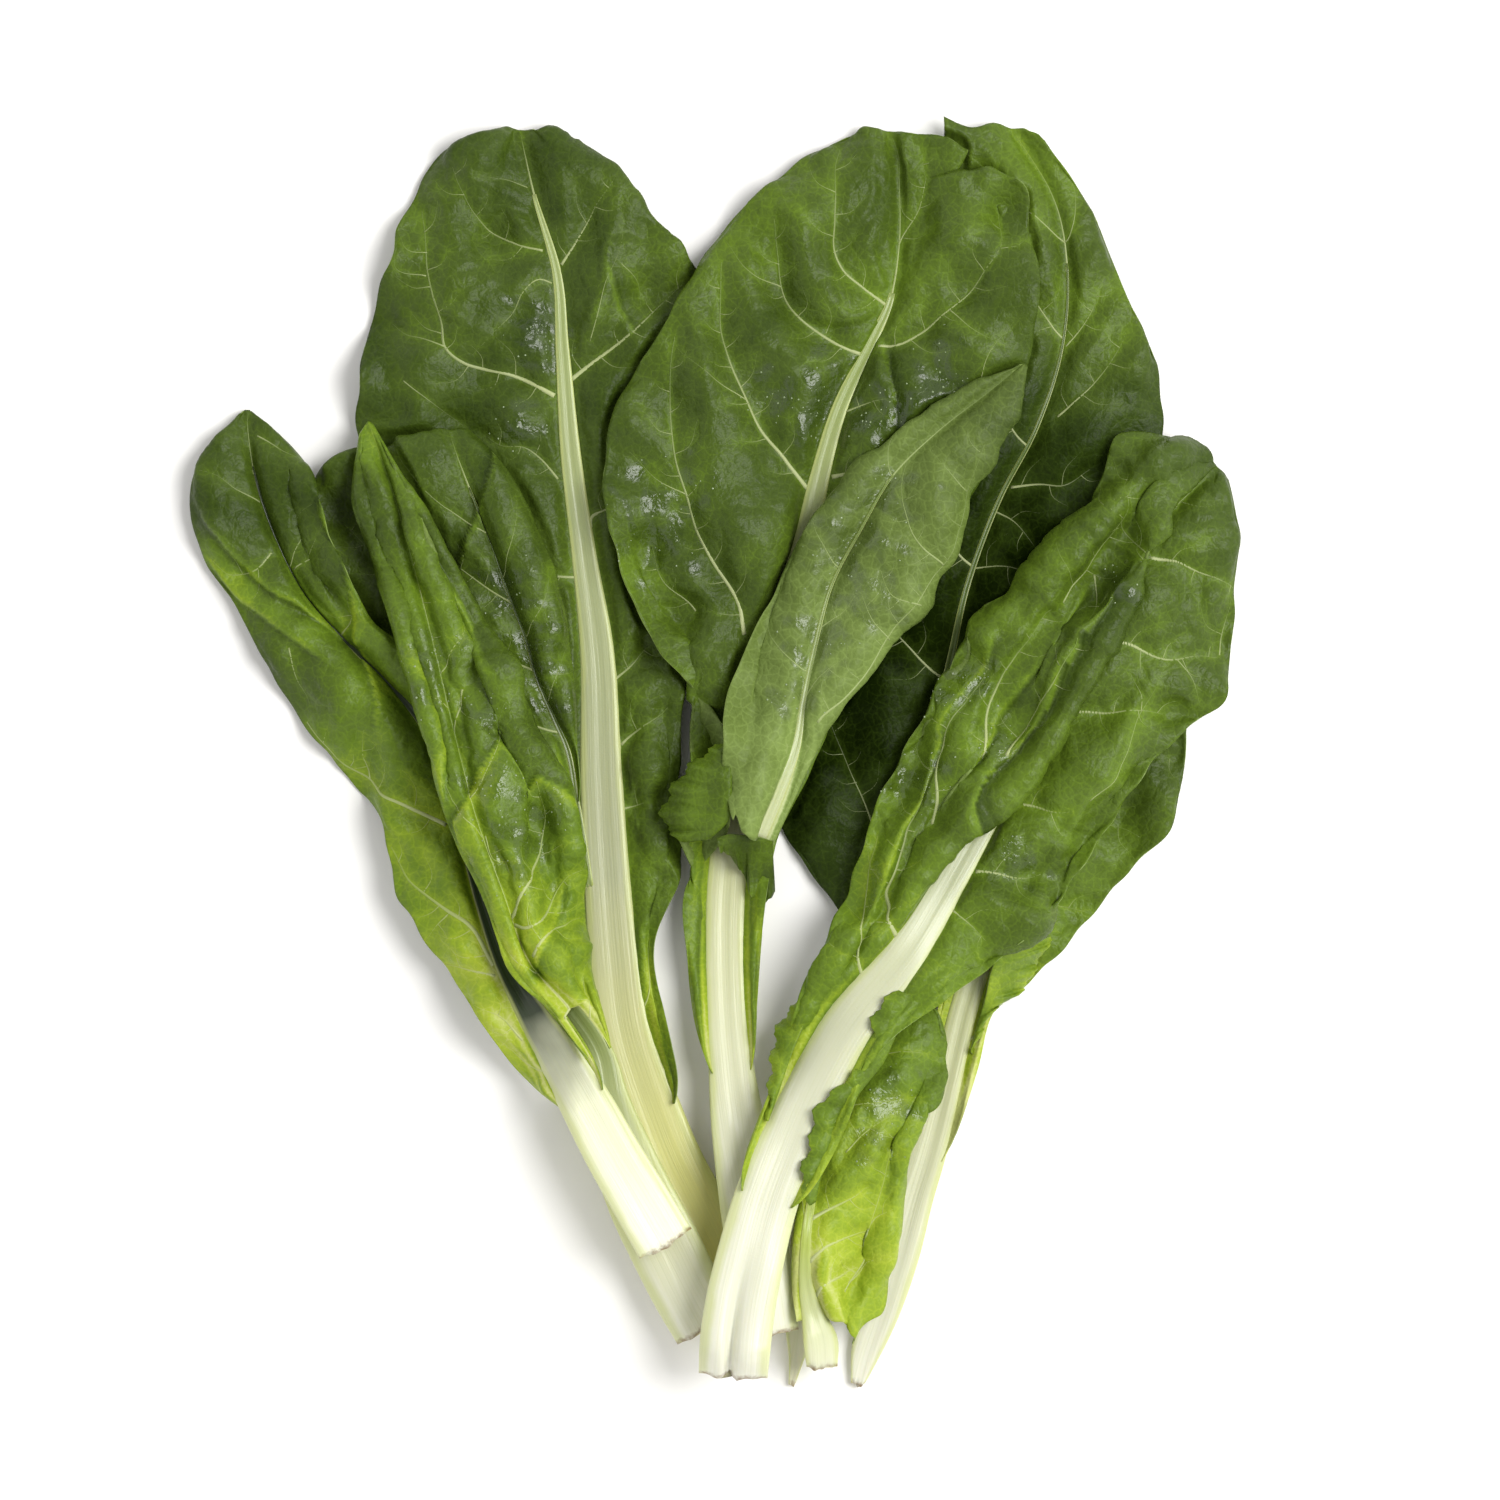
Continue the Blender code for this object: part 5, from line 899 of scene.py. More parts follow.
RIGHT_FRONT = Leaf(
    "right_front", (25, 10, 7), (1.8, 30.0, 0.0),
    [(6.5, -224, 0, 12.2), (7.5, -210, 0, 12.6), (9.5, -196, 0, 12.4), (13, -180, 0, 12)],
    [
        ((18.5, -160, 0, 11.4), [(0.3, 0), (0.6, 0), (0.9, 0), (1.2, 0), (1.5, 0)],
         [(0.8, 0), (1.6, 0.5), (2.4, 0.5), (3.2, 0)]),
        ((25, -143, 0, 10.8), [(0.3, 0), (0.6, 0), (0.9, 0.3), (1.2, 0.3), (1.6, 0)],
         [(1.2, 0.5), (2.4, 1), (3.6, 1), (4.8, 0.5)]),
        ((31.5, -128, 0, 10.3), [(0.5, 0.5), (0.9, 0.5), (1.3, 1), (1.8, 0.5), (2.4, 0)],
         [(1.2, 0.5), (2.6, 1), (4, 1.5), (5.5, 1)]),
        ((46.5, -100, 0, 9.5), [(1.5, 1.5), (3, 1), (5, 3), (7, 1), (9.5, 2)],
         [(0.8, 0.5), (1.6, 1), (2.6, 1), (4, 0.5)]),
        ((70, -70, 1, 7.8),
         [(62, -62.5, 11), (59, -59, 9), (56, -56, 13), (52.5, -52, 8), (48.5, -48, 6)],
         [(77, -76, 8), (82, -79, 8), (87, -81, 7), (92, -82.5, 8)]),
        ((88, -40, 2, 6),
         [(84, -32.5, 16), (77.5, -27, 10), (72, -22, 15), (66, -18, 8), (59, -16, 7)],
         [(97, -50, 9), (108, -62, 11), (114, -62, 7), (120, -58.5, 8)]),
        ((105, -10, 3, 4.8),
         [(109, -12.5, 20), (95, -4.5, 10), (84, 3, 19), (77, 8, 9), (70, 4, 8)],
         [(113, -22, 10), (122, -37, 13), (130, -36, 8), (139, -30, 8)]),
        ((119.5, 13, 5, 4.1),
         [(124.5, 10, 22), (111, 18, 11), (98, 27, 21), (90, 32, 10), (82, 25, 9)],
         [(126, 1, 11), (135, -12, 14), (145, -11, 8), (157, -5, 8)]),
        ((133, 37, 7, 3.4),
         [(138, 34.5, 23), (124, 41, 12), (111, 47, 22), (101, 49, 11), (92, 43, 9)],
         [(138, 24, 12), (147, 11, 15), (158, 9, 9), (170, 8.5, 7)]),
        ((145, 60, 9, 2.7),
         [(149.5, 57.5, 24), (136.5, 61.5, 13), (125, 66, 23), (117, 66, 12), (109, 55, 9)],
         [(150, 46, 13), (158, 30, 14), (171, 24, 9), (182.5, 18, 6)]),
        ((155, 79, 10, 2),
         [(158.5, 77.5, 22), (148.5, 80.5, 14), (141, 84, 21), (137, 84, 14), (132, 77, 10)],
         [(161, 66, 13), (167, 52, 12), (177, 45, 10), (186.5, 38, 5)]),
        ((166, 93, 9, 1.3),
         [(165, 91, 17), (157, 95, 13), (150, 98, 19), (144, 100, 13), (139, 99, 10)],
         [(170, 82, 11), (175, 73, 10), (182, 67, 9), (188, 62, 4)]),
        ((175, 101, 6, 0),
         [(173.5, 98, 11), (169, 104, 10), (163, 107, 15), (155, 110, 10), (147, 115, 7)],
         [(178, 95, 8), (181, 91, 8), (185, 87, 6), (188.5, 83, 3)]),
        ((181, 103, 3, 0),
         [(180.3, 103.8, 5), (179, 105, 6), (177, 107, 7), (174.5, 109.5, 6), (171, 113, 5)],
         [(181.8, 102.2, 4), (182.8, 101, 4), (184, 99.5, 3.5), (185.3, 98, 3)]),
    ],
)

CENTRE_TOP = Leaf(
    "centre_top", (17, 5, 7), (1.2, 40.0, 0.3),
    [],
    [
        ((16, -32, 2, 2.4), [(13.5, -29.5, 8), (9.5, -26, 7), (5.5, -22, 6)],
         [(0.5, 0), (1.0, 0), (1.6, -0.5), (1.0, -2.5)]),
        ((22.5, -17, 3, 2.2), [(17, -14, 9), (11, -12, 7), (4, -13, 6)],
         [(0.6, 0), (1.3, 0), (2.2, -0.5), (1.4, -3)]),
        ((29, 1, 4, 1.7), [(20, 1, 9), (11, -3, 6), (3, 1, 9)],
         [(1.2, 0), (2.6, 0), (4, -1), (3, -4)]),
        ((32, 19, 5, 1.3), [(24, 17, 9), (12, 15, 4), (4, 18, 11)],
         [(36, 17, 11), (39.5, 15, 11), (43, 13, 8), (38, 14, 4)]),
        ((36, 38, 6, 0.9), [(27, 38, 10), (17, 38, 5), (11, 37, 10)],
         [(44, 37, 12), (52, 36, 12), (58.5, 34.5, 8), (50, 33, 3)]),
        ((42, 60, 7, 0.6), [(33, 62, 11), (26, 62, 7), (22.5, 60, 8)],
         [(53, 57, 13), (63, 54, 12), (71.5, 50, 8), (60, 49, 3)]),
        ((52.5, 80, 7, 0.5), [(43, 84, 11), (37, 83.5, 8), (33, 80.5, 6)],
         [(64, 75, 14), (75, 72, 12), (83.5, 69, 8), (70, 66, 3)]),
        ((63, 98, 7, 0.4), [(56, 101, 10), (50, 98, 8), (45, 91, 6)],
         [(74, 91, 13), (84, 88, 12), (91, 87, 8), (80, 84, 3)]),
        ((80, 115, 6, 0), [(74, 117, 8), (70, 115.5, 7), (66, 110, 6)],
         [(86, 109, 12), (93, 105, 11), (99, 103.5, 8), (91, 103, 3)]),
        ((98, 129, 5, 0), [(93, 130, 7), (89, 128.5, 6), (86, 123, 5)],
         [(100, 126, 9), (104, 124, 9), (107.5, 122, 7), (103, 123, 3)]),
        ((111, 139.5, 3, 0), [(109.5, 139.2, 5), (108.5, 138.3, 5), (107.5, 137, 5)],
         [(111.3, 139.3, 5), (111.8, 139, 5), (112.3, 138.4, 5), (111.5, 137.6, 4)]),
    ],
    underside_up=True,
)

# The leaves from the bottom of the bunch to its top: leaf, lays its stalk, lays its blade
LAY_ORDER = (
    (BACK_RIGHT, True, True),
    (BACK_LEFT, True, True),
    (RIGHT_UNDER, True, True),
    (LEFT_BACK, True, True),
    (LEFT_INNER, True, False),
    (LEFT_OUTER, True, True),
    (LEFT_INNER, False, True),
    (CENTRE, True, True),
    (SMALL_RIGHT, True, True),
    (RIGHT_FRONT, True, True),
    (CENTRE_TOP, True, True),
)


def cubic_through(knots, values, at):
    """Smooth curve through values at rising knots, read at other places."""
    steps = np.diff(knots)
    slopes = np.diff(values, axis=0) / steps[:, None]
    tangents = np.empty_like(values)
    tangents[0] = slopes[0]
    tangents[-1] = slopes[-1]
    before = steps[:-1, None]
    after = steps[1:, None]
    tangents[1:-1] = (slopes[1:] * before + slopes[:-1] * after) / (before + after)
    piece = np.clip(np.searchsorted(knots, at, side="right") - 1, 0, len(steps) - 1)
    width = steps[piece][:, None]
    s = ((at - knots[piece]) / steps[piece])[:, None]
    start = values[piece] * (1 + 2 * s) * (1 - s) ** 2 + tangents[piece] * width * s * (1 - s) ** 2
    end = values[piece + 1] * (3 - 2 * s) * s ** 2 - tangents[piece + 1] * width * (1 - s) * s ** 2
    return start + end


def unit(vectors):
    """The vectors with a length of one."""
    return vectors / np.maximum(np.linalg.norm(vectors, axis=-1, keepdims=True), 1e-9)


def run_along(line, shortest=0.0):
    """Running distance along a line of points, no step counted shorter than the shortest."""
    steps = np.maximum(np.linalg.norm(np.diff(line, axis=0), axis=1), shortest)
    return np.concatenate(([0.0], np.cumsum(steps)))


def read_grid(grid, rows, columns):
    """Values of a grid between its rows and columns."""
    rows = np.clip(rows, 0, grid.shape[0] - 1.001)
    columns = np.clip(columns, 0, grid.shape[1] - 1.001)
    i, j = rows.astype(int), columns.astype(int)
    u, v = (rows - i)[:, None], (columns - j)[:, None]
    near = grid[i, j] * (1 - u) + grid[i + 1, j] * u
    far = grid[i, j + 1] * (1 - u) + grid[i + 1, j + 1] * u
    return near * (1 - v) + far * v


def stalk_height(half_width):
    return THIN_STALK + STALK_FATNESS * half_width


def side_normals(points):
    """Unit vectors to the left of a path, seen from above."""
    along = unit(np.gradient(points[:, :2], axis=0))
    return np.column_stack((-along[:, 1], along[:, 0]))


def edge_of_rib(rib, side, extra=0.0):
    """Where the blade meets the rib: side is 1 on the left and -1 on the right."""
    half_width = np.maximum(rib[:, 3], 0.0)
    wide = np.where(half_width > 0.05, half_width + RIB_GAP, 0.0) + extra
    xy = rib[:, :2] + side * side_normals(rib) * wide[:, None]
    z = rib[:, 2] + UNDERSIDE * stalk_height(half_width)
    return np.column_stack((xy, z))


def place_points(leaf, rows_of_points, side):
    """The table's points of one side as an array: station, rail, coordinate."""
    count = len(rows_of_points[0])
    rails = np.empty((len(rows_of_points), count, 3))
    for column in range(count):
        outside = np.array([row[column][0] if len(row[column]) == 2 else 0.0
                            for row in rows_of_points])
        beside = edge_of_rib(leaf.rib, side, outside)
        for station, row in enumerate(rows_of_points):
            point = row[column]
            if len(point) == 3:
                rails[station, column] = point
            else:
                rails[station, column] = beside[station] + (0.0, 0.0, point[1])
    return rails


def mean_knots(curves):
    """Running distance along axis 0, averaged over the curves on axis 1."""
    lengths = np.linalg.norm(np.diff(curves, axis=0), axis=2).mean(axis=1)
    return np.concatenate(([0.0], np.cumsum(np.maximum(lengths, 0.01))))


def half_blade(leaf, rib_rows, rails, knots, rows_at, columns, side, merged, fine=False):
    """Grid of points of one half of the blade, from the rib to the margin.

    A fine half reaches under the edge of its rib, so that no gap shows between them.
    """
    along = [cubic_through(knots, rails[:, i], rows_at) for i in range(rails.shape[1])]
    inner = edge_of_rib(rib_rows, side)
    if fine:
        inset = TUCK_THIN + TUCK_BROAD * np.clip((rib_rows[:, 3:4] - 1.0) / 2.0, 0.0, 1.0)
        inner[:, :2] = rib_rows[:, :2] + (inner[:, :2] - rib_rows[:, :2]) * inset
        inner[:, 2] -= TUCK_DEPTH
    inner[merged, :2] = rib_rows[merged, :2]
    lines = np.stack([inner] + along, axis=1)
    across = mean_knots(lines.transpose(1, 0, 2))
    if fine:
        columns = int(np.ceil(ACROSS_DENSITY * across[-1] / FINE_STEP))
    at = np.linspace(0.0, across[-1], columns + 1)
    grid = np.stack([cubic_through(across, line, at) for line in lines])
    share = at / across[-1]
    turn = 2.0 * np.pi * rows_at / leaf.wave_length + leaf.wave_start + side
    grid[:, :, 2] += leaf.wave_height * np.outer(np.sin(turn), share ** 2)
    grid[:, :, 2] = np.maximum(grid[:, :, 2], BLADE_THICKNESS / 2)
    return grid


def shape_leaf(leaf, fine=False):
    """Points of the blade and the stalk before the leaf is laid on the others."""
    left = place_points(leaf, leaf.left, 1)
    right = place_points(leaf, leaf.right, -1)
    centre = edge_of_rib(leaf.rib, 1)[:, None]
    knots = mean_knots(np.concatenate((left, centre, right), axis=1))
    rows = int(knots[-1] / FINE_STEP) if fine else leaf.rows
    rows_at = np.linspace(0.0, knots[-1], rows + 1)

    full_rib = leaf.rib
    full_knots = knots
    if len(leaf.petiole):
        full_rib = np.vstack((leaf.petiole, leaf.rib))
        petiole_steps = np.linalg.norm(np.diff(full_rib[:len(leaf.petiole) + 1, :2], axis=0), axis=1)
        full_knots = np.concatenate((-np.cumsum(petiole_steps[::-1])[::-1], knots))

    tip_knot = knots[np.nonzero(leaf.rib[:, 3])[0].max()]
    merged = rows_at > tip_knot
    rib_rows = cubic_through(full_knots, full_rib, rows_at)
    left_grid, right_grid = [
        half_blade(leaf, rib_rows, rails, knots, rows_at, columns, side, merged, fine)
        for rails, columns, side in ((left, leaf.left_columns, 1), (right, leaf.right_columns, -1))]

    if fine:
        stalk_at = np.arange(full_knots[0], rows_at[~merged].max() + 3.0, FINE_RING)
        stalk_rib = cubic_through(full_knots, full_rib, np.minimum(stalk_at, full_knots[-1]))
        return left_grid, right_grid, merged, stalk_rib, stalk_at - full_knots[0]

    below = int(np.ceil(-full_knots[0] / STALK_PITCH))
    petiole_at = np.linspace(full_knots[0], 0.0, below, endpoint=False)
    stalk_at = np.concatenate((petiole_at, rows_at[~merged]))
    stalk_rib = cubic_through(full_knots, full_rib, stalk_at)
    return left_grid, right_grid, merged, stalk_sections(stalk_rib)


def stalk_sections(rib):
    """Rings of points round the stalk, one for each point of its centre line."""
    normals = side_normals(rib)
    rings = []
    for (x, y, lift, half_width), normal in zip(rib, normals):
        half_width = max(half_width, THINNEST_RIB)
        height = stalk_height(half_width)
        level = max(lift, 0.0) + UNDERSIDE * height
        rings.append([(x - normal[0] * across * half_width, y - normal[1] * across * half_width,
                       level + up * height) for across, up in STALK_SECTION])
    return np.array(rings)


def blade_mesh(left_grid, right_grid, merged):
    """Vertices and triangles of the open blade: the halves share a line past the rib."""
    rows = len(merged)
    left_count = left_grid.shape[1]
    right_count = right_grid.shape[1]
    points = np.concatenate((left_grid[:, ::-1], right_grid), axis=1)
    middle = (points[:, left_count - 1] + points[:, left_count]) / 2
    points[merged, left_count - 1] = middle[merged]
    points[merged, left_count] = middle[merged]
    width = left_count + right_count
    triangles = []
    for row in range(rows - 1):
        for column in range(width - 1):
            if column == left_count - 1:
                continue
            corners = [row * width + column, row * width + column + 1,
                       (row + 1) * width + column + 1, (row + 1) * width + column]
            a, b, c, d = [points.reshape(-1, 3)[corner] for corner in corners]
            if np.linalg.norm(a - c) <= np.linalg.norm(b - d):
                picks = ((0, 1, 2), (0, 2, 3))
            else:
                picks = ((0, 1, 3), (1, 2, 3))
            triangles += [tuple(corners[i] for i in pick) for pick in picks]
    joined = np.arange(rows * width)
    for row in np.nonzero(merged)[0]:
        joined[row * width + left_count] = row * width + left_count - 1
    triangles = joined[np.array(triangles)]
    used = np.unique(triangles)
    renumber = np.zeros(rows * width, int)
    renumber[used] = np.arange(len(used))
    return points.reshape(-1, 3)[used], renumber[triangles]


def stalk_mesh(rings):
    """Vertices and triangles of the closed stalk, with a flat cap at each end."""
    count = rings.shape[1]
    points = rings.reshape(-1, 3)
    triangles = []
    for ring in range(len(rings) - 1):
        for i in range(count):
            j = (i + 1) % count
            a, b = ring * count + i, ring * count + j
            c, d = a + count, b + count
            triangles += [(a, c, b), (b, c, d)]
    last = (len(rings) - 1) * count
    for i in range(1, count - 1):
        triangles.append((0, i, i + 1))
        triangles.append((last, last + i + 1, last + i))
    return points, np.array(triangles)


class Pile:
    """Height map of what already lies on the surface, in cells of CELL millimetres."""

    def __init__(self, low, high):
        self.low = np.array(low, float)
        self.shape = tuple(np.ceil((np.array(high) - self.low) / CELL).astype(int) + 1)
        self.height = np.zeros(self.shape)

    def sample(self, points, triangles):
        """Cells and heights of many points spread over the triangles."""
        n = SAMPLES_PER_EDGE
        weights = np.array([(i, j, n - i - j) for i in range(n + 1) for j in range(n + 1 - i)]) / n
        spots = np.einsum("wk,tkc->twc", weights, points[triangles]).reshape(-1, 3)
        cells = np.round((spots[:, :2] - self.low) / CELL).astype(int)
        return cells[:, 0], cells[:, 1], spots[:, 2]

    def lift_for(self, meshes):
        """How far each cell must rise so that the meshes clear what lies below."""
        lowest = np.full(self.shape, np.inf)
        for points, triangles in meshes:
            i, j, z = self.sample(points, triangles)
            np.minimum.at(lowest, (i, j), z)
        needed = np.where((self.height > 0) & np.isfinite(lowest),
                          self.height + LAYER_GAP + BLADE_THICKNESS / 2 - lowest, 0.0)
        return smooth(spread(np.maximum(needed, 0.0)))

    def read(self, lift, points):
        """The lift at points, between the cells' centres."""
        return read_grid(lift[..., None], *((points[:, :2] - self.low) / CELL).T)[:, 0]

    def add(self, points, triangles):
        i, j, z = self.sample(points, triangles)
        np.maximum.at(self.height, (i, j), z + BLADE_THICKNESS / 2)


def shifted(field, across, along):
    """The field moved by whole cells, with its border repeated."""
    padded = np.pad(field, DRAPE_CELLS, mode="edge")
    i = DRAPE_CELLS + across
    j = DRAPE_CELLS + along
    return padded[i:i + field.shape[0], j:j + field.shape[1]]


def spread(field, reach=DRAPE_CELLS):
    """Every cell takes the highest value within reach."""
    widest = field.copy()
    for across in range(-reach, reach + 1):
        for along in range(-reach, reach + 1):
            if across ** 2 + along ** 2 <= reach ** 2 + 1:
                widest = np.maximum(widest, shifted(field, across, along))
    return widest


def smooth(field, reach=DRAPE_CELLS // 2 - 1):
    """Two passes of a box blur, together no wider than the spread before it."""
    for _ in range(2):
        total = np.zeros_like(field)
        for across in range(-reach, reach + 1):
            for along in range(-reach, reach + 1):
                total += shifted(field, across, along)
        field = total / (2 * reach + 1) ** 2
    return field


def rib_hold(leaf, pile, lift):
    """Spots along the whole rib, and how far its stiffness holds each over the dips."""
    line = leaf.rib
    if len(leaf.petiole):
        line = np.vstack((leaf.petiole, leaf.rib))
    knots = run_along(line[:, :2])
    at = np.arange(0.0, knots[-1], RIB_STEP)
    spots = cubic_through(knots, line, at)
    level = pile.read(lift, spots)
    held = level - (at[:, None] - at) ** 2 / (2.0 * BEND_RADIUS)
    return spots[:, :2], held.max(axis=1) - level


def held_height(spots, hold, points):
    """Extra height of points: that of the rib beside them, fading with distance."""
    distance = np.linalg.norm(points[:, None, :2] - spots, axis=2)
    nearest = distance.min(axis=1)
    weight = np.exp((nearest[:, None] ** 2 - distance ** 2) / (2.0 * RIB_BLUR ** 2))
    share = np.clip(1.0 - nearest / DROOP_WIDTH, 0.0, 1.0)
    return (weight @ hold) / weight.sum(axis=1) * share ** 2 * (3.0 - 2.0 * share)


def widened(field):
    """The highest value within two cells, with its steps smoothed."""
    return smooth(spread(spread(field, 1), 1), 1)


class Place:
    """Where one leaf, or its stalk or blade alone, lies: its lift and the room round it."""

    def __init__(self, leaf, with_stalk, with_blade, pile):
        self.leaf = leaf
        self.with_stalk = with_stalk
        self.with_blade = with_blade
        self.pile = pile
        self.left, self.right, self.merged, self.rib, self.from_cut = shape_leaf(leaf, fine=True)
        left_grid, right_grid, merged, rings = shape_leaf(leaf)
        meshes = []
        if with_stalk:
            meshes.append(stalk_mesh(rings))
        if with_blade:
            meshes.append(blade_mesh(left_grid, right_grid, merged))
        self.lift = pile.lift_for(meshes)
        self.spots, self.hold = rib_hold(leaf, pile, self.lift)
        self.floor = widened(pile.height)
        self.underside = np.full(pile.shape, np.inf)
        self.points = []
        for points, triangles in meshes:
            points[:, 2] += self.height(points)
            i, j, z = pile.sample(points, triangles)
            np.minimum.at(self.underside, (i, j), z - BLADE_THICKNESS / 2)
            pile.add(points, triangles)
            self.points.append(points)

    def height(self, points):
        """How far the bunch below raises these points."""
        return self.pile.read(self.lift, points) + held_height(self.spots, self.hold, points)

    def raise_points(self, grid):
        """Lay a grid of points on the bunch, some at a time to spare memory."""
        flat = grid.reshape(-1, 3)
        for start in range(0, len(flat), POINTS_AT_ONCE):
            some = flat[start:start + POINTS_AT_ONCE]
            some[:, 2] += self.height(some)

    def room(self, grid):
        """The lowest and the highest that a leaf may reach at these points."""
        flat = grid.reshape(-1, 3)
        return [self.pile.read(field, flat).reshape(grid.shape[:-1])
                for field in (self.floor, self.ceiling)]


def lay_bunch():
    """The places of all leaves, and the middle of the bunch's box."""
    pile = Pile(PILE_LOW, PILE_HIGH)
    places = [Place(*entry, pile) for entry in LAY_ORDER]
    above = np.full(pile.shape, np.inf)
    for place in reversed(places):
        place.ceiling = -widened(-np.minimum(above, OPEN_CEILING))
        above = np.minimum(above, place.underside)
    everything = np.concatenate([points for place in places for points in place.points])
    middle = (everything.min(axis=0) + everything.max(axis=0)) / 2
    middle[2] = 0.0
    return places, middle


def draws(name, kind, number=0):
    """The random generator of one leaf and one kind of detail, counted where there are several."""
    return np.random.default_rng(sum(map(ord, name)) * LEAF_FACTOR + KINDS[kind] + number)


def ripples(xy, random, length):
    """Smooth noise between about -1 and 1, from waves in many directions."""
    total = np.zeros(xy.shape[:-1])
    for _ in range(WAVES):
        angle = random.uniform(0.0, 2.0 * np.pi)
        pace = 2.0 * np.pi / (length * random.uniform(*WAVE_RANGE))
        start = random.uniform(0.0, 2.0 * np.pi)
        total += np.sin(pace * (xy[..., 0] * np.cos(angle) + xy[..., 1] * np.sin(angle)) + start)
    return total * WAVE_GAIN / np.sqrt(WAVES)


def sideways_ripples(xy, name, kind, length):
    """Two such noises, as a shift in the plane."""
    return np.stack([ripples(xy, draws(name, kind, k), length) for k in range(2)], axis=-1)


def cell_borders(xy, size, random):
    """Distance from the border between irregular cells, in cell sizes."""
    table = random.uniform(*SEED_RANGE, (CELL_SEEDS, CELL_SEEDS, 2))
    place = xy / size
    base = np.floor(place).astype(int)
    to_seeds = []
    for i in range(-2, 3):
        for j in range(-2, 3):
            cell = base + (i, j)
            seed = table[cell[..., 0] % CELL_SEEDS, cell[..., 1] % CELL_SEEDS]
            to_seeds.append(cell + seed - place)
    to_seeds = np.array(to_seeds)
    lengths = np.linalg.norm(to_seeds, axis=-1)
    nearest = np.take_along_axis(to_seeds, lengths.argmin(axis=0)[None, ..., None], axis=0)[0]
    border = np.full(lengths.shape[1:], np.inf)
    for seed in to_seeds:
        apart = seed - nearest
        length = np.linalg.norm(apart, axis=-1)
        away = ((seed + nearest) / 2.0 * apart).sum(axis=-1) / np.maximum(length, 1e-6)
        border = np.where(length > 1e-6, np.minimum(border, away), border)
    return border


def beside_line(xy, line):
    """Distance of points from a polyline in the plane, positive on its left side."""
    line = np.asarray(line, float)[:, :2]
    signed = np.full(xy.shape[:-1], np.inf)
    for start, end in zip(line[:-1], line[1:]):
        step = end - start
        from_start = xy - start
        share = np.clip((from_start @ step) / max(step @ step, 1e-9), 0.0, 1.0)
        away = np.linalg.norm(from_start - share[..., None] * step, axis=-1)
        left = step[0] * from_start[..., 1] - step[1] * from_start[..., 0] > 0.0
        signed = np.where(away < np.abs(signed), np.where(left, away, -away), signed)
    return signed


def fade(values, start, end):
    """0 at start and 1 at end, smoothly."""
    share = np.clip((values - start) / (end - start), 0.0, 1.0)
    return share * share * (3.0 - 2.0 * share)


def end_fade(xy, line, least, length):
    """1 along a line, and fading to the least over this length before its ends."""
    from_end = np.minimum(*[np.linalg.norm(xy - end, axis=-1) for end in (line[0], line[-1])])
    return least + (1.0 - least) * fade(from_end, 0.0, length)


def pale_strip(distance, amount, reach):
    """How much paler the tissue is at this distance from an edge."""
    return amount * np.exp(-distance / reach)


def bell(distance, width):
    """1 at no distance, falling smoothly to 0 over about twice the width."""
    return np.exp(-(distance / width) ** 2)


def vein_path(vein, grid):
    """Rows and columns along one vein on a half blade, closely spaced."""
    rows, columns = grid.shape[:2]
    if len(vein) == 4:
        share = np.linspace(0.0, 1.0, SHARE_POINTS)
        at_rows = rows * (vein[1] + (vein[2] - vein[1]) * share ** SHARE_BEND)
        at_columns = (columns - 1) * vein[3] * share
    else:
        places = []
        for x, y in vein[1]:
            away = (grid[..., 0] - x) ** 2 + (grid[..., 1] - y) ** 2
            cost = away - HIGHER_DRAWS * grid[..., 2]
            places.append(np.unravel_index(cost.argmin(), cost.shape))
        at_rows, at_columns = np.array(places, float).T
    knots = run_along(read_grid(grid, at_rows, at_columns), 0.2)
    at = np.linspace(0.0, knots[-1], max(int(knots[-1] / VEIN_STEP), 4))
    fine = cubic_through(knots, np.column_stack((at_rows, at_columns)), at)
    return np.clip(fine, 0.0, (rows - 1, columns - 1))


def branches(line, width, random):
    """Small side veins that leave a vein on both sides: each a width and three points."""
    run = run_along(line[:, :2])
    result = []
    at = random.uniform(*BRANCH_FIRST)
    side = 1.0
    while at < run[-1] - 2.0:
        place, ahead = [np.array([np.interp(spot, run, line[:, k]) for k in range(2)])
                        for spot in (at, min(at + 3.0, run[-1]))]
        along = unit(ahead - place)
        across = side * np.array([-along[1], along[0]])
        reach = random.uniform(*BRANCH_REACH) * (BRANCH_LONGER - BRANCH_LOSS * at / run[-1])
        lean = random.uniform(*BRANCH_LEAN)
        middle = place + 0.5 * reach * (across + lean * MIDDLE_LEAN * along)
        end = place + reach * (END_REACH * across + lean * END_LEAN * along)
        result.append((BRANCH_WIDTH + BRANCH_SHARE * width, [place, middle, end]))
        at += random.uniform(*BRANCH_APART)
        side = -side
    return result


class Sheet:
    """A thin surface of a leaf: a grid of points, and what is known at each of them."""

    def measure(self, grid):
        """Keep the grid, its plan, and how far each point is from its first and last column."""
        self.grid = grid
        self.flat = grid[..., :2].copy()
        across = np.linalg.norm(np.diff(grid, axis=1), axis=2)
        self.from_rib = np.pad(np.cumsum(across, axis=1), ((0, 0), (1, 0)))
        self.from_edge = self.from_rib[:, -1:] - self.from_rib

    def normals(self):
        """Unit vectors out of the upper side."""
        along, across = np.gradient(self.grid, axis=(0, 1))
        return unit(np.cross(along, across) * self.turned)


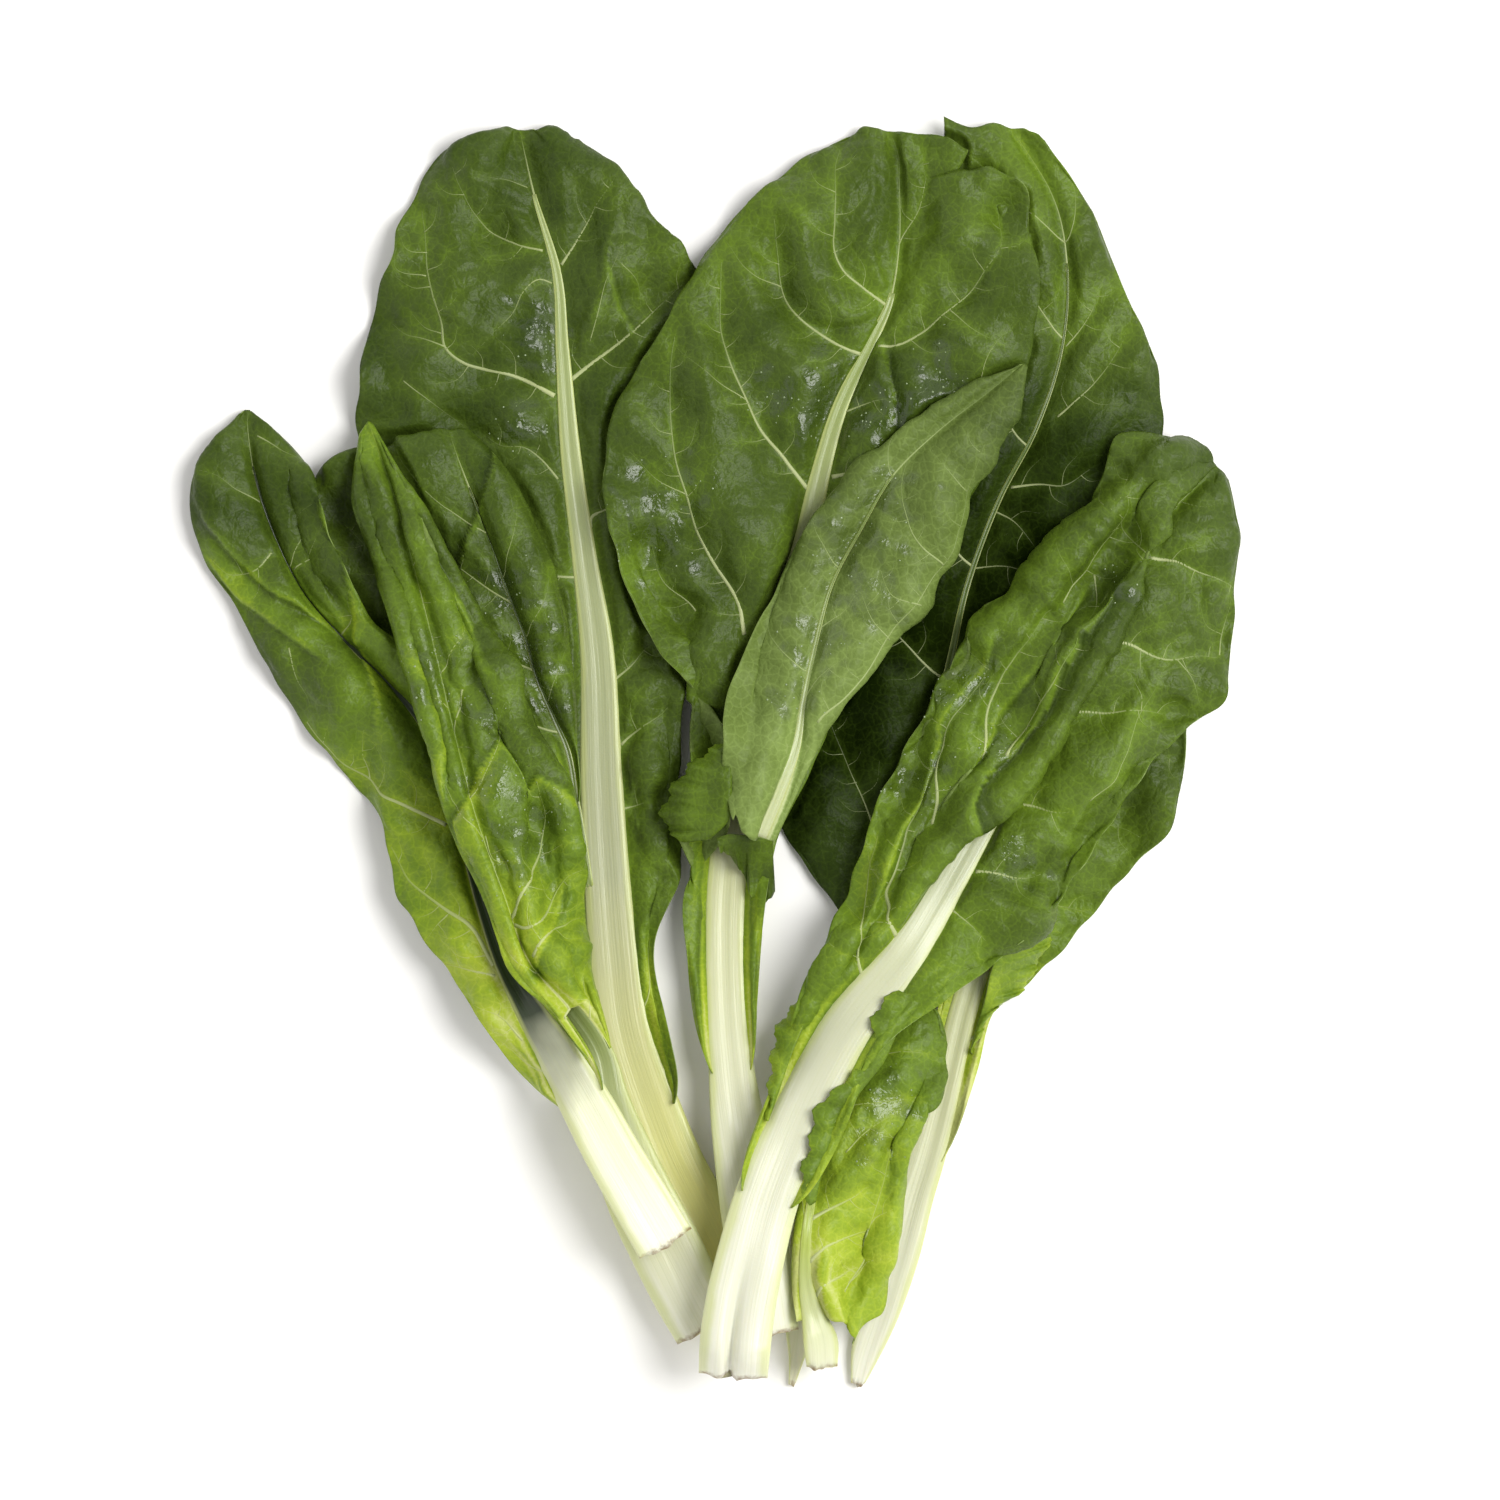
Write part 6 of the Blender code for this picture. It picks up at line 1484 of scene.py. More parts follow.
class Half(Sheet):
    """One side of a fine blade, laid on the bunch, with its veins."""

    def __init__(self, place, grid, side):
        name = place.leaf.name
        self.turned = side
        place.raise_points(grid)
        self.measure(grid)
        self.along_rim = run_along(grid[:, -1])[:, None]
        self.paths = [(vein[0], vein_path(vein, grid)) for vein in VEINS[name][0 if side > 0 else 1]]
        random = draws(name, "left side veins" if side > 0 else "right side veins")
        for width, path in [entry for entry in self.paths if entry[0] >= MAJOR_VEIN]:
            for small, points in branches(read_grid(grid, *path.T), width, random):
                if np.linalg.norm(self.flat - points[-1], axis=-1).min() < BRANCH_OUTSIDE:
                    self.paths.append((small, vein_path((small, points), grid)))
        self.near = np.full(grid.shape[:2], np.inf)
        self.from_major = self.from_rib + PILLOW_RIB_AWAY
        for width, path in self.paths:
            away = np.abs(beside_line(self.flat, read_grid(grid, *path.T)[::3])) + VEIN_AWAY / width
            self.near = np.minimum(self.near, away)
            if width >= MAJOR_VEIN:
                self.from_major = np.minimum(self.from_major, away)

    def swell(self, name):
        """Height of the pillows between veins, the puckers inside them and the creases."""
        dome, cell = LOOKS[name][:2]
        xy = self.flat
        veins = np.minimum(self.near, self.from_rib + RIB_AWAY)
        height = DOME_RISE * dome * (1.0 - bell(self.from_major, DOME_REACH))
        height += SWOLLEN_RISE * cell * (1.0 - bell(veins, SWOLLEN_REACH))
        warped = xy + PUCKER_WARP * sideways_ripples(xy, name, "warp", WARP_LENGTH)
        for number, (size, share, border) in enumerate(PUCKERS):
            puckers = fade(cell_borders(warped, size, draws(name, "puckers", number)), 0.0, border)
            height += (1.0 - bell(veins, PUCKER_REACH)) * cell * share * puckers
        for rise, length, start, end, kind in SWELLS:
            height += rise * ripples(xy, draws(name, kind), length) * fade(self.from_rib, start, end)
        for depth, width, line in CREASES.get(name, []):
            deep = depth * end_fade(xy, line, *CREASE_ENDS)
            height -= deep * bell(beside_line(xy, line), width)
        return height * fade(self.from_rib, 0.0, FLAT_STRIP)

    def folds(self, name):
        """How far each fold lifts the tissue on the left of its line and dips it on the right."""
        lift = np.zeros(self.flat.shape[:2])
        for rise, reach, line in FOLDS.get(name, []):
            signed = beside_line(self.flat, line)
            edge = STEP_LEAST + STEP_SLOPE * rise
            over = np.exp(-np.maximum(signed, 0.0) / reach) * fade(signed, -edge, edge)
            under = bell(signed, DIP_REACH) * fade(signed, edge, -edge)
            high = rise * end_fade(self.flat, line, *FOLD_ENDS)
            lift += high * (over - DIP_SHARE * under)
        return lift

    def frill(self, name, wide):
        """Height of the ruffle along the margin: long waves with short ones on them."""
        shift = RUFFLE_SHIFT * ripples(self.flat, draws(name, "ruffle"), SHIFT_LENGTH)
        turn = 2.0 * np.pi * (self.along_rim + shift) / RUFFLE_LENGTH
        frill = np.zeros(turn.shape)
        for height, pace, start, reach in RUFFLES:
            wave = LOOKS[name][2] * height * wide * np.sin(pace * turn + start)
            frill += wave * np.exp(-self.from_edge / reach)
        return frill

    def crinkle(self, place):
        """Push the sheet in and out within the room it has, then shape its edges."""
        name = place.leaf.name
        floor, ceiling = place.room(self.grid)
        up = np.maximum(ceiling - self.grid[..., 2] - CLEARANCE, 0.0)
        down = np.maximum(self.grid[..., 2] - np.maximum(floor, 0.0) - CLEARANCE, 0.0)

        def within(rise, risen):
            return np.clip(rise, -down - np.minimum(risen, 0.0), up - np.maximum(risen, 0.0))

        wide = fade(self.from_rib[:, -1:], *RUFFLED_WIDTHS)
        height = within(self.swell(name), 0.0)
        lift = within(self.folds(name), height)
        frill = within(self.frill(name, wide), height + lift)
        facing = self.normals()
        facing[..., :2] *= fade(self.from_edge, 0.0, UPRIGHT_EDGE)[..., None]
        spare = np.where(height < 0.0, down, up)
        facing[..., :2] *= np.clip(spare / UPRIGHT_ROOM, 0.0, 1.0)[..., None]
        self.grid = self.grid + facing * height[..., None]
        self.grid[..., 2] += lift + frill
        swing = wide * SWING_SIZE * LOOKS[name][2] * np.exp(-self.from_edge / SWING_REACH)
        shift = sideways_ripples(self.flat, name, "swing", SWING_LENGTH)
        self.grid[..., :2] += shift * swing[..., None]
        if name in TORN:
            self.tear(TORN[name])
        if name not in BROAD_BASES:
            pull = DRAWN_IN * np.exp(-FINE_STEP * np.arange(len(self.grid)) / TAPER)
            self.grid[..., :2] += pull[:, None, None] * (self.grid[:, :1, :2] - self.grid[..., :2])
        self.grid[..., 2] = np.maximum(self.grid[..., 2], SHEET / 2 + 0.05)

    def tear(self, depth):
        """Give the lower end an uneven torn line."""
        outward = unit(self.grid[0, :, :2] - self.grid[4, :, :2])
        sway = TEAR_SWAY * np.sin(self.from_rib[0] * SWAY_PACE)
        cut = depth * np.sin(self.from_rib[0] * TEAR_PACE + sway)
        cut = cut * np.exp(-FINE_STEP * np.arange(len(self.grid))[:, None] / TEAR_REACH)
        self.grid[..., :2] += cut[..., None] * outward

    def shades(self, name):
        """How pale (painted fold light included), how close to a vein and how wet each point is."""
        xy = self.flat
        rows, columns = xy.shape[:2]
        levels = LOOKS[name][3]
        share = np.linspace(0.0, 1.0, rows)[:, None]
        along = np.interp(share * (len(levels) - 1), range(len(levels)), levels)
        tone = np.repeat(along, columns, axis=1)
        for amount, length, kind in MOTTLES:
            tone += amount * ripples(xy, draws(name, kind), length)
        tone += pale_strip(self.from_rib, *RIB_PALE) + pale_strip(self.from_edge, *MARGIN_PALE)
        run = STREAK_SPAN * share * np.ones(columns)
        lengthwise = np.stack((self.from_rib * STREAK_SQUEEZE, run), axis=-1)
        streaks = 0.5 + 0.5 * ripples(lengthwise, draws(name, "streaks"), STREAK_LENGTH)
        seen = fade(share, *STREAK_FADE) * np.exp(-self.from_rib / STREAK_REACH)
        tone += seen * (STREAK_LEAST + STREAK_MOST * streaks)
        # Brighter and darker patches of tone, some of the brighter ones painted sheen and glow
        for x, y, radius, amount in TONE_AND_SHEEN_PATCHES.get(name, []):
            tone += amount * bell(np.linalg.norm(xy - (x, y), axis=-1), radius)
        # Painted highlight along each fold's raised edge, and painted shade on the low side beside it
        for rise, _, line in FOLDS.get(name, []):
            signed = beside_line(xy, line)
            fold_paint = end_fade(xy, line, *FOLD_PAINTED_LIGHT_ENDS)
            tone += fold_paint * FOLD_PAINTED_HIGHLIGHT * bell(signed - FOLD_HIGHLIGHT_AT, FOLD_HIGHLIGHT_WIDTH)
            shade = FOLD_PAINTED_SHADE * rise * np.exp(-np.abs(signed) / FOLD_PAINTED_SHADE_REACH)
            tone -= fold_paint * shade * (signed < 0.0)
        wet = np.zeros((rows, columns))
        blotch = WET_UNEVEN * ripples(xy, draws(name, "wet"), WET_LENGTH)
        for x, y, radius in WET.get(name, []):
            away = np.linalg.norm(xy - (x, y), axis=-1) / radius
            wet = np.maximum(wet, WET_MOST * fade(away + blotch, 1.0, WET_FULL))
        near = np.exp(-np.minimum(self.near, self.from_rib + RIB_AWAY) / VEIN_PALE_REACH)
        return tone, near, wet


class Flap(Sheet):
    """A small curled or ruffled edge of a leaf, between two rails, over what lies below."""

    def __init__(self, place, number, inner, outer, tone, curl):
        rails = []
        for rail in np.array((inner, outer), float):
            knots = run_along(rail[:, :2])
            rails.append(cubic_through(knots, rail, np.linspace(0.0, knots[-1], FLAP_ROWS)))
        inner, outer = rails
        share = np.linspace(0.0, 1.0, FLAP_COLUMNS)
        grid = inner[:, None] + (outer - inner)[:, None] * share[None, :, None]
        level = smooth(spread(place.pile.height, 1))
        grid[..., 2] += place.pile.read(level, grid.reshape(-1, 3)).reshape(grid.shape[:2])
        self.measure(grid)
        along = run_along(outer)[:, None]
        start = draws(place.leaf.name, "flap", number).uniform(*ANY_ANGLE)
        turn = FLAP_PACE * along + start
        wave = np.sin(turn) + FLAP_SECOND * np.sin(FLAP_SECOND_PACE * along + 2.0 * start)
        arch = FLAP_ARCH * np.sin(np.pi * share)
        grid[..., 2] += curl * (arch + FLAP_WAVE * wave * share ** 1.5)
        swing = np.cos(turn) + FLAP_SWING_SECOND * np.sin(FLAP_SWING_PACE * along + start)
        outward = unit(outer[:, :2] - inner[:, :2])
        grid[..., :2] += (FLAP_SWING * curl * swing * share ** 2)[..., None] * outward[:, None]
        self.flat = grid[..., :2].copy()
        self.tone = tone
        self.paths = []
        self.turned = 1
        self.turned = -1 if self.normals()[..., 2].mean() < 0.0 else 1

    def shades(self, name):
        """Its own tone, paler at the edge, with no vein and no water."""
        tone = self.tone + 0.05 * ripples(self.flat, draws(name, "flap tone"), 14.0)
        tone += pale_strip(self.from_edge, *FLAP_PALE)
        return tone, np.zeros(tone.shape), np.zeros(tone.shape)


class Piece:
    """Points, faces and values of one object, gathered bit by bit."""

    def __init__(self, *fields):
        self.points = []
        self.faces = []
        self.kinds = []
        self.values = {field: [] for field in fields}
        self.total = 0

    def add(self, points, faces, **values):
        """Points with their values, and faces with the number of their material."""
        for corners, kind in faces:
            self.faces += (corners + self.total).tolist()
            self.kinds += [kind] * len(corners)
        for field, parts in self.values.items():
            parts.append(np.broadcast_to(values.get(field, 0.0), len(points)))
        self.points.append(points)
        self.total += len(points)

    def make(self, name, middle, materials):
        """A smooth mesh object in metres with its materials and its point attributes."""
        mesh = bpy.data.meshes.new(name)
        points = np.concatenate(self.points) - middle
        mesh.from_pydata((points * MM).tolist(), [], self.faces)
        for material in materials:
            mesh.materials.append(material)
        mesh.polygons.foreach_set("material_index", np.array(self.kinds, np.int32))
        mesh.polygons.foreach_set("use_smooth", np.ones(len(self.faces), bool))
        for field, parts in self.values.items():
            attribute = mesh.attributes.new(field, "FLOAT", "POINT")
            attribute.data.foreach_set("value", np.concatenate(parts).astype(np.float32))
        mesh.update()
        obj = bpy.data.objects.new(name, mesh)
        bpy.context.scene.collection.objects.link(obj)
        return obj


def ring_quads(rings, count):
    """Faces between neighbouring rings of count points each."""
    k = np.arange(count)
    following = (k + 1) % count
    ring = np.arange(rings - 1)[:, None] * count
    quads = np.stack((ring + k, ring + following, ring + count + following, ring + count + k), axis=-1)
    return quads.reshape(-1, 4)


def bead(place, normal, radius):
    """A flattened drop of water on the leaf."""
    across = unit(np.cross(normal, (1.0, 0.0, 0.0)))
    along = np.cross(normal, across)
    points = []
    for rise, reach in DROP_RINGS:
        for angle in 2.0 * np.pi * np.arange(DROP_SIDES) / DROP_SIDES:
            outward = np.cos(angle) * across + np.sin(angle) * along
            points.append(place + radius * (reach * outward + rise * normal))
    points.append(place + DROP_TOP * radius * normal)
    sides = ring_quads(2, DROP_SIDES)
    top = np.full(DROP_SIDES, 2 * DROP_SIDES)
    return np.array(points), sides, np.column_stack((sides[:, 3], sides[:, 2], top))


def vein_tube(line, normals, width):
    """A thin flattened tube along a line on the leaf, tapering to its end."""
    across = unit(np.cross(unit(np.gradient(line, axis=0)), normals))
    taper = 1.0 - VEIN_TAPER * np.linspace(0.0, 1.0, len(line))[:, None] ** 0.7
    half = VEIN_HALF * width * taper
    rings = []
    for angle in 2.0 * np.pi * (np.arange(VEIN_SIDES) + 0.5) / VEIN_SIDES:
        rise = VEIN_RISE * width ** 0.5 * taper if np.sin(angle) > 0 else VEIN_ROOT
        rings.append(line + normals * (SHEET / 2 + rise * np.sin(angle)) + across * half * np.cos(angle))
    caps = np.array([[0, 3, 2, 1], [0, 5, 4, 3]])
    caps = np.concatenate((caps, (len(line) - 1) * VEIN_SIDES + caps[:, ::-1]))
    quads = np.concatenate((ring_quads(len(line), VEIN_SIDES), caps))
    return np.stack(rings, axis=1).reshape(-1, 3), quads


def add_sheets(piece, sheets, merged):
    """Both sides of every sheet, and the rim that joins them along each free edge."""
    tops, bottoms, quads, numbers = [], [], [], []
    count = 0
    for sheet in sheets:
        thickness = SHEET - (SHEET - RIM_SHEET) * np.exp(-sheet.from_edge / RIM_REACH)
        half = sheet.facing * thickness[..., None] / 2
        tops.append((sheet.grid + half).reshape(-1, 3))
        bottoms.append((sheet.grid - half).reshape(-1, 3))
        number = count + np.arange(thickness.size).reshape(thickness.shape)
        numbers.append(number)
        if sheet is sheets[1]:
            number[merged, 0] = numbers[0][merged, 0]
        corners = [number[:-1, :-1], number[1:, :-1], number[1:, 1:], number[:-1, 1:]]
        if sheet.turned < 0:
            corners.reverse()
        quads.append(np.stack(corners, axis=-1).reshape(-1, 4))
        count += thickness.size
    top = np.concatenate(quads)
    edges = np.concatenate([top[:, [k, (k + 1) % 4]] for k in range(4)])
    keys = edges.min(axis=1) * count + edges.max(axis=1)
    _, first_use, uses = np.unique(keys, return_index=True, return_counts=True)
    a, b = edges[first_use[uses == 1]].T
    rim = np.stack((a, a + count, b + count, b), axis=1)
    tone, near, wet = [np.concatenate([values.reshape(-1) for values in field] * 2)
                       for field in zip(*[sheet.shade for sheet in sheets])]
    piece.add(np.concatenate(tops + bottoms), [(top, 0), (top[:, ::-1] + count, 1), (rim, 2)],
              tone=tone, near=near, wet=wet)
    return np.concatenate(tops)


def add_veins(piece, sheets, merged):
    """A thin tube along every vein, and one where the halves meet past the end of the rib."""
    tubes = [(sheet, width, path) for sheet in sheets for width, path in sheet.paths]
    past_rib = np.nonzero(merged)[0]
    if len(past_rib) > 8:
        rows = np.arange(past_rib[0] - 2, len(merged) - 3, 1.0)
        tubes.append((sheets[0], SEAM_WIDTH, np.column_stack((rows, np.zeros(len(rows))))))
    for sheet, width, path in tubes:
        line, normals, tone = [read_grid(values, *path.T) for values in
                               (sheet.grid, sheet.facing, sheet.shade[0][..., None])]
        start = np.clip(FADE_THIN - FADE_LOSS * width, 0.0, FADE_MOST)
        fades = np.linspace(start, 1.0, len(line))
        points, quads = vein_tube(line, unit(normals), width)
        piece.add(points, [(quads, 3)], tone=np.repeat(tone[:, 0], VEIN_SIDES),
                  fade=np.repeat(fades, VEIN_SIDES))


def add_drops(piece, name, surface, facing):
    """Drops of water strewn over the wet spots of a leaf's upper surface."""
    random = draws(name, "drops")
    for x, y, radius in WET.get(name, []):
        for _ in range(DROPS_PER_SPOT):
            angle = random.uniform(0.0, 2.0 * np.pi)
            reach = DROP_SPREAD * radius * random.uniform() ** 0.7
            spot = (x + reach * np.cos(angle), y + reach * np.sin(angle))
            away = np.linalg.norm(surface[:, :2] - spot, axis=1)
            size = random.uniform(*DROP_RADII)
            if away.min() < 1.0:
                found = away.argmin()
                points, sides, caps = bead(surface[found], facing[found], size)
                piece.add(points, [(sides, 4), (caps, 4)])


def fine_blade(place, middle):
    """The object that dresses one blade: its halves and flaps with their veins and drops."""
    leaf = place.leaf
    merged = place.merged
    halves = [Half(place, place.left, 1), Half(place, place.right, -1)]
    for half in halves:
        half.crinkle(place)
    seam = (halves[0].grid[:, 0] + halves[1].grid[:, 0]) / 2.0
    for half in halves:
        half.grid[merged, 0] = seam[merged]
    flaps = [Flap(place, number, *entry) for number, entry in enumerate(FLAPS.get(leaf.name, []))]
    sheets = halves + flaps
    for sheet in sheets:
        sheet.facing = sheet.normals()
        sheet.shade = sheet.shades(leaf.name)
    shared = unit(halves[0].facing[:, 0] + halves[1].facing[:, 0])
    for half in halves:
        half.facing[merged, 0] = shared[merged]

    piece = Piece("tone", "near", "wet", "fade")
    surface = add_sheets(piece, sheets, merged)
    add_veins(piece, sheets, merged)
    add_drops(piece, leaf.name, surface,
              np.concatenate([sheet.facing.reshape(-1, 3) for sheet in sheets]))
    materials = [UPPER, UNDER, RIM, PALE_VEIN, DROP_SHINE]
    if leaf.underside_up:
        piece.kinds = np.array([1, 0, 2, 3, 4])[piece.kinds]
        materials[3] = UNDER_VEIN
    return piece.make(leaf.name + "_blade_fine", middle, materials)


def section_outline():
    """The stalk's section as a smooth closed curve of SECTION_POINTS points."""
    outline = np.array(STALK_SECTION * 3)
    knots = run_along(outline)
    count = len(STALK_SECTION)
    at = np.linspace(knots[count], knots[2 * count], SECTION_POINTS, endpoint=False)
    return cubic_through(knots, outline, at)


def fluting(from_cut, across, random):
    """Ridges along a stalk that wander slowly across it."""
    total = np.zeros((len(from_cut), len(across)))
    for _ in range(FLUTES):
        count = random.uniform(*FLUTE_COUNTS)
        start = random.uniform(*ANY_ANGLE)
        drift = random.uniform(*FLUTE_DRIFTS) * from_cut
        total += FLUTE_DEPTH * np.sin(count * across + start + drift)
    return total


def stalk_rings(place, across, up):
    """Rings of points round the fine stalk, laid on the bunch, with a ragged cut end."""
    name = place.leaf.name
    rib = place.rib
    from_cut = place.from_cut[:, None]
    half_width = np.maximum(rib[:, 3:], THINNEST_RIB)
    height = stalk_height(half_width)
    on_top = fade(up, *UPPER_SIDE)
    random = draws(name, "stalk")
    flutes = fluting(from_cut, across, random) * np.minimum(half_width / FLUTED_WIDTH, 1.0)
    slow = np.sin(from_cut / random.uniform(*STALK_WAVE_LENGTHS) + random.uniform(*ANY_ANGLE))
    z = np.maximum(rib[:, 2:3], 0.0) + UNDERSIDE * height
    z = z + up * height + flutes + STALK_WAVE * slow * on_top * (half_width / WAVE_WIDTH)
    if name == GROOVED_STALK:
        groove = fade(from_cut, *GROOVE_REACH)
        z -= groove * GROOVE_DEPTH * bell(across - GROOVE_AT, GROOVE_WIDTH) * on_top
    normals = side_normals(rib)
    x = rib[:, 0:1] - normals[:, 0:1] * across * half_width
    y = rib[:, 1:2] - normals[:, 1:2] * across * half_width
    rings = np.stack((x, y, z), axis=2)
    place.raise_points(rings)
    _, ceiling = place.room(rings)
    below_next = np.maximum(ceiling - STALK_CLEARANCE, rings[..., 2] - STALK_GIVE)
    rings[..., 2] = np.maximum(np.minimum(rings[..., 2], below_next), FLOOR_GAP)

    ragged = CUT_WAVE * np.sin(CUT_PACE * across + random.uniform(*ANY_ANGLE))
    ragged += CUT_BULGE * (1.0 - across ** 2) + CUT_RIPPLE * np.sin(RIPPLE_PACE * across + 1.0)
    if name == GROOVED_STALK:
        ragged -= NOTCH_DEPTH * bell(across - GROOVE_AT, NOTCH_WIDTH)
    rings[0, :, :2] -= np.outer(ragged, unit((rib[1] - rib[0])[:2]))
    rings[0, :, 2] += CUT_FLATTER * (rings[0, :, 2].mean() - rings[0, :, 2])
    return rings


def fine_stalk(place, middle):
    """The object that dresses one stalk with its midrib."""
    name = place.leaf.name
    across, up = section_outline().T
    rings = stalk_rings(place, across, up)
    total, count = rings.shape[:2]
    quads = ring_quads(total, count)[:, [0, 3, 2, 1]]
    points = np.concatenate((rings.reshape(-1, 3), [rings[0].mean(axis=0), rings[-1].mean(axis=0)]))
    k = np.arange(count)
    following = (k + 1) % count
    last = (total - 1) * count
    near_cap = np.column_stack((k, following, np.full(count, total * count)))
    far_cap = np.column_stack((last + following, last + k, np.full(count, total * count + 1)))

    def spread_out(values, near_end, far_end):
        return np.append(np.broadcast_to(values, (total, count)), (near_end, far_end))

    run = spread_out(place.from_cut[:, None], 0.0, place.from_cut[-1])
    half_width = np.maximum(place.rib[:, 3:], THINNEST_RIB)
    piece = Piece("edge", "beside", "run", "share", "wide", "cut")
    piece.add(points, [(quads, 0), (np.stack((near_cap, far_cap), axis=1).reshape(-1, 3), 1)],
              edge=spread_out(np.abs(across), 0.0, 0.0), beside=spread_out(across, 0.0, 0.0),
              run=run * MM, share=run / place.from_cut[-1],
              wide=spread_out(half_width, half_width[0, 0], THINNEST_RIB),
              cut=0.0 if name == UNCUT_STALK else np.exp(-run / 1.2))
    return piece.make(name + "_stalk_fine", middle, [stalk_material(name), CUT_END])


def linear(red, green, blue):
    """The tint that looks like this screen colour, 0 to 255, under the studio's light."""
    values = np.array([red, green, blue]) / 255.0
    values = np.where(values <= 0.04045, values / 12.92, ((values + 0.055) / 1.055) ** 2.4)
    return (*(values / LIGHTNESS).tolist(), 1.0)


class Shader:
    """A new material whose nodes are added one by one."""

    def __init__(self, name):
        self.material = bpy.data.materials.new(name)
        self.material.use_nodes = True
        self.tree = self.material.node_tree
        self.surface = self.tree.nodes["Principled BSDF"]

    def add(self, kind, inputs, output=0, **settings):
        """A node with its inputs set or linked, and its output socket given back."""
        node = self.tree.nodes.new(kind)
        for setting, value in settings.items():
            setattr(node, setting, value)
        for key, value in inputs.items():
            self.put(node.inputs[key], value)
        return node.outputs[output]

    def put(self, socket, value):
        if isinstance(value, bpy.types.NodeSocket):
            self.tree.links.new(value, socket)
        else:
            socket.default_value = value

    def math(self, operation, first, second, clamp=False):
        return self.add("ShaderNodeMath", {0: first, 1: second}, operation=operation, use_clamp=clamp)

    def plus(self, value, other, amount, clamp=False):
        """The value with some of the other added."""
        return self.math("ADD", value, self.math("MULTIPLY", other, amount), clamp)

    def vector(self, operation, first, second):
        key = "Scale" if operation == "SCALE" else 1
        return self.add("ShaderNodeVectorMath", {0: first, key: second}, operation=operation)

    def field(self, name):
        return self.add("ShaderNodeAttribute", {}, "Fac", attribute_name=name)

    def mix(self, share, first, second):
        """A blend of two colours: the sockets are the colour ones of a node that mixes all kinds."""
        return self.add("ShaderNodeMix", {0: share, 6: first, 7: second}, 2, data_type="RGBA")

    def ramp(self, value, stops):
        """A ramp through grey levels, or through screen colours of three numbers."""
        node = self.tree.nodes.new("ShaderNodeValToRGB")
        elements = node.color_ramp.elements
        while len(elements) < len(stops):
            elements.new(0.5)
        for element, (place, colour) in zip(elements, stops):
            element.position = place
            is_grey = isinstance(colour, float)
            element.color = (colour, colour, colour, 1.0) if is_grey else linear(*colour)
        self.put(node.inputs[0], value)
        return node.outputs[0]

    def noise(self, scale, detail=3.0, roughness=0.5):
        place = self.add("ShaderNodeTexCoord", {}, "Object")
        return self.add("ShaderNodeTexNoise", {"Vector": place, "Scale": scale, "Detail": detail,
                                              "Roughness": roughness}, "Fac")

    def cells(self, scale):
        """Distance from the borders of cells seen from above, slightly warped."""
        place = self.add("ShaderNodeTexCoord", {}, "Object")
        push = self.add("ShaderNodeTexNoise", {"Vector": place, "Scale": scale * 0.6,
                                              "Detail": 2.0}, "Color")
        push = self.vector("SUBTRACT", push, (0.5, 0.5, 0.5))
        place = self.vector("ADD", place, self.vector("SCALE", push, 0.9 / scale))
        return self.add("ShaderNodeTexVoronoi", {"Vector": place, "Scale": scale}, "Distance",
                        feature="DISTANCE_TO_EDGE", voronoi_dimensions="2D")

    def bump(self, height, distance, strength, normal=None):
        inputs = {"Height": height, "Distance": distance, "Strength": strength}
        if normal is not None:
            inputs["Normal"] = normal
        return self.add("ShaderNodeBump", inputs)

    def finish(self, **inputs):
        for name, value in inputs.items():
            self.put(self.surface.inputs[name.replace("_", " ")], value)
        return self.material


def leaf_material(name, stops, gloss, vein_tone):
    """Leaf tissue: tone by position, a fine net of paler veins, wet spots."""
    shader = Shader(name)
    leaf_tone = shader.field("tone")
    wet = shader.field("wet")
    mottle = shader.math("SUBTRACT", shader.noise(90.0, 4.0, 0.6), 0.5)
    grain = shader.math("SUBTRACT", shader.noise(900.0, 2.0, 0.6), 0.5)
    net = shader.cells(300.0)
    lines = shader.ramp(net, [(0.0, 1.0), (0.07, 0.35), (0.16, 0.0)])
    tone = leaf_tone
    for other, amount in ((mottle, 0.17), (grain, 0.2), (lines, vein_tone),
                          (shader.field("near"), 0.22)):
        tone = shader.plus(tone, other, amount)
    colour = shader.ramp(shader.math("DIVIDE", tone, TONE_RANGE), stops)
    colour = shader.mix(shader.math("MULTIPLY", wet, 0.35), colour, linear(30, 46, 16))
    normal = shader.bump(net, 0.0006, 0.55)
    normal = shader.bump(shader.cells(700.0), 0.00025, 0.5, normal)
    normal = shader.bump(shader.noise(420.0, 4.0, 0.6), 0.0005, 0.32, normal)
    lit = shader.math("ADD", shader.math("MULTIPLY", leaf_tone, 0.4), 0.01, clamp=True)
    gleam = shader.plus(shader.math("MINIMUM", lit, 0.17), wet, 0.3)
    rough = shader.math("SUBTRACT", gloss, shader.math("MULTIPLY", wet, gloss - 0.16))
    rough = shader.plus(rough, mottle, 0.2, clamp=True)
    return shader.finish(Base_Color=colour, Roughness=rough, Normal=normal, Specular_IOR_Level=gleam)


def plain_material(name, colour, roughness):
    return Shader(name).finish(Base_Color=colour, Roughness=roughness)


def vein_material(name, base, stops):
    """Pale where a vein leaves the rib, and little paler than the leaf at its thin end."""
    shader = Shader(name)
    share = shader.plus(shader.field("fade"), shader.noise(60.0), 0.3)
    tone = shader.math("ADD", shader.field("tone"), 0.2)
    tissue = shader.ramp(shader.math("DIVIDE", tone, TONE_RANGE), stops)
    colour = shader.mix(shader.ramp(share, [(0.1, 0.95), (0.6, 0.5), (1.1, 0.1)]), tissue, base)
    return shader.finish(Base_Color=colour, Roughness=0.45, Specular_IOR_Level=0.3)


def cut_material():
    """The pale fibres of a cut stalk."""
    shader = Shader("cut_end")
    tint = shader.ramp(shader.noise(700.0, 4.0), [(0.35, (198, 186, 130)), (0.65, (228, 226, 184))])
    return shader.finish(Base_Color=tint, Roughness=0.6)


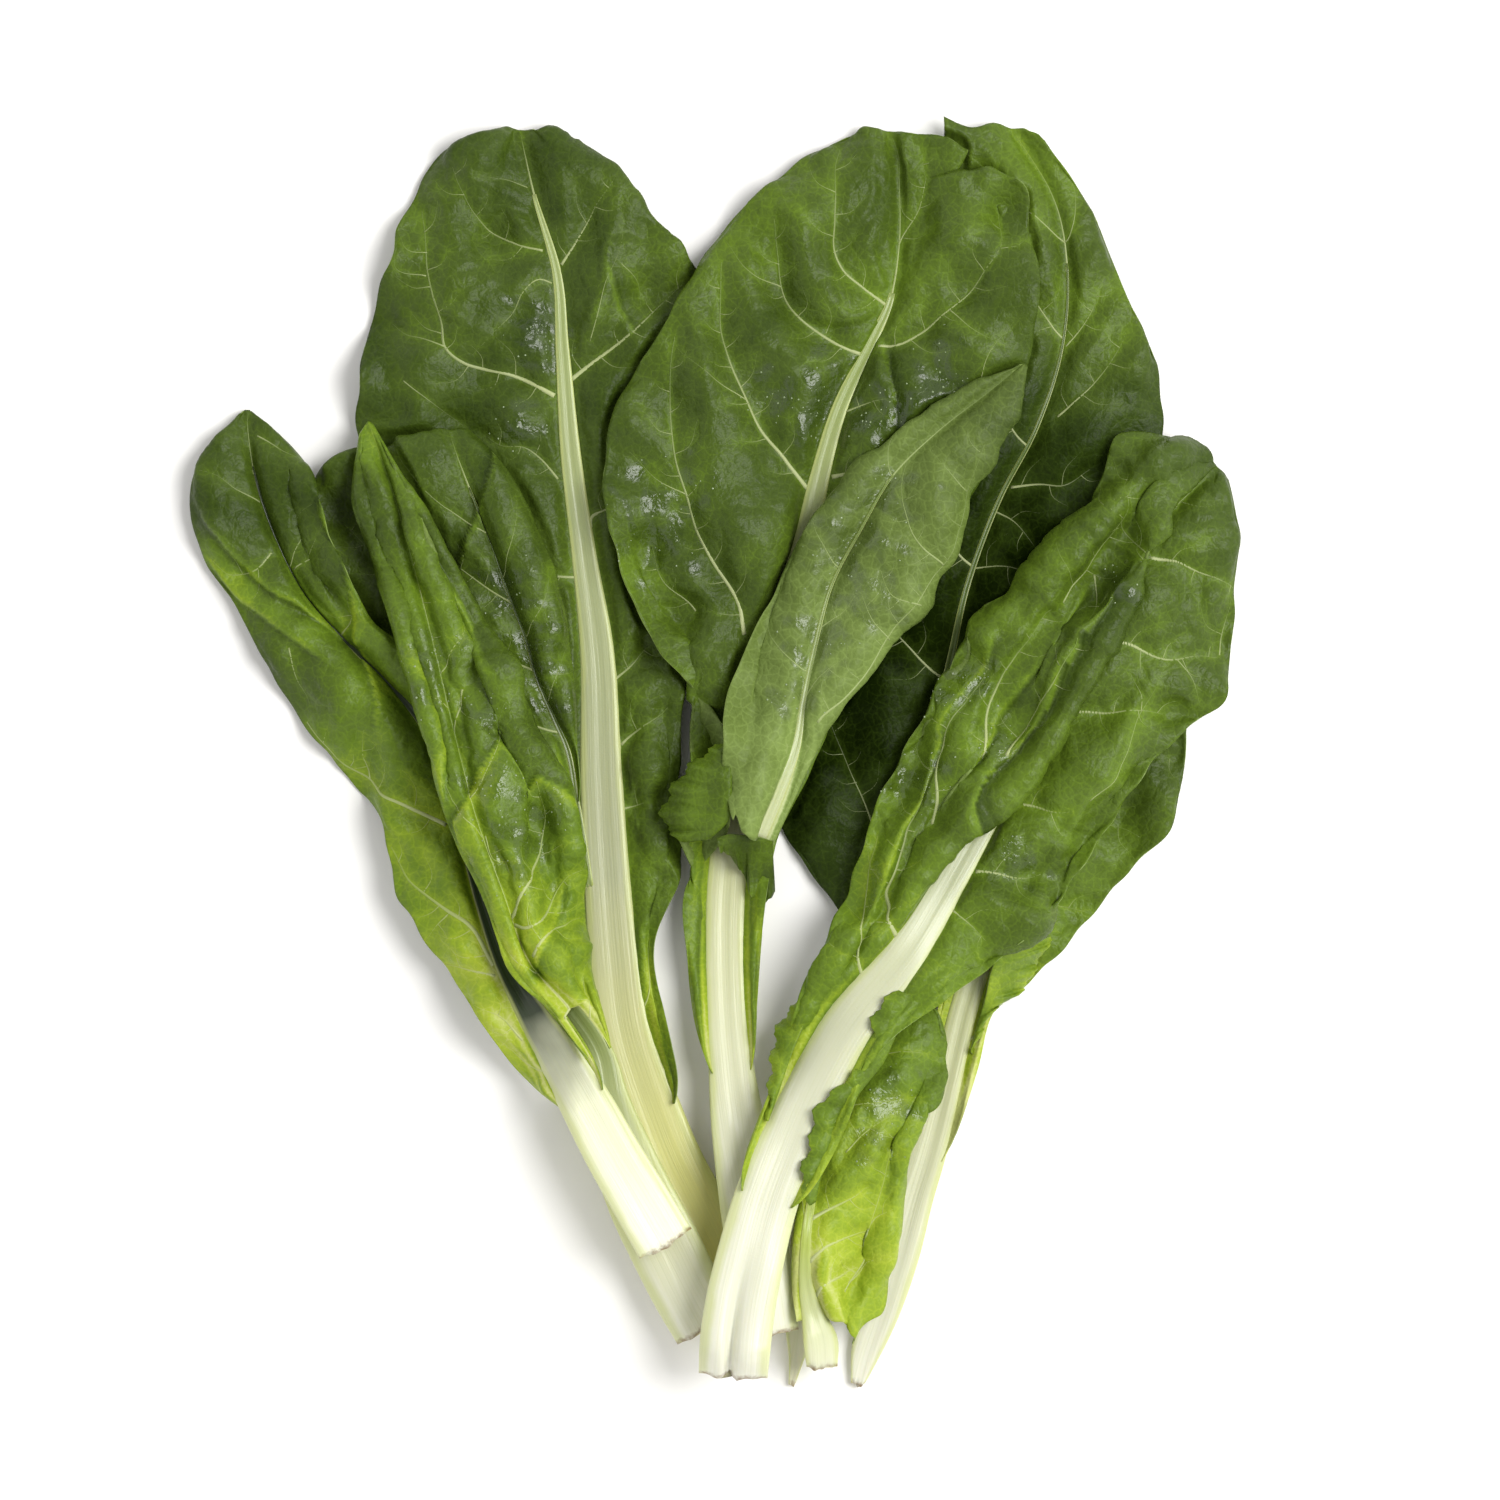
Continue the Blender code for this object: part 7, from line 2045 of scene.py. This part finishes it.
def stalk_material(name):
    """Cream stalk, yellow-green at its edges and up the leaf, with fine lines along it."""
    shader = Shader(name + "_stalk")
    low, half, high = STALK_COLOURS_AND_PAINTED_LIGHT.get(name, PLAIN_STALK)
    half_at, high_at = GREEN_FROM.get(name, (0.45, 0.95))
    share = shader.plus(shader.field("share"), shader.noise(40.0), 0.08)
    colour = shader.ramp(share, [(0.0, low), (half_at, half), (high_at, high)])
    edge = shader.plus(shader.field("edge"), shader.noise(55.0, 3.0), 0.3)
    colour = shader.mix(shader.ramp(edge, [(0.8, 0.0), (1.25, 0.6)]), colour, linear(206, 214, 128))
    beside = shader.math("MULTIPLY", shader.field("beside"), shader.field("wide"))
    run = shader.math("MULTIPLY", shader.field("run"), 16.0)
    line_place = shader.add("ShaderNodeCombineXYZ", {"X": beside, "Y": run})
    lines = shader.add("ShaderNodeTexNoise", {"Vector": line_place, "Scale": 1.4, "Detail": 3.0},
                       "Fac")
    pale = shader.ramp(share, [(half_at, 1.0), (high_at, 0.0)])
    lines_seen = shader.math("MULTIPLY", shader.ramp(lines, [(0.42, 0.0), (0.72, 0.24)]), pale)
    colour = shader.mix(lines_seen, colour, linear(200, 206, 142))
    brown = shader.math("MULTIPLY", shader.field("cut"), shader.noise(500.0, 3.0))
    colour = shader.mix(shader.ramp(brown, [(0.25, 0.0), (0.55, 0.8)]), colour, linear(136, 100, 50))
    normal = shader.bump(lines, 0.0004, 0.4)
    normal = shader.bump(shader.noise(1200.0, 2.0), 0.0001, 0.3, normal)
    return shader.finish(Base_Color=colour, Roughness=0.32, Normal=normal, Subsurface_Weight=0.12,
                         Subsurface_Radius=(0.004, 0.003, 0.0015), Subsurface_Scale=1.0)


# Leaf colours by tone, where 1 on the ramp is a tone of TONE_RANGE
GREENS = [(0.0, (20, 31, 4)), (0.18, (50, 67, 16)), (0.36, (76, 96, 27)), (0.54, (106, 133, 34)),
          (0.72, (148, 172, 42)), (0.84, (174, 192, 56)), (1.0, (206, 212, 128))]
UNDER_GREENS = [(0.0, (36, 50, 16)), (0.21, (64, 80, 30)), (0.43, (98, 117, 50)),
                (0.72, (140, 162, 84)), (1.0, (196, 206, 146))]

# Stalk colours: at the cut end, half way, and where the midrib ends. Numbers over 255 are
# painted light: they make a stalk brighter than plain white, to lift one that the lamps leave dull.
STALK_COLOURS_AND_PAINTED_LIGHT = {
    "back_left": ((262, 256, 150), (190, 193, 154), (160, 174, 106)),
    "back_right": ((238, 236, 204), (112, 132, 58), (86, 106, 38)),
    "left_back": ((150, 168, 96), (100, 120, 52), (80, 100, 38)),
    # Its dark last colour is painted shade in the gap beside left_inner
    "left_outer": ((272, 271, 248), (248, 249, 214), (40, 56, 14)),
    "right_front": ((248, 247, 228), (216, 218, 184), (150, 166, 104)),
    "centre_top": ((222, 226, 180), (150, 168, 96), (122, 142, 70)),
    "small_right": ((236, 236, 206), (176, 192, 84), (140, 164, 58)),
}
PLAIN_STALK = ((250, 249, 230), (214, 216, 168), (150, 166, 92))

# Where along these stalks the second and the third colour are reached. The third colour of
# left_outer is painted shade, for the stretch of its stalk in the dark gap beside left_inner.
GREEN_FROM = {"left_outer": (0.22, 0.34), "left_back": (0.3, 0.6), "back_right": (0.5, 0.75)}

UPPER = leaf_material("leaf_upper", GREENS, 0.4, 0.08)
UNDER = leaf_material("leaf_under", UNDER_GREENS, 0.5, 0.12)
RIM = plain_material("leaf_rim", linear(128, 150, 66), 0.5)
# The drops are opaque: their pale colour is painted shine, standing in for the light a clear drop
# reflects and lets through
DROP_SHINE = plain_material("water", linear(150, 166, 124), 0.08)
PALE_VEIN = vein_material("leaf_vein", linear(196, 204, 146), GREENS)
UNDER_VEIN = vein_material("under_vein", linear(182, 196, 132), UNDER_GREENS)
CUT_END = cut_material()


def add_floor():
    """A plain pale floor without shine."""
    bpy.ops.mesh.primitive_plane_add(size=FLOOR_SIZE, location=(0.0, 0.0, 0.0))
    floor = bpy.context.object
    floor.name = "floor"
    floor.data.materials.append(Shader("floor_white").finish(
        Base_Color=FLOOR_COLOUR, Roughness=0.9, Specular_IOR_Level=0.0))


def add_world():
    """Soft light from all round, weaker from straight above."""
    world = bpy.data.worlds.new("studio")
    world.use_nodes = True
    tree = world.node_tree
    direction = tree.nodes.new("ShaderNodeTexCoord")
    upward = tree.nodes.new("ShaderNodeSeparateXYZ")
    dome = tree.nodes.new("ShaderNodeValToRGB")
    for element, (place, level) in zip(dome.color_ramp.elements, WORLD_LEVELS):
        element.position = place
        element.color = (level, level, level, 1.0)
    tree.links.new(direction.outputs["Generated"], upward.inputs[0])
    tree.links.new(upward.outputs["Z"], dome.inputs[0])
    tree.links.new(dome.outputs[0], tree.nodes["Background"].inputs["Color"])
    tree.nodes["Background"].inputs["Strength"].default_value = WORLD_LIGHT * LIGHTNESS
    bpy.context.scene.world = world


def add_key_light():
    """A broad lamp from the upper right of the picture."""
    key = bpy.data.lights.new("key", "AREA")
    key.shape = "DISK"
    key.size = KEY_SIZE
    key.energy = KEY_POWER * LIGHTNESS
    lamp = bpy.data.objects.new("key", key)
    lamp.location = KEY_PLACE
    lamp.rotation_euler = (-lamp.location).to_track_quat("-Z", "Y").to_euler()
    bpy.context.scene.collection.objects.link(lamp)


def add_camera(middle):
    """A camera that looks straight down on the photograph's frame."""
    scene = bpy.context.scene
    camera = bpy.data.cameras.new("camera")
    camera.lens = camera.sensor_width * (CAMERA_HEIGHT - LEAF_LEVEL) / PHOTO_WIDTH
    camera.clip_end = 20.0
    camera_object = bpy.data.objects.new("camera", camera)
    x, y = (PHOTO_CENTRE - middle[:2]) * MM
    camera_object.location = (x, y, CAMERA_HEIGHT)
    scene.collection.objects.link(camera_object)
    scene.camera = camera_object


places, middle = lay_bunch()
for place in places:
    if place.with_stalk:
        piece = fine_stalk(place, middle)
        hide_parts(place.leaf.name + "_stalk")
        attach(piece, "root")
    if place.with_blade:
        piece = fine_blade(place, middle)
        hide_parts(place.leaf.name + "_blade")
        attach(piece, "root")
bpy.context.scene.view_settings.view_transform = "Standard"
add_floor()
add_world()
add_key_light()
add_camera(middle)
